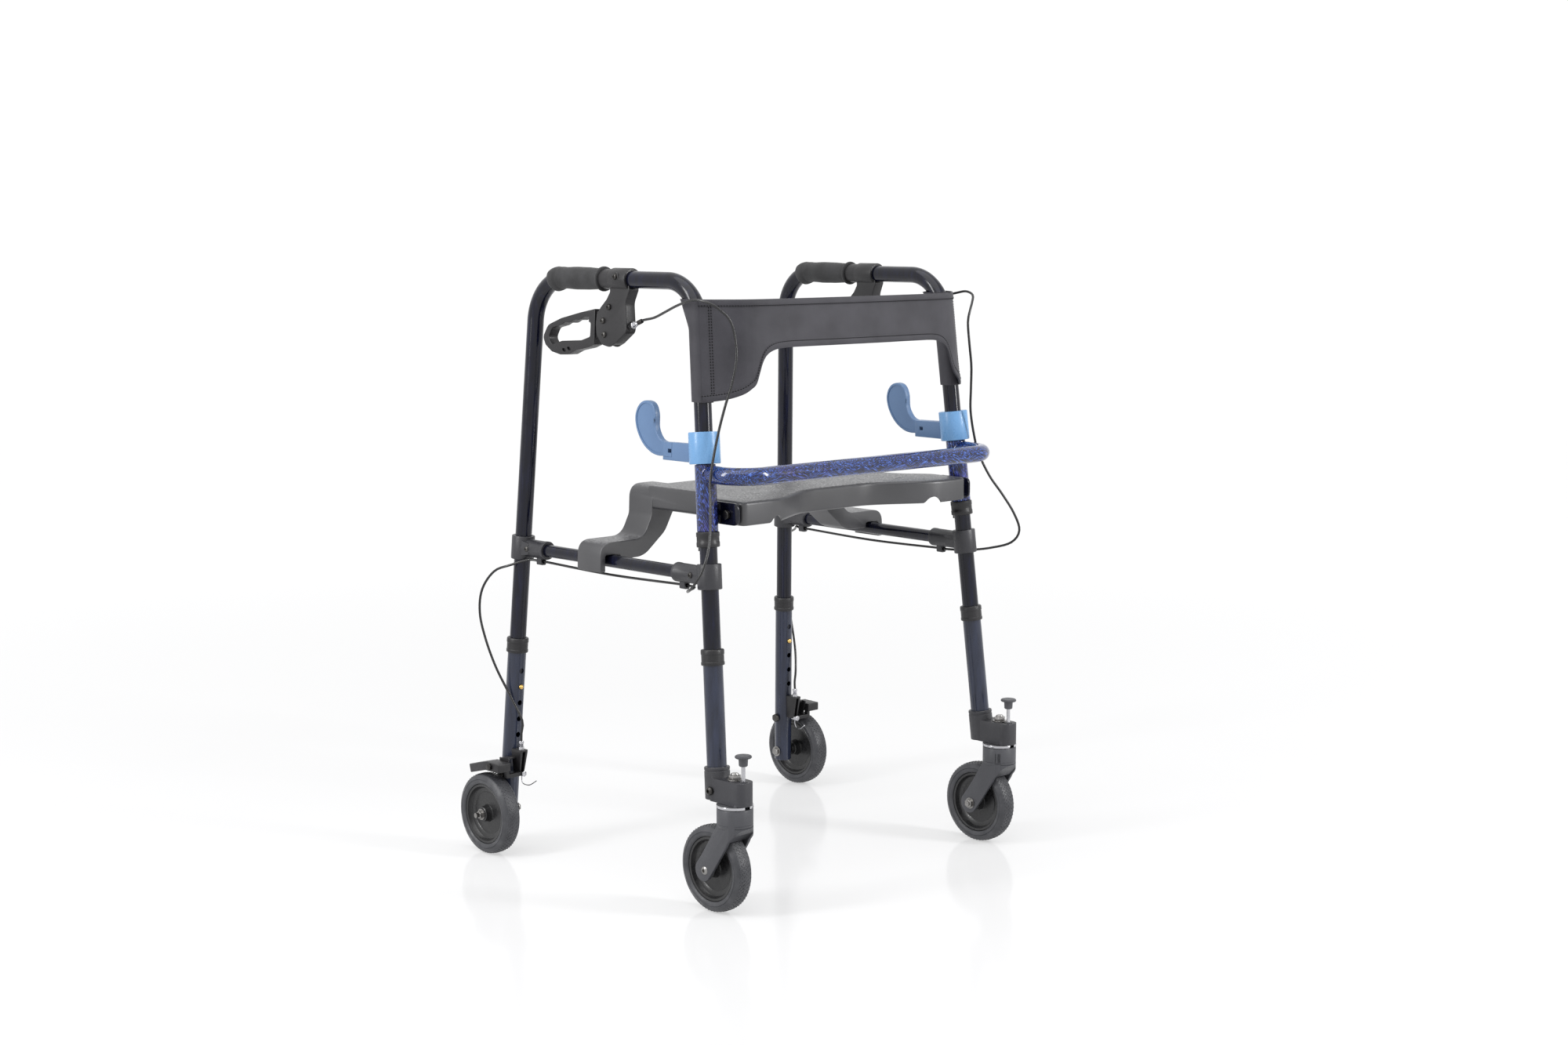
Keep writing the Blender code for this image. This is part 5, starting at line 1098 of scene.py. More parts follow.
weld = weld_line(Vector((bar_end.x, CENTRE - 0.05, CROSSBAR_Z)), Vector((0, 1, 0)))
for side_name, sign in (("left", 1), ("right", -1)):
    bead = tube([(p.x * sign, p.y, p.z) for p in weld], 0.0016, "flame_blue", 10, closed=True)
    hand_over(side_name + "_weld_bead", taken(bead), "flame_blue", "walker")

# %% [markdown]
# Under each sleeve a nylon bush keeps the sleeve off its stop. A small tab stands down from it.

# %% Sleeve bushes and hinge pins
BUSH_R = 0.0168
BUSH_HEIGHT = 0.022
bush_top = SLEEVE_LOW - GAP
bush_low = bush_top - BUSH_HEIGHT
waist = inside(BUSH_R, 0, (2, 0), (0.6, 0.5), (0, 1.6), (0, 7), (0.5, 7.8), (0.5, 15), (0, 15.8), (0, 20.8),
               (0.9, 22))
ring = lathe([(TUBE_R + GAP, 0), *waist, (TUBE_R + GAP, BUSH_HEIGHT)],
             front_leg(bush_top) - front_way * BUSH_HEIGHT, front_way, 64)
tab = block(front_leg(bush_low - 0.007, 0.004, -TUBE_R - 0.0018),
            front_leg(bush_low + 0.003, -0.004, -TUBE_R - 0.004))
bush = fused(ring, softened(tab, 0.0006, 2))
side_pair("sleeve_bush_moulded", bush, "black_moulding", "side", "sleeve_bush", slot="grey_moulding")

pin_solid = fused(cross_rod(-HINGE_FACE - 0.0062, -SEAT_FRONT_HALF + 0.0178, HINGE, 0.004, 24),
                  softened(cross_rod(-HINGE_FACE - 0.006, -HINGE_FACE - GAP, HINGE, 0.0068, 6), 0.0006, 2))
for side_name, solid in zip(("right", "left"), both_sides(pin_solid)):
    hand_over(side_name + "_hinge_bolt", taken(solid), "dark_steel", "walker", [side_name + "_hinge_pin"])

# %% [markdown]
# ## The seat
# The seat is one large moulding: a thin shell with a deep skirt, a front edge that is hollow in the
# middle, and two arms that reach down to clips over the rails. Drawing its plan as an outline and
# softening the extruded edge gives the round shoulder of the real mould in two steps.

# %% Seat shell
SEAT_TOP = 0.5875
SEAT_SKIRT = 0.035
SEAT_WALL = 0.004
SEAT_HALF = 0.197
SEAT_FRONT_Y, SEAT_MID_Y, SEAT_REAR_Y = -0.034, 0.018, 0.228
RIB_HALF = 0.0012
rim = SEAT_TOP - SEAT_SKIRT


def eased_step(t):
    t = min(max(t, 0.0), 1.0)
    return t * t * (3 - 2 * t)


def seat_outline(inset=0.0):
    ear, half = SEAT_FRONT_HALF - inset, SEAT_HALF - inset
    front, middle, rear = SEAT_FRONT_Y + inset, SEAT_MID_Y + inset, SEAT_REAR_Y - inset
    steps = 40
    hollow = []
    for step in range(1, steps):
        x = -0.19 + 0.38 * step / steps
        hollow.append((x, middle + (front - middle) * eased_step((abs(x) - 0.05) / 0.135)))
    left = [(-half, rear), (-half, 0.085), (-ear, 0.04), (-ear, front)]
    right = [(-x, y) for x, y in reversed(left)]
    soft = [0.012, 0.06, 0.03, 0.012]
    outline = rounded(left + hollow + right, soft + [0] * len(hollow) + soft[::-1], 8)
    return [(x, y + CENTRE) for x, y in outline]


def seat_arm():
    """The left arm, hollow at the back, from the seat's rear corner down to its clip."""
    front, rear = 0.21, 0.265
    rail_x = [(PLANE @ Vector((0, y, RAIL))).x for y in (front, rear)]
    room, web = RAIL_R + 0.004, 0.004
    inner, outer = max(rail_x) + room, min(rail_x) - room
    foot = 0.466
    skin = outer - 0.01
    roof = RAIL + RAIL_R + GAP
    shoulder = roof + 0.019
    side, knee = -SEAT_HALF, -SEAT_HALF - 0.0015
    root = side + 0.047
    crown, bend = SEAT_TOP - 0.0008, SEAT_TOP - 0.045
    upper = [(root, crown), (side, crown), (knee, bend), (side - 0.018, shoulder), (skin + 0.001, shoulder),
             (skin, foot)]
    lower = [(outer, foot), (outer, roof), (inner, roof), (inner, RAIL + 0.001), (side - 0.017, RAIL + 0.002),
             (side + 0.025, RAIL + 0.036), (side + 0.04, SEAT_TOP - 0.043), (root, SEAT_TOP - 0.035)]
    radii = [0, 0.026, 0.02, 0.03, 0.024, 0.002, 0.002, 0.004, 0.004, 0.002, 0.04, 0.04, 0.01, 0]
    arm = slab(rounded(upper + lower, radii, 8), front + CENTRE, rear + CENTRE, "xzy")
    deck, hollow = SEAT_TOP - web, outer + 0.004
    pocket = [(root - web, deck), (side + web, deck), (knee + web, bend), (side - 0.015, shoulder - web),
              (hollow, shoulder - web), (hollow, roof + web), (inner + web, roof + web),
              (side - 0.017, RAIL + 0.012), (side + 0.02, RAIL + 0.044), (root - web, SEAT_TOP - 0.035)]
    pocket_radii = [0, 0.008, 0.02, 0.03, 0.004, 0.004, 0.01, 0.03, 0.03, 0.006]
    room_behind = slab(rounded(pocket, pocket_radii, 6), front + 0.032 + CENTRE, rear + 0.01 + CENTRE, "xzy")
    return cut(softened(arm, 0.009, 5, 40), room_behind)


def seat_rib(low_x, high_x, low_y, high_y):
    return block((low_x, low_y + CENTRE, rim + 0.004), (high_x, high_y + CENTRE, SEAT_TOP - 0.003))


seat_solid = softened(slab(seat_outline(), rim, SEAT_TOP, "xyz"), 0.005, 5, 60)
seat_solid = cut(seat_solid, slab(seat_outline(SEAT_WALL), rim - 0.01, SEAT_TOP - SEAT_WALL, "xyz"))
ribs = [seat_rib(x - RIB_HALF, x + RIB_HALF, SEAT_MID_Y + 0.002, SEAT_REAR_Y - 0.002)
        for x in (-0.165, -0.11, -0.055, 0.0, 0.055, 0.11, 0.165)]
ribs += [seat_rib(-SEAT_HALF + 0.002, SEAT_HALF - 0.002, y - RIB_HALF, y + RIB_HALF)
         for y in (0.06, 0.12, 0.18)]
hinge_boss = cross_rod(-SEAT_FRONT_HALF + 0.0005, -SEAT_FRONT_HALF + 0.02, HINGE, 0.01, 40)
seat_solid = fused(seat_solid, *ribs, *both_sides(seat_arm()), *both_sides(hinge_boss))
for sign in (-1, 1):
    x, notch_x, notch_z = sign * 0.15, sign * 0.165, rim - 0.006
    pin_hole = cross_rod(sign * (SEAT_FRONT_HALF + 0.01), sign * (SEAT_FRONT_HALF - 0.019), HINGE, 0.0043, 24)
    left, right, near, far = x - 0.007, x + 0.007, 0.0302 + CENTRE, 0.0328 + CENTRE
    slot = slab(rounded([(left, near), (right, near), (right, far), (left, far)], 0.001, 4),
                SEAT_TOP - 0.01, SEAT_TOP + 0.01, "xyz")
    notch = rod((notch_x, SEAT_FRONT_Y - 0.02 + CENTRE, notch_z), (notch_x, 0.03 + CENTRE, notch_z), 0.016,
                40)
    seat_solid = cut(seat_solid, pin_hole, slot, notch)
hand_over("seat_moulded", taken(seat_solid), "seat_grey", "seat", ["seat"], sharp=40)

# %% [markdown]
# ## The back strap
# The backrest is a wide band of coated nylon. It wraps each front leg as a sleeve, is stitched back
# on itself with a double seam, and its free edges are folded into hems. It hangs under light tension
# between two fixed legs, so it is drawn at rest: its plan line bows forwards and its height follows
# the cut of the cloth. A cloth simulation would only add noise to a sheet that is pulled straight.

# %% The plan line and the cut of the cloth
CLOTH = 0.0022
STRAP_TOP, STRAP_LOW, BAND_LOW = 0.873, 0.728, 0.804
FLAP_OUT, FLAP_FORWARD, FLAP_SLOPE = 0.669, 0.743, 0.9
HEM_DEPTH = 0.0105
HEM_LIFT = 0.001
strap_snug = TUBE_R + 0.0008
level = (STRAP_TOP + BAND_LOW) / 2
leg_at_level = on_front_leg(level)
reach = strap_snug + 0.0013
flap_start = Vector((leg_at_level.x - FLAP_OUT * reach, leg_at_level.y - FLAP_FORWARD * reach))
full, drop = STRAP_TOP - STRAP_LOW, STRAP_TOP - BAND_LOW


def flap_at(x):
    return flap_start.y - FLAP_SLOPE * (x - flap_start.x)


flap_y = flap_at(-0.222)
taper = mm((-222, 0, 11), (-210, 6, 19), (-203, 8.5, 26), (-197, 10, 42), (-191, 11.2, 57), (-183, 12.5, 67),
           (-170, 14.2, 73))
level_run = mm((-150, 16.2, 0.5), (-110, 18.8, 0), (-60, 20.8, 0), (0, 21.6, 0))
half_plan = [(flap_start.x, flap_start.y, full), (-0.24, flap_at(-0.24), full - 0.004)]
half_plan += [(x, flap_y - bow, full - less) for x, bow, less in taper]
half_plan += [(x, flap_y - bow, drop + more) for x, bow, more in level_run]
whole_plan = half_plan + [(-x, y, down) for x, y, down in reversed(half_plan[:-1])]
plan_line = smooth_path(whole_plan, 0.0035)
lengths = [0.0]
for here, there in zip(plan_line, plan_line[1:]):
    lengths.append(lengths[-1] + (there.xy - here.xy).length)
print("band length between the sleeves, m:", round(lengths[-1], 4), "stations", len(plan_line))


def cloth_point(x, y, z):
    """Shear a plan point with the rake of the legs and let it spread with their lean."""
    spread = on_front_leg(z).x / leg_at_level.x
    return Vector((x * spread, y + FRONT_RAKE * (z - level), z))


def slack(u, z):
    """The soft waves of a band under light tension, about a millimetre deep."""
    wave = noise.noise(Vector((u * 9.0, z * 14.0, 0.4))) * 0.0016
    return wave + noise.noise(Vector((u * 30.0, z * 38.0, 2.0))) * 0.0004


def band_grid(rows=44):
    """Columns of the cloth's middle surface: each point with its forward direction and its height."""
    columns = []
    last = len(plan_line) - 1
    for index, spot in enumerate(plan_line):
        along = (plan_line[min(index + 1, last)].xy - plan_line[max(index - 1, 0)].xy).normalized()
        forward = Vector((along.y, -along.x, 0))
        fade = min(1.0, min(index, last - index) / 8.0)
        column = []
        for row in range(rows + 1):
            z = STRAP_TOP - spot.z * row / rows
            point = cloth_point(spot.x, spot.y, z) + forward * (slack(lengths[index], z) * fade)
            column.append((point, forward, z))
        columns.append(column)
    return columns


class Cloth:
    """Faces with a UV map in metres. turn is the length after which the map starts again."""

    def __init__(self, turn=None):
        self.bm = bmesh.new()
        self.uv = self.bm.loops.layers.uv.new("cloth")
        self.spots = {}
        self.turn = turn

    def vert(self, point, spot):
        made = self.bm.verts.new(point)
        self.spots[made] = spot
        return made

    def face(self, *corners):
        base = self.spots[corners[0]][0]
        for loop in self.bm.faces.new(corners).loops:
            u, v = self.spots[loop.vert]
            if self.turn:
                u -= self.turn * round((u - base) / self.turn)
            loop[self.uv].uv = (u, v)

    def mesh(self):
        bmesh.ops.recalc_face_normals(self.bm, faces=self.bm.faces)
        return mesh_from(self.bm, "cloth")


def sheet_mesh(columns, thickness):
    """A closed cloth of even thickness."""
    cloth = Cloth()
    front, back = [[[cloth.vert(p + f * (half * thickness), (length, z)) for p, f, z in column]
                    for column, length in zip(columns, lengths)] for half in (0.5, -0.5)]
    rows = len(columns[0])
    for i in range(len(columns) - 1):
        for j in range(rows - 1):
            cloth.face(front[i][j], front[i + 1][j], front[i + 1][j + 1], front[i][j + 1])
            cloth.face(back[i][j], back[i][j + 1], back[i + 1][j + 1], back[i + 1][j])
        for j in (0, rows - 1):
            cloth.face(front[i][j], back[i][j], back[i + 1][j], front[i + 1][j])
    for i in (0, len(columns) - 1):
        for j in range(rows - 1):
            cloth.face(front[i][j], front[i][j + 1], back[i][j + 1], back[i][j])
    return cloth.mesh()


# %% The sleeves round the legs
FOLD_SWING = radians(33)
bend_start = TOP - BEND_RADIUS * tan((pi / 2 - atan2(FRONT_RAKE, 1)) / 2)


def sleeve_mesh(rows=40, around=56):
    """Cloth wrapped once round the leg, open at the top for the bend, which swings inwards with the fold."""
    open_from = STRAP_TOP - bend_start
    back = BEND_RADIUS - sqrt((BEND_RADIUS - TUBE_R) ** 2 - open_from ** 2) + 0.001
    cloth = Cloth(turn=2 * pi * strap_snug)
    layers = []
    for skin in (CLOTH, 0.0):
        layer = []
        for row in range(rows + 1):
            z = STRAP_LOW + (STRAP_TOP - STRAP_LOW) * row / rows
            open_share = max(0.0, (z - bend_start + 0.004) / (open_from + 0.004))
            rear_reach = strap_snug + (back - strap_snug) * open_share
            ring = []
            for step in range(around):
                angle = 2 * pi * step / around
                swing = min(max(angle, pi / 2 - FOLD_SWING), pi / 2) if angle < pi else pi / 2
                bendwards = max(0.0, cos(angle - swing))
                radius = strap_snug + (rear_reach - strap_snug) * bendwards ** 1.5 + skin
                fold = noise.noise(Vector((cos(angle) * 2, sin(angle) * 2, z * 22))) * 0.0007
                radius += fold * (1 if skin else 0) * (0.3 + open_share)
                point = front_leg(z) + Vector((cos(angle), sin(angle), 0)) * radius
                ring.append(cloth.vert(point, (angle * strap_snug, z)))
            layer.append(ring)
        layers.append(layer)
    outer, inner = layers
    steps = [(step, (step + 1) % around) for step in range(around)]
    for row in range(rows):
        for step, ahead in steps:
            cloth.face(outer[row][step], outer[row][ahead], outer[row + 1][ahead], outer[row + 1][step])
            cloth.face(inner[row][step], inner[row + 1][step], inner[row + 1][ahead], inner[row][ahead])
    for row in (0, rows):
        for step, ahead in steps:
            cloth.face(outer[row][step], inner[row][step], inner[row][ahead], outer[row][ahead])
    mesh = cloth.mesh()
    mesh.transform(PLANE)
    return mesh


def in_from_edge(column, depth, top):
    """A spot on the cloth at a depth below its top edge, or above its lower edge."""
    z = column[0][2] - depth if top else column[-1][2] + depth
    point, forward, near = min(column, key=lambda spot: abs(spot[2] - z))
    return point + Vector((0, FRONT_RAKE * (z - near), z - near)), forward, z


def hem_strip(columns, top):
    """The folded hem along one edge: a second layer of cloth on the front face."""
    strip = []
    for column in columns:
        strip_column = []
        for share in (0.0, 0.12, 0.3, 0.5, 0.7, 0.88, 1.0):
            point, forward, z = in_from_edge(column, HEM_DEPTH * share, top)
            strip_column.append((point + forward * (HEM_LIFT + 0.0009 * sin(pi * share)), forward, z))
        strip.append(strip_column)
    return strip


band = band_grid()
sleeve_cloth = sleeve_mesh()
hems = [sheet_mesh(hem_strip(band, top), 0.001) for top in (True, False)]
strap_mesh = joined_meshes([sheet_mesh(band, CLOTH), sleeve_cloth, mirrored_mesh(sleeve_cloth), *hems])
strap_piece = hand_over("backrest_cloth", strap_mesh, "fabric", "walker", ["backrest_strap"], sharp=50)

# %% [markdown]
# The stitches are what makes cloth read as sewn. Each seam is a line on the cloth, and a node tree sets
# one small thread loop at every step of four millimetres, turned along the line.

# %% Stitch tree and seams
def stitch_tree():
    tree, given = node_tree("stitches", Pitch=("Float", 0.004), Length=("Float", 0.0028),
                            Thickness=("Float", 0.0015))
    line = node(tree, "GeometryNodeMeshToCurve", {"Mesh": given["Geometry"]}).outputs[0]
    spots = node(tree, "GeometryNodeCurveToPoints", {"Curve": line, "Length": given["Pitch"]}, mode="LENGTH")
    bead = node(tree, "GeometryNodeMeshUVSphere", {"Segments": 6, "Rings": 4, "Radius": 0.5}).outputs[0]
    sizes = {"X": given["Thickness"], "Y": given["Thickness"], "Z": given["Length"]}
    size = node(tree, "ShaderNodeCombineXYZ", sizes).outputs[0]
    aimed = node(tree, "FunctionNodeAlignRotationToVector", {"Vector": spots.outputs["Tangent"]}, axis="Z")
    links = {"Points": spots.outputs["Points"], "Instance": bead, "Rotation": aimed.outputs[0], "Scale": size}
    return finish_tree(tree, node(tree, "GeometryNodeInstanceOnPoints", links).outputs[0], given["Material"])


STITCH = stitch_tree()
SEAM_DEPTH = 0.009
face_lift = CLOTH / 2 + 0.0001


def seam_along(columns, top):
    line = []
    for column in columns:
        point, forward, _ = in_from_edge(column, SEAM_DEPTH, top)
        line.append(point + forward * (face_lift + HEM_LIFT))
    return line


def seam_down(columns, distance, sign):
    """A seam from top to bottom at a distance along the band from its sleeve."""
    if sign > 0:
        column = next(column for column, length in zip(columns, lengths) if length >= distance)
    else:
        far = [column for column, length in zip(columns, lengths) if lengths[-1] - length >= distance]
        column = far[-1]
    return [point + forward * face_lift for point, forward, _ in column][1:-1]


seams = [seam_along(band, True), seam_along(band, False)]
seams += [seam_down(band, distance, sign) for sign in (1, -1) for distance in (0.012, 0.0165)]
threads = [run_tree(STITCH, line_mesh(line), material=finishes["thread"]) for line in seams]
sewn = joined_meshes([taken(thread) for thread in threads])
sewn.materials.append(finishes["thread"])
hand_over("backrest_stitching", sewn, "thread", "walker", sharp=180)
print("stitches", len(sewn.polygons) // 24)

# %% The flat cloth
sleeve_round = 2 * pi * (strap_snug + CLOTH / 2)
flat_width = lengths[-1] + 2 * sleeve_round
hem_area = 2 * HEM_DEPTH * lengths[-1]
stations = zip(lengths, lengths[1:], plan_line, plan_line[1:])
band_area = sum((b - a) * (p.z + q.z) / 2 for a, b, p, q in stations)
cloth_area = band_area + hem_area + 2 * sleeve_round * full
cloth_sizes = (flat_width, full + 2 * HEM_DEPTH, cloth_area)
print("flat cloth's length, height and area:", [round(value, 4) for value in cloth_sizes])

# %% [markdown]
# ## Grips, brake housings and levers
# The grip is foam with a flange ring in front and a soft bulge at the back, so its radius is a small
# table along the tube. The lever is a closed loop with finger hollows. Both follow outlines measured
# on the side plane. A sculpted grip would look no different at this size.

# %% Foam grip
GRIP_START = 0.243
GRIP_LENGTH = 0.118
GRIP_STEP = 0.0016


def walked(path, distance):
    """The point and direction at a distance along a path."""
    left = distance
    for here, there in zip(path, path[1:]):
        length = (there - here).length
        if left <= length:
            return here.lerp(there, left / length), (there - here).normalized()
        left -= length
    return path[-1], (path[-1] - path[-2]).normalized()


def between(table, at):
    for (d0, r0), (d1, r1) in zip(table, table[1:]):
        if at <= d1 + 1e-6:
            return r0 + (r1 - r0) * eased_step((at - d0) / (d1 - d0))
    return table[-1][1]


def sleeve_on_path(path, table, bore, sides=64):
    """A closed sleeve on a path: the table gives its radius at each distance."""
    bm = bmesh.new()
    skins = []
    for hollow in (False, True):
        rings = []
        for distance, radius in table:
            centre, way = walked(path, distance)
            spots = circle(centre, X_WAY, way.cross(X_WAY).normalized(), bore if hollow else radius, sides)
            rings.append([bm.verts.new(spot) for spot in spots])
        skins.append(rings)
    loop = skins[0] + skins[1][::-1]
    for here, there in zip(loop, loop[1:] + loop[:1]):
        for step in range(sides):
            ahead = (step + 1) % sides
            bm.faces.new([here[step], here[ahead], there[ahead], there[step]])
    return solid_from(bm)


grip_line = bent_path([Vector((0, GRIP_START, TOP)), rear_top, rear_leg(0.5)], BEND_RADIUS)
flange = mm((0, 16.8), (0.3, 17.6), (1, 18.3), (2, 18.5), (3.2, 18.5), (4, 18.3), (4.7, 17.6), (5, 16),
            (5.3, 15.5))
swell = mm((5.3, 15.5), (12, 15.7), (40, 16.7), (64, 17), (88, 16.1), (98, 16.8), (106, 18.3), (111, 18.4),
           (115, 17.9), (117, 17), (118, 15.8))
spots = [flange[-1][0] + GRIP_STEP * step for step in range(1, 70)]
grip_table = flange + [(spot, between(swell, spot)) for spot in spots] + [(GRIP_LENGTH, 0.0158)]
grip = sleeve_on_path(grip_line, grip_table, TUBE_R + 0.0004)
side_pair("hand_grip_foam", grip, "foam", "side", "hand_grip", sharp=60)

# %% [markdown]
# The housing is a flat fork that hangs from a clamp on the tube. A shallow fin runs down its front
# edge and square shoulders hold the cable's adjuster. Three cross-head screws close its two halves.

# %% Brake housing
HOUSING_HALF = 0.0095
HOUSING_SLOT = 0.0066
PIVOT = (0.235, TOP - 0.0615)
ADJUSTER = Vector((0, 0.179, TOP - 0.067))
CABLE_AIM = Vector((0, -1, 0.38)).normalized()
NECK_LOW, NECK_HIGH = 0.1815, 0.2215
SCREW_LIFT = 0.0035


def hung(points):
    """Points at heights over the handle run's axis."""
    return [(y, TOP + height) for y, height in points]


def along_top(start, end, radius):
    return rod((0, start, TOP), (0, end, TOP), radius, 64)


plate_corners = [(NECK_HIGH, -0.004), (NECK_LOW, -0.004), (NECK_LOW - 0.004, -0.015),
                 *mm((186, -34), (183.5, -56), (181.5, -76), (206, -93.5), (220, -100), (237, -97),
                     (250, -83), (252, -66), (250, -51), (241, -41), (229, -30)), (NECK_HIGH, -0.019)]
plate_radii = [0, 0, 0.004, 0.02, 0.01, 0.01, 0.014, 0.014, 0.014, 0.014, 0.012, 0.01, 0.01, 0.01, 0.006]
neck = (NECK_LOW + NECK_HIGH) / 2
plate = softened(slab(rounded(hung(plate_corners), plate_radii), -HOUSING_HALF, HOUSING_HALF), 0.0013, 3, 50)
clamp = drum(0.0168, 0.04, (0, NECK_LOW, TOP), (0, 1, 0), 0.001)
collar = along_top(NECK_HIGH - 0.002, GRIP_START - GAP, 0.015)
pad_at = Vector((0, neck, TOP + SCREW_LIFT))
screw_pad = softened(cross_rod(-0.017, -0.01, pad_at, 0.0068, 40), 0.0008, 3)
boss = rod(ADJUSTER - CABLE_AIM * 0.01, ADJUSTER, 0.0075, 4)
housing = fused(plate, softened(boss, 0.0006, 2), clamp, collar, screw_pad)
slot_front, slot_low, slot_high = PIVOT[0] - 0.023, PIVOT[1] - 0.054, PIVOT[1] + 0.032
slot_outline = [(slot_front, slot_low), (0.3, slot_low), (0.3, slot_high), (PIVOT[0] + 0.004, slot_high),
                (slot_front, PIVOT[1] + 0.022)]
housing = cut(housing, along_top(NECK_LOW - 0.02, GRIP_START + 0.02, TUBE_R + GAP),
              slab(slot_outline, -HOUSING_SLOT, HOUSING_SLOT))
side_pair("brake_housing_moulded", housing, "black_moulding", "side", "brake_housing", sharp=40)

screw_places = [(-HOUSING_HALF - 0.0002, y, z)
                for y, z in hung([(0.222, -0.041), (PIVOT[0], -0.0615), (0.2315, -0.082)])]
screw_places.append((-0.0168, neck, TOP + SCREW_LIFT))
side_pair("brake_housing_screws", screws(screw_places, 0.0046), "dark_steel", "side", sharp=30)

# %% Cable adjuster and lever pivot
nuts = mm((0, -4), (3.4, -4), (3.4, 0.2), (5.6, 0.3), (5.6, 3.6), (5, 4.2), (3.6, 4.3), (3.6, 6.4),
          (4.4, 6.6), (4.4, 8.8), (3, 9), (3, 12.9), (0, 12.9))
adjuster = softened(lathe(nuts, ADJUSTER, CABLE_AIM, 6), 0.0004, 2, 25)
side_pair("cable_adjuster", adjuster, "chrome", "side", sharp=40)
pin_half = HOUSING_HALF - 0.0002
side_pair("lever_pivot_pin", rod((-pin_half, *PIVOT), (pin_half, *PIVOT), 0.0039), "dark_steel", "side")


# %% Brake lever
def lever_solid():
    half = 0.009
    outer = mm((254.5, -44.5), (290, -51), (333.2, -60.5), (364, -71.5), (375.5, -90), (369, -102),
               (354, -111.5), (333, -115.5), (313, -114), (297, -107.5), (270, -102.5), (254.5, -97))
    outer_radii = [0, 0.03, 0.03, 0.016, 0.01, 0.01, 0.014, 0.02, 0.014, 0.014, 0.02, 0]
    start, end = Vector((0.268, TOP - 0.0555)), Vector((0.336, TOP - 0.07))
    opening = []
    for step in range(49):
        t = step / 48
        point = start.lerp(end, t)
        opening.append((point.x, point.y - 0.0015 + 0.002 * (1 - cos(2 * pi * 3 * t)) / 2))
    below = mm((354, -75), (362.5, -90), (354, -101), (330, -94.5), (285, -92), (265, -86), (264, -64))
    opening += rounded(hung(below), [0.01, 0.008, 0.008, 0.014, 0.014, 0.004, 0.004])
    loop = cut(slab(rounded(hung(outer), outer_radii), -half, half), slab(opening, -0.02, 0.02))
    root_outline = arc(PIVOT, 0.0145, 60, 300, 28) + [(0.259, PIVOT[1] - 0.033), (0.259, PIVOT[1] + 0.0145)]
    holes = [rod((-0.02, *PIVOT), (0.02, *PIVOT), 0.0042)]
    for y, z in hung([(0.313, -0.1055), (0.3245, -0.108)]):
        oval = rod((-0.02, y, z), (-half + 0.003, y, z), 0.003, 28)
        centre = Matrix.Translation((0, y, z))
        pressed = Matrix.Rotation(radians(20), 4, "X") @ Matrix.Diagonal((1, 1.5, 0.8, 1))
        holes.append(moved(oval, centre @ pressed @ centre.inverted()))
    return cut(fused(softened(loop, 0.0026, 4, 50), slab(root_outline, -0.006, 0.006)), *holes)


side_pair("brake_lever_moulded", lever_solid(), "black_moulding", "lever", "brake_lever", sharp=40)

# %% [markdown]
# ## The front caster
# The caster head is a socket for the leg with a flat arm forward of it. The arm carries the swivel and
# the lock: a knob whose pin drops into a notch of the bearing ring. The rounded step where the arm
# meets the socket comes from softening the fused shape as one.

# %% Caster head
SWIVEL = joint_point("left_caster_swivel")
HEAD_TOP, HEAD_LOW, ARM_TOP = 0.212, 0.165, 0.199
HEAD_R = 0.0185
ARM_HALF = 0.0158
LOCK_BORE = 0.0037
FOOT = on_front_leg(HEAD_LOW)
LOCK_Y = SWIVEL.y - 0.0178


def upright(radius, low, high, y=SWIVEL.y, sides=48):
    return rod((SWIVEL.x, y, low), (SWIVEL.x, y, high), radius, sides)


def upright_lathe(profile, y=SWIVEL.y, sides=48):
    """A turned piece on the swivel's axis, or parallel to it at another y."""
    return lathe(profile, (SWIVEL.x, y, 0), Z_WAY, sides)


socket_low = on_front_leg(HEAD_LOW + 0.001)
socket_length = (on_front_leg(HEAD_TOP) - socket_low).length
socket = lathe([(0, 0), *inside(HEAD_R, 0, (1, 0), (0.2, 0.5), (0, 1.2)),
                *inside(HEAD_R, socket_length, (0, -6.6), (0.6, -6), (0.6, -4.8), (0, -4.2), (0, -1),
                        (0.8, -0.1)), (0, socket_length)], socket_low, FRONT_UP, 64)
near_x, far_x, nose = SWIVEL.x - ARM_HALF, SWIVEL.x + ARM_HALF, FOOT.y - 0.0635
arm_outline = rounded([(near_x, FOOT.y), (near_x, nose), (far_x, nose), (far_x, FOOT.y)],
                      [0, 0.0152, 0.0152, 0], 14)
head = softened(fused(slab(arm_outline, HEAD_LOW, ARM_TOP, "xyz"), socket), 0.0014, 3, 45)
head = cut(head, rod(on_front_leg(FRONT_LEG_LOW - GAP), on_front_leg(HEAD_TOP + 0.02), LOWER_R + GAP, 64),
           upright(0.0064, HEAD_LOW - 0.01, ARM_TOP + 0.01),
           upright(LOCK_BORE, HEAD_LOW - 0.01, ARM_TOP + 0.01, LOCK_Y))
lip = softened(upright(0.0062, ARM_TOP - 0.002, ARM_TOP + 0.0012, LOCK_Y), 0.0005, 2)
head = fused(head, cut(lip, upright(LOCK_BORE, 0.15, 0.25, LOCK_Y)))
pair("caster_head_moulded", head, "grey_moulding", "front_leg", "caster_head", sharp=40)
head_screw = (FOOT.x - HEAD_R + 0.0004, FOOT.y - 0.002, 0.18)
pair("caster_head_screw", screws([head_screw], 0.0062, kind="socket"), "dark_steel", "front_leg", sharp=30)

# %% [markdown]
# The fork is a turned crown whose two plates sweep back to the axle. The crown opens in a cup, and the
# notched bearing ring sits in it. The two halves of the mould left a parting line round the barrel.

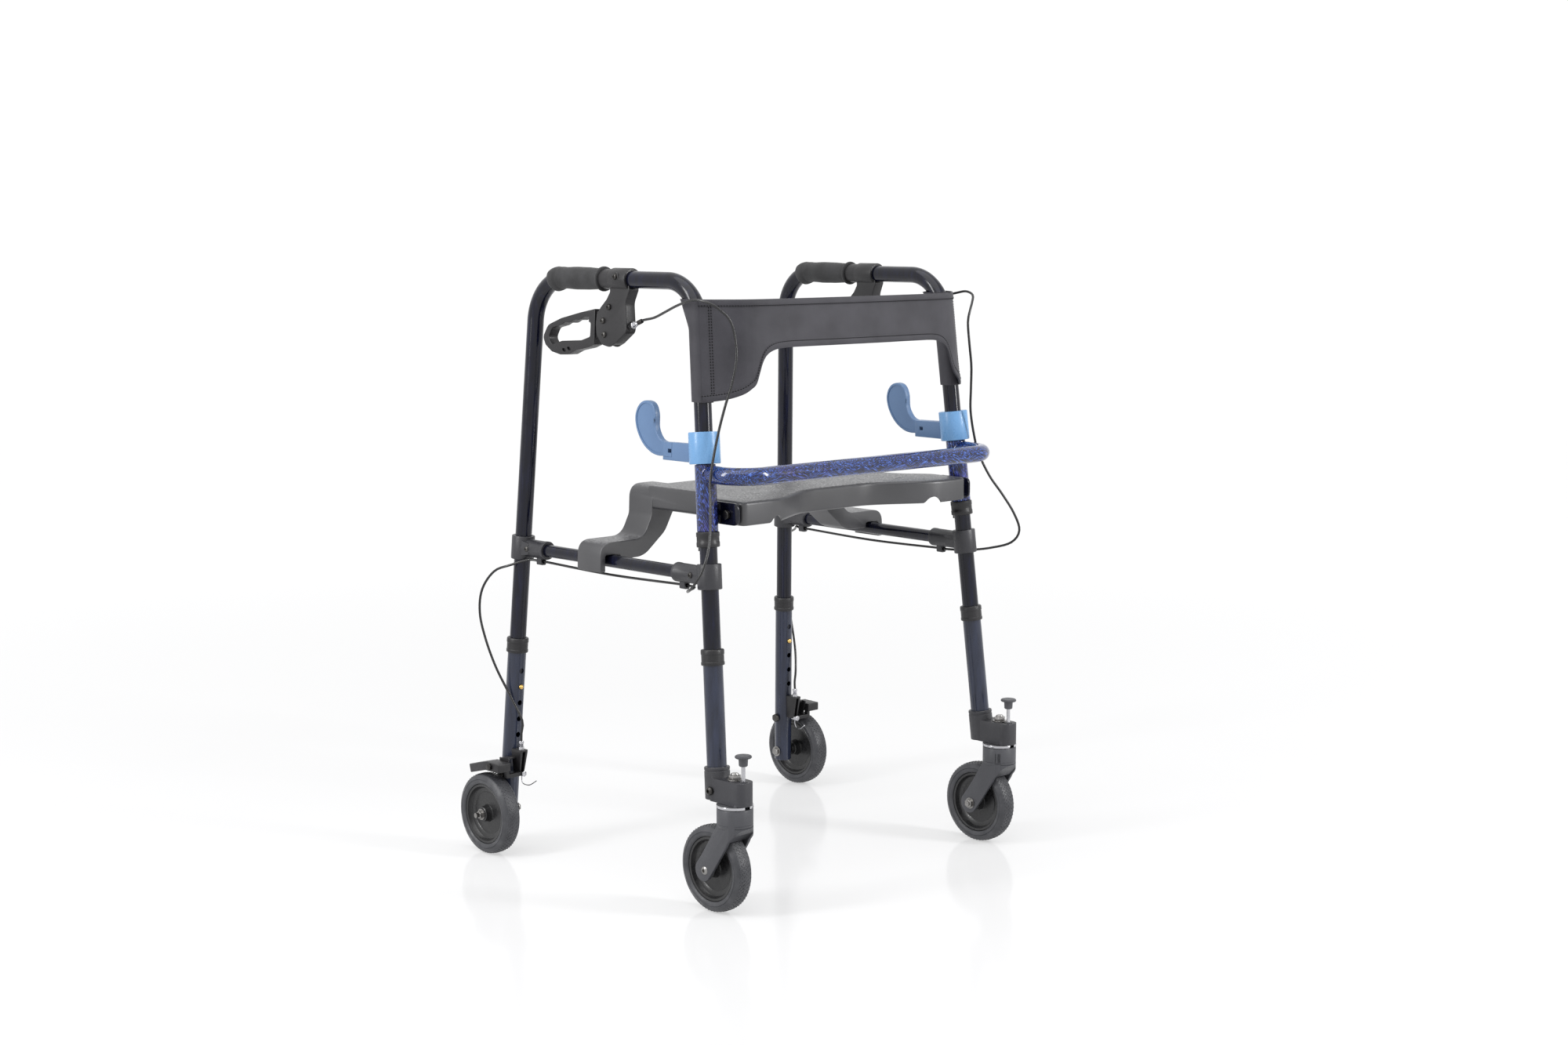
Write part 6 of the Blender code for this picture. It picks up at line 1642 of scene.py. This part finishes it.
# %% Caster fork
BARREL_R = 0.0262
BEARING_R = 0.0268
CROWN_LOW = 0.131
SIDE_ROOM = 0.003
FORK_PLATE = 0.0055
bearing_top = HEAD_LOW - GAP
bearing_low = bearing_top - 0.005


def fork_solid():
    front, roof = SWIVEL.y, bearing_low - 0.008
    cup = [(0, CROWN_LOW),
           *inside(BARREL_R, CROWN_LOW, (4, 0), (1.2, 1.2), (0, 4), (0, 5.6), (0.4, 5.9), (0.4, 6.3),
                   (0, 6.6)),
           *inside(BARREL_R, bearing_low, (0, -1.4), (0.5, -0.4), (1.4, 0), (2.8, 0), (3.6, -1), (3.6, -4)),
           (0, bearing_low - 0.004)]
    outline = [(-0.0215, roof), (0.011, roof), *mm((11, 139), (21.5, 122.5), (43, 90))]
    outline = [(front + y, z) for y, z in outline]
    outline += arc((FRONT_AXLE.y + 0.004, FRONT_AXLE.z - 0.0005), 0.016, 34, -148, 20)
    outline += [(front + y, z) for y, z in mm((18.2, 70.3), (6.1, 88), (-6, 106), (-8.5, 111))]
    outline.append((front - 0.0262, CROWN_LOW + 0.0015))
    skirt = mm((-26.2, 1.5), (8, 4), (4, -9), (-4, -17), (-6.2, -19.5))
    skirt_outline = [(front + y, CROWN_LOW + z) for y, z in skirt]
    inner = WHEEL_HALF + SIDE_ROOM
    trim = fused(block((SWIVEL.x - 0.05, front - 0.05, 0.135), (SWIVEL.x + 0.05, front + 0.05, 0.2)),
                 block((SWIVEL.x - 0.05, front - 0.05, 0.095), (SWIVEL.x + 0.05, front, 0.2)))
    trim = cut(trim, upright(BARREL_R, 0.08, 0.22, sides=72))
    plates = []
    for low, own_trim in ((-inner - FORK_PLATE, linked(trim.data.copy())), (inner, trim)):
        plate = slab(outline, SWIVEL.x + low, SWIVEL.x + low + FORK_PLATE)
        plates.append(cut(softened(plate, 0.0011, 3, 50), own_trim))
    skirt = combine(slab(skirt_outline, SWIVEL.x - inner - 0.001, SWIVEL.x + inner + 0.001),
                    [upright(BARREL_R - 0.0002, 0.08, 0.22, sides=72)], "INTERSECT")
    return cut(fused(upright_lathe(cup, sides=72), skirt, *plates), cross_hole(FRONT_AXLE))


fork = fork_solid()
pair("caster_fork_moulded", fork, "fork_grey", "caster", "caster_fork", slot="grey_moulding", sharp=40)


# %% Bearing ring, stem and nut
def ring_solid():
    low = bearing_low - 0.0036
    profile = [(0, low), (0.022, low), (0.022, bearing_low),
               *inside(BEARING_R, bearing_low, (1, 0.2), (0, 1.2)),
               *inside(BEARING_R, bearing_top, (0, -1.2), (0.3, -0.4), (1.2, 0)), (0, bearing_top)]
    ring = upright_lathe(profile, sides=72)
    notch = 0.0048
    for way in (-1, 1):
        near, far = sorted((way * (0.0178 - notch), way * 0.05))
        ring = cut(ring, block((SWIVEL.x - notch, SWIVEL.y + near, bearing_low - 0.02),
                               (SWIVEL.x + notch, SWIVEL.y + far, HEAD_LOW)))
    return ring


pair("bearing_ring", ring_solid(), "chrome", "caster", slot="grey_moulding")
stem = upright_lathe([(0, bearing_low + 0.002), (0.0058, bearing_low + 0.002),
                      *inside(0, ARM_TOP, (-6, 0.3), (-10.8, 0.3), (-11, 0.5), (-11, 1.4), (-10.6, 1.7),
                              (-5.6, 1.7), (-5.6, 9), (-4.8, 10.2), (0, 10.5))])
nut = softened(upright(0.009, ARM_TOP + 0.0018, 0.2065, sides=6), 0.0007, 2, 40)
pair("swivel_nut", fused(stem, nut), "steel", "caster", slot="grey_moulding")

# %% Front axle bolt with its nut
AXLE_HEX, WASHER_R = 0.0072, 0.0088
half_width = WHEEL_HALF + SIDE_ROOM + FORK_PLATE + GAP
near_x, far_x = FRONT_AXLE.x - half_width, FRONT_AXLE.x + half_width
front_bolt = fused(cross_rod(near_x + 0.001, far_x + 0.0076, FRONT_AXLE, AXLE_R - 0.0001),
                   hexagon(far_x + 0.0008, far_x + 0.0056, FRONT_AXLE, AXLE_HEX),
                   cross_rod(far_x, far_x + 0.0009, FRONT_AXLE, WASHER_R, 40))
pair("front_axle_bolt", front_bolt, "steel", "caster", "front_axle", slot="chrome")
axle_head = screws([(near_x + 0.0024, FRONT_AXLE.y, FRONT_AXLE.z)], 0.0068, "steel", "socket")
pair("front_axle_head", axle_head, "steel", "caster", slot="chrome", sharp=30)

# %% Swivel lock knob
FLUTES, FLUTE_AT = 24, 0.0128
knob = upright_lathe(mm((0, 222), (5.4, 222), (6.3, 223), (6.8, 232.2), (7.4, 233.2), (11.2, 233.8),
                        (12, 234.6), (12.2, 235.6), (11.9, 236.7), (10.8, 237.5), (9, 237.7), (0, 237.9)),
                     LOCK_Y, 64)
flutes = bmesh.new()
for step in range(FLUTES):
    angle = 2 * pi * step / FLUTES
    spot = Vector((SWIVEL.x + FLUTE_AT * cos(angle), LOCK_Y + FLUTE_AT * sin(angle), 0.231))
    flutes.from_mesh(taken(rod(spot, spot + Z_WAY * 0.0044, 0.0014, 10)))
pair("swivel_lock_cap", cut(knob, solid_from(flutes)), "fork_grey", "swivel_lock", "swivel_lock_knob",
     slot="black_moulding")
pin_low = bearing_low + 0.0085 + 0.0014
pin = upright_lathe([(0, pin_low), (0.0028, pin_low), (0.0034, pin_low + 0.0008), (0.0034, ARM_TOP + 0.002),
                     (0.0028, ARM_TOP + 0.0024), (0.0028, 0.2224), (0, 0.2224)], LOCK_Y, 32)
pair("swivel_lock_pin", pin, "chrome", "swivel_lock", slot="black_moulding")

# %% [markdown]
# ## The rear brake
# A bar over the tyre turns on a pin in a sheet-like bracket. The cable enters the bracket through a
# threaded adjuster with two flange nuts and lifts the bar's end. The bar is a straight pressing with
# one knee, and the bracket is a funnel that widens upwards.

# %% Brake bracket
SHOE_HALF = 0.012
WALL = 0.003
BRACKET_TOP = 0.164
SHOE_PIVOT = joint_point("left_shoe_press")
EAR_X = SHOE_PIVOT.x + SHOE_HALF + GAP
CABLE_FOOT = Vector((CLAMP_AXIS.x, CLAMP_AXIS.y - LOWER_R - 0.0153, BRACKET_TOP + 0.0136 + GAP))
LUG = Vector((CABLE_FOOT.x, CABLE_FOOT.y, 0.126))
CHEEK_X = CLAMP_AXIS.x - LOWER_R - 3 * GAP


def bracket_solid():
    back, front, middle = CLAMP_AXIS.y - LOWER_R + 0.002, CABLE_FOOT.y - 0.007, CABLE_FOOT.x
    mouth, toe = 0.0072, 0.0042
    lip = BRACKET_TOP - 0.004
    shell = slab([(front + 0.0065, 0.125), (front + 0.0006, lip - 0.002), (front, lip + 0.002),
                  (front, BRACKET_TOP), (back, BRACKET_TOP), (back, 0.125)], middle - mouth, middle + mouth)
    sides = []
    for way in (-1, 1):
        inner, outer = middle + way * (mouth + 0.0001), middle + way * 0.02
        side = [(middle + way * toe, 0.124), (inner, lip), (outer, lip), (outer, 0.124)]
        sides.append(slab(side, front - 0.02, back + 0.02, "xzy"))
    shell = softened(cut(shell, *sides), 0.0008, 2, 30)
    room = block((middle - toe + 0.0014, front - 0.01, 0.11),
                 (middle + toe - 0.0014, back - 0.005, BRACKET_TOP - WALL))
    bridge = block((EAR_X + 0.0005, back - 0.012, 0.15), (middle - toe, back - 0.0006, 0.153))
    nose = SHOE_PIVOT.y + 0.008
    ear_corners = [(front + 0.013, 0.1262), (nose, 0.13), (nose, 0.1495), (back - 0.003, 0.153),
                   (front + 0.006, 0.153)]
    ear_outline = rounded(ear_corners, [0.002, 0.006, 0.006, 0.006, 0.002])
    ear = slab(ear_outline, EAR_X + 0.0002, EAR_X + WALL - 0.0002)
    cheek = cross_rod(CHEEK_X, CHEEK_X - WALL, CLAMP_AXIS, 0.0095, 40)
    web = block((CHEEK_X - WALL, back - 0.006, CLAMP_AXIS.z - 0.006),
                (CHEEK_X, CLAMP_AXIS.y + 0.004, CLAMP_AXIS.z + 0.025))
    link = block((EAR_X + 0.001, back - 0.0048, 0.128), (CHEEK_X - 0.001, back - 0.0002, 0.15))
    hood = fused(cut(shell, room), softened(bridge, 0.0006, 2), ear, cheek, softened(web, 0.0008, 2), link)
    return cut(hood, rod(on_rear_leg(0.09), on_rear_leg(0.19), LOWER_R + GAP, 64),
               block((EAR_X - 0.002, LUG.y - 0.006, 0.11),
                     (EAR_X + WALL + 0.002, LUG.y + 0.006, LUG.z + 0.0062)))


pair("brake_bracket_pressed", bracket_solid(), "black_moulding", "rear_leg", "brake_bracket")

# %% Brake bolts and adjuster
pin_far, leg_face = SHOE_PIVOT.x - SHOE_HALF, CLAMP_AXIS.x + LOWER_R
pivot_pin = fused(cross_rod(EAR_X + WALL - 0.0005, pin_far - 0.002, SHOE_PIVOT, 0.0029),
                  hexagon(pin_far - GAP, pin_far - 0.004, SHOE_PIVOT, 0.0058))
clamp_bolt = fused(cross_rod(leg_face + 0.0009, CHEEK_X - WALL - 0.0048, CLAMP_AXIS, 0.0038),
                   hexagon(leg_face + 0.0006, leg_face + 0.006, CLAMP_AXIS, AXLE_HEX),
                   hexagon(CHEEK_X - WALL, CHEEK_X - WALL - 0.0034, CLAMP_AXIS, 0.007))
thread = [spot for step in range(9) for spot in mm((3, 4.8 + 0.55 * step), (3.4, 5.08 + 0.55 * step))]
threaded = [*mm((0, 0), (4.8, 0), (4.8, 1.2), (4.2, 1.4), (4.2, 4.2), (3.6, 4.6)), *thread,
            *mm((4, 10), (4, 12.8), (3.4, 13), (3.2, 13.6), (0, 13.6))]
pair("brake_bolts", fused(pivot_pin, clamp_bolt), "dark_steel", "rear_leg", slot="black_moulding")
low_adjuster = lathe(threaded, (CABLE_FOOT.x, CABLE_FOOT.y, BRACKET_TOP), Z_WAY, 32)
pair("brake_adjuster", low_adjuster, "chrome", "rear_leg", slot="black_moulding", sharp=30)


# %% Brake bar, its lug and the wire's tail
def shoe_solid():
    y, z = REAR_AXLE.y, WHEEL_R
    clear = WHEEL_R + 0.0036
    slope = radians(75)
    tall = 0.0135
    tail = Vector((clear * cos(slope), clear * sin(slope)))
    down = Vector((sin(slope), -cos(slope)))
    knee = tail + down * ((-0.0052 - tail.x) / down.x)
    foot = tail + down * ((0.0335 - tail.x) / down.x)
    lift = Vector((cos(slope), sin(slope))) * tall
    knee_y, knee_z = y + knee.x, z + knee.y
    outline = [(y - 0.04, knee_z), (knee_y, knee_z), (y + foot.x, z + foot.y),
               (y + foot.x + lift.x, z + foot.y + lift.y), (knee_y - 0.0018, knee_z + tall + 0.0006),
               (y - 0.04, knee_z + tall)]
    shoe = softened(slab(outline, SHOE_PIVOT.x - SHOE_HALF, SHOE_PIVOT.x + SHOE_HALF), 0.0014, 3, 12)
    for step in range(7):
        groove = y - 0.03 + 0.0095 * step
        height = knee_z - max(0.0, groove - knee_y) * (-down.y / down.x)
        shoe = cut(shoe, block((SHOE_PIVOT.x - 0.02, groove - 0.0006, height - 0.004),
                               (SHOE_PIVOT.x + 0.02, groove + 0.0006, height + 0.0006)))
    near, lug_low = SHOE_PIVOT.x + SHOE_HALF, LUG.z - 0.003
    hanger = block((near - 0.006, LUG.y - 0.004, lug_low), (near - 0.0005, LUG.y + 0.004, knee_z + 0.004))
    lug = block((near - 0.002, LUG.y - 0.004, lug_low), (LUG.x + 0.004, LUG.y + 0.004, LUG.z + 0.003))
    bore = cross_rod(SHOE_PIVOT.x - 0.03, SHOE_PIVOT.x + 0.03, SHOE_PIVOT, 0.0032)
    return fused(cut(shoe, bore), softened(fused(lug, hanger), 0.0006, 2))


pair("brake_bar_moulded", shoe_solid(), "black_moulding", "shoe", "brake_shoe")
clamp_nut = rod((LUG.x, LUG.y - 0.007, LUG.z), (LUG.x, LUG.y + 0.006, LUG.z), 0.0048, 6)
pair("wire_clamp", softened(clamp_nut, 0.0005, 2, 40), "chrome", "shoe", slot="black_moulding")
tail_steps = mm((0, 0, 0), (0, 0, 10), (0, 4, 16), (-3, 16, 16.5), (-6, 30, 8))
wire_line = smooth_path([LUG - Vector(step) for step in tail_steps], 0.0012)
pair("wire_tail", tube(wire_line, 0.0008, "chrome", 10), "chrome", "shoe", slot="black_moulding")

# %% Rear axle
BOLT_HEX = 0.0064
axle_at = Vector((0, REAR_AXLE.y, WHEEL_R))
head_x, hub_x = REAR_AXLE.x + LOWER_R + 3 * GAP, REAR_HUB.x - BOSS_HALF - GAP
rear_bolt = fused(cross_rod(head_x + 0.001, hub_x - 0.0116, axle_at, AXLE_R - 0.0001),
                  hexagon(head_x + 0.0052, head_x + 0.0008, axle_at, BOLT_HEX),
                  cross_rod(head_x + 0.0008, head_x, axle_at, WASHER_R, 40),
                  hexagon(hub_x - 0.0008, hub_x - 0.0056, axle_at, BOLT_HEX),
                  cross_rod(hub_x, hub_x - 0.0009, axle_at, WASHER_R, 40),
                  cross_rod(REAR_AXLE.x - LOWER_R - 3 * GAP, REAR_HUB.x + BOSS_HALF + GAP, axle_at,
                            0.0075, 40))
pair("rear_axle_bolt", rear_bolt, "steel", "rear_leg", "rear_axle", slot="chrome")

# %% [markdown]
# ## Release paddles
# A light blue paddle turns on each front leg. Its head is a flat plate inside a raised bevelled rim.
# Sinking a smaller copy of the outline from both faces leaves exactly that rim.

# %% Release paddle
PADDLE_LOW = 0.6405
PADDLE_TALL = 0.0455
PADDLE_RIM = 0.0036
paddle_low = front_leg(PADDLE_LOW + GAP)
axis_y = front_leg(PADDLE_LOW).y


def at_paddle(*spots):
    """Points in millimetres from the leg's axis and from the paddle's lower face."""
    return [(axis_y + 0.001 * y, PADDLE_LOW + 0.001 * z) for y, z in spots]


def paddle_box(low_x, high_x, low, high):
    (low_y, low_z), (high_y, high_z) = at_paddle(low, high)
    return block((low_x, low_y, low_z), (high_x, high_y, high_z))


def inset(outline, depth):
    shrunk = []
    for index, point in enumerate(outline):
        along = (Vector(outline[(index + 1) % len(outline)]) - Vector(outline[index - 1])).normalized()
        shrunk.append(tuple(Vector(point) + Vector((along.y, -along.x)) * depth))
    return shrunk


head_corners = at_paddle((80, 26), (90, 28), (98, 36), (103, 46), (103, 56), (103, 65), (107, 76), (113, 82),
                         (124, 84.5), (135, 81.5), (144, 73), (148, 61), (147.5, 52), (144, 40), (136, 27),
                         (125, 16), (109, 7.5), (95, 5), (80, 6))
head_outline = rounded(head_corners, [0] + [0.05] * (len(head_corners) - 2) + [0], 4)
arm_outline = rounded(at_paddle((10, 0.6), (82, 0.6), (82, 26.2), (10, 27.5)), [0, 0.001, 0.001, 0])
paddle = fused(drum(0.0225, PADDLE_TALL, paddle_low, front_way),
               softened(slab(arm_outline, -0.0075, 0.0075), 0.0012, 2, 40),
               softened(slab(head_outline, -0.005, 0.005), 0.0012, 3, 50))
sunk = [(y, z) for y, z in inset(head_outline, PADDLE_RIM) if y > axis_y + 0.086]
paddle = cut(paddle, slab(sunk, -0.02, -0.0041), slab(sunk, 0.0041, 0.02),
             rod(paddle_low - front_way * 0.02, paddle_low + front_way * (PADDLE_TALL + 0.02),
                 TUBE_R + 0.0005, 64),
             paddle_box(-0.02, 0.02, (64, 11.5), (71.5, 17.2)),
             paddle_box(-0.02, -0.007, (62.7, 5.6), (63.3, 29)),
             paddle_box(-0.02, -0.007, (62.7, 5.3), (90, 5.9)))
for finish_name in ("paddle_blue", "collar_blue"):
    paddle.data.materials.append(finishes[finish_name])
for face in paddle.data.polygons:
    face.material_index = 1 if face.center.y < axis_y + 0.0235 else 0
side_pair("release_paddle_moulded", paddle, "paddle_blue", "paddle", "release_paddle")

# %% [markdown]
# ## Brake cables
# The cable loops forward from the housing, hangs past the paddle, runs under the rail through two
# clips and drops to the brake. Its sheath is held at every change of direction, so it is drawn on its
# route. Between the rear clip and the brake the real cable bends when the leg slides in its tube; here
# the sheath is drawn at rest and hangs on no body.

# %% Cable sheath
front_clip, rear_clip = FRONT_REACH - CLIP_BACK, SPAN - REAR_REACH + CLIP_BACK
brake_foot = PLANE.inverted() @ CABLE_FOOT
cable_start = ADJUSTER + CABLE_AIM * (0.013 + GAP)
arch = mm((-4, 127.6, -53.7), (-11, 96.6, -44.8), (-20, 63.7, -35.6), (-27, 33.3, -28.8),
          (-26.5, 11.4, -25.8), (-20, -8.7, -30.6), (-8, -18.6, -40.8), (2, -23.9, -51.1), (10, -26.2, -70))
by_front_leg = mm((795, -12, 61), (760, -7, 56), (724, -1, 45), (688, 4, 35), (649, 12, 30), (619, 19, 30),
                  (584, 29, 39), (554, 42, 51), (523, 56, 59), (494, 68, 56), (473, 68, 36), (464, 50, 8),
                  (461, 25, -18))
by_rear_leg = mm((454, 23, 1), (442, 34, -25), (412, 40, -45), (375, 40, -48), (335, 37, -34), (290, 29, -13),
                 (245, 16, 12), (210, 4, 27))
cable_points = [cable_start, cable_start + CABLE_AIM * 0.012]
cable_points += [(x, y, TOP + height) for x, y, height in arch]
cable_points += [front_leg(*spot) for spot in by_front_leg]
cable_points += [(-0.006, front_clip - 0.028, CLIP_Z), (0, front_clip - 0.008, CLIP_Z),
                 (0, front_clip + 0.012, CLIP_Z), (0, SPAN / 2, CLIP_Z - 0.003),
                 (0, rear_clip - 0.012, CLIP_Z), (0, rear_clip + 0.008, CLIP_Z),
                 (-0.007, rear_clip + 0.024, CLIP_Z)]
cable_points += [rear_leg(*spot) for spot in by_rear_leg] + [brake_foot + Z_WAY * 0.012, brake_foot]
cable_line = smooth_path(cable_points, 0.007)
cable_length = sum((there - here).length for here, there in zip(cable_line, cable_line[1:]))
print("cable length, m:", round(cable_length, 3))
bend_span = ("rear_leg", (CABLE_FOOT.x, CABLE_FOOT.y, 0.445), (CABLE_FOOT.x, CABLE_FOOT.y, 0.185))
side_pair("brake_cable_sheath", tube(cable_line, CABLE_R - 0.0006, "cable_black", 16), "cable_black", "side",
          "brake_cable", bend=bend_span)
ferrule_bore = CABLE_R + 0.0001
ferrule_side = [(ferrule_bore, 0), *mm((3.4, 0), (3.4, 8), (3, 8.8)), (ferrule_bore, 0.009)]
ferrule = lathe(ferrule_side, cable_start, CABLE_AIM, 24)
side_pair("cable_ferrule", ferrule, "dark_steel", "side", slot="cable_black")

for head_object in heads.values():
    bpy.data.objects.remove(head_object, do_unlink=True)

# %% [markdown]
# ## Camera, light and floor
# The photograph is a catalogue picture: white all round, soft light from large panels, and a floor
# that mirrors the wheels faintly. One very broad light from above is the same everywhere, so the floor
# stays evenly white, and two narrow panels draw the long highlights on the tubes. The camera is the
# one that the photograph was taken with, found by matching known points. White surroundings come from
# the background colour, seen by the camera and in reflections, so that the light on the walker itself
# stays plain.

# %% Camera
CAMERA_AT = Vector((-2.44, FRONT_AT.y - 2.455, 0.99))
CAMERA_TURN = -43.34
CAMERA_DROP = 7.5
SENSOR = 36.0
FOCAL_PIXELS = 2971
FRAME_WIDTH = 2000


def aimed(thing, direction):
    """Turn a camera or a lamp to look in a direction."""
    thing.rotation_mode = "QUATERNION"
    thing.rotation_quaternion = Vector(direction).to_track_quat("-Z", "Y")
    return thing


camera_data = bpy.data.cameras.new("camera")
camera_data.sensor_width = SENSOR
camera_data.lens = FOCAL_PIXELS * SENSOR / FRAME_WIDTH
turned, dropped = radians(CAMERA_TURN), radians(CAMERA_DROP)
camera_back = Vector((sin(turned) * cos(dropped), -cos(turned) * cos(dropped), sin(dropped)))
camera = aimed(linked(camera_data, "camera"), -camera_back)
camera.location = CAMERA_AT
bpy.context.scene.camera = camera
bpy.context.scene.view_settings.view_transform = "Standard"


# %% Soft panels, background and floor
def panel(name, at, target, size, power):
    light = bpy.data.lights.new(name, "AREA")
    light.shape = "RECTANGLE"
    light.size, light.size_y = size
    light.energy = power
    aimed(linked(light, name), Vector(target) - Vector(at)).location = at


panel("left_panel", (-2.5, 0.5, 1.7), (0, 0, 0.6), (0.5, 1.9), 44)
panel("right_panel", (1.3, -2.6, 1.8), (0, 0, 0.6), (0.5, 1.9), 64)

sky_light = bpy.data.lights.new("broad_top_light", "SUN")
sky_light.energy = 1.7
sky_light.angle = radians(70)
aimed(linked(sky_light, "broad_top_light"), (0.3, 0.1, -1.0))


def seen_directly(tree):
    """1 for camera, glossy and transmission rays, so that mirrors show the same surroundings."""
    path = node(tree, "ShaderNodeLightPath").outputs
    seen = path["Is Camera Ray"]
    for kind in ("Is Glossy Ray", "Is Transmission Ray"):
        seen = node(tree, "ShaderNodeMath", {0: seen, 1: path[kind]}, operation="MAXIMUM").outputs[0]
    return seen


world = bpy.data.worlds.new("studio")
bpy.context.scene.world = world
world.use_nodes = True
sky = world.node_tree
surroundings = node(sky, "ShaderNodeBackground", {"Color": (1, 1, 1, 1), "Strength": 1.03})
soft_light = node(sky, "ShaderNodeBackground", {"Color": (1, 1, 1, 1), "Strength": 0.42})
shares = {0: seen_directly(sky), 1: soft_light.outputs[0], 2: surroundings.outputs[0]}
chosen = node(sky, "ShaderNodeMixShader", shares)
sky.links.new(chosen.outputs[0], sky.nodes["World Output"].inputs["Surface"])

FLOOR_HALF = 30.0
floor_material = bpy.data.materials.new("studio_floor")
floor_material.use_nodes = True
floor_tree = floor_material.node_tree
floor_shader = floor_tree.nodes["Principled BSDF"]
floor_shader.inputs["Base Color"].default_value = (0.86, 0.86, 0.87, 1)
floor_shader.inputs["Roughness"].default_value = 0.13
floor_shader.inputs["Specular IOR Level"].default_value = 0.4
floor_place = node(floor_tree, "ShaderNodeTexCoord").outputs["Object"]
from_walker = node(floor_tree, "ShaderNodeVectorMath", {0: floor_place}, operation="LENGTH").outputs["Value"]
paler = node(floor_tree, "ShaderNodeMapRange", {0: from_walker, 1: 1.2, 2: 3.2, 3: 0.9, 4: 1.06}).outputs[0]
glow = node(floor_tree, "ShaderNodeEmission", {"Color": (1, 1, 1, 1), "Strength": paler})
floor_mix = node(floor_tree, "ShaderNodeMixShader", {0: 0.55, 1: floor_shader.outputs[0], 2: glow.outputs[0]})
floor_tree.links.new(floor_mix.outputs[0], floor_tree.nodes["Material Output"].inputs["Surface"])
floor_mesh = bpy.data.meshes.new("floor")
corners = [(x * FLOOR_HALF, y * FLOOR_HALF, -0.0002) for x, y in ((-1, -1), (1, -1), (1, 1), (-1, 1))]
floor_mesh.from_pydata(corners, [], [(0, 1, 2, 3)])
floor_mesh.materials.append(floor_material)
floor = linked(floor_mesh, "floor")
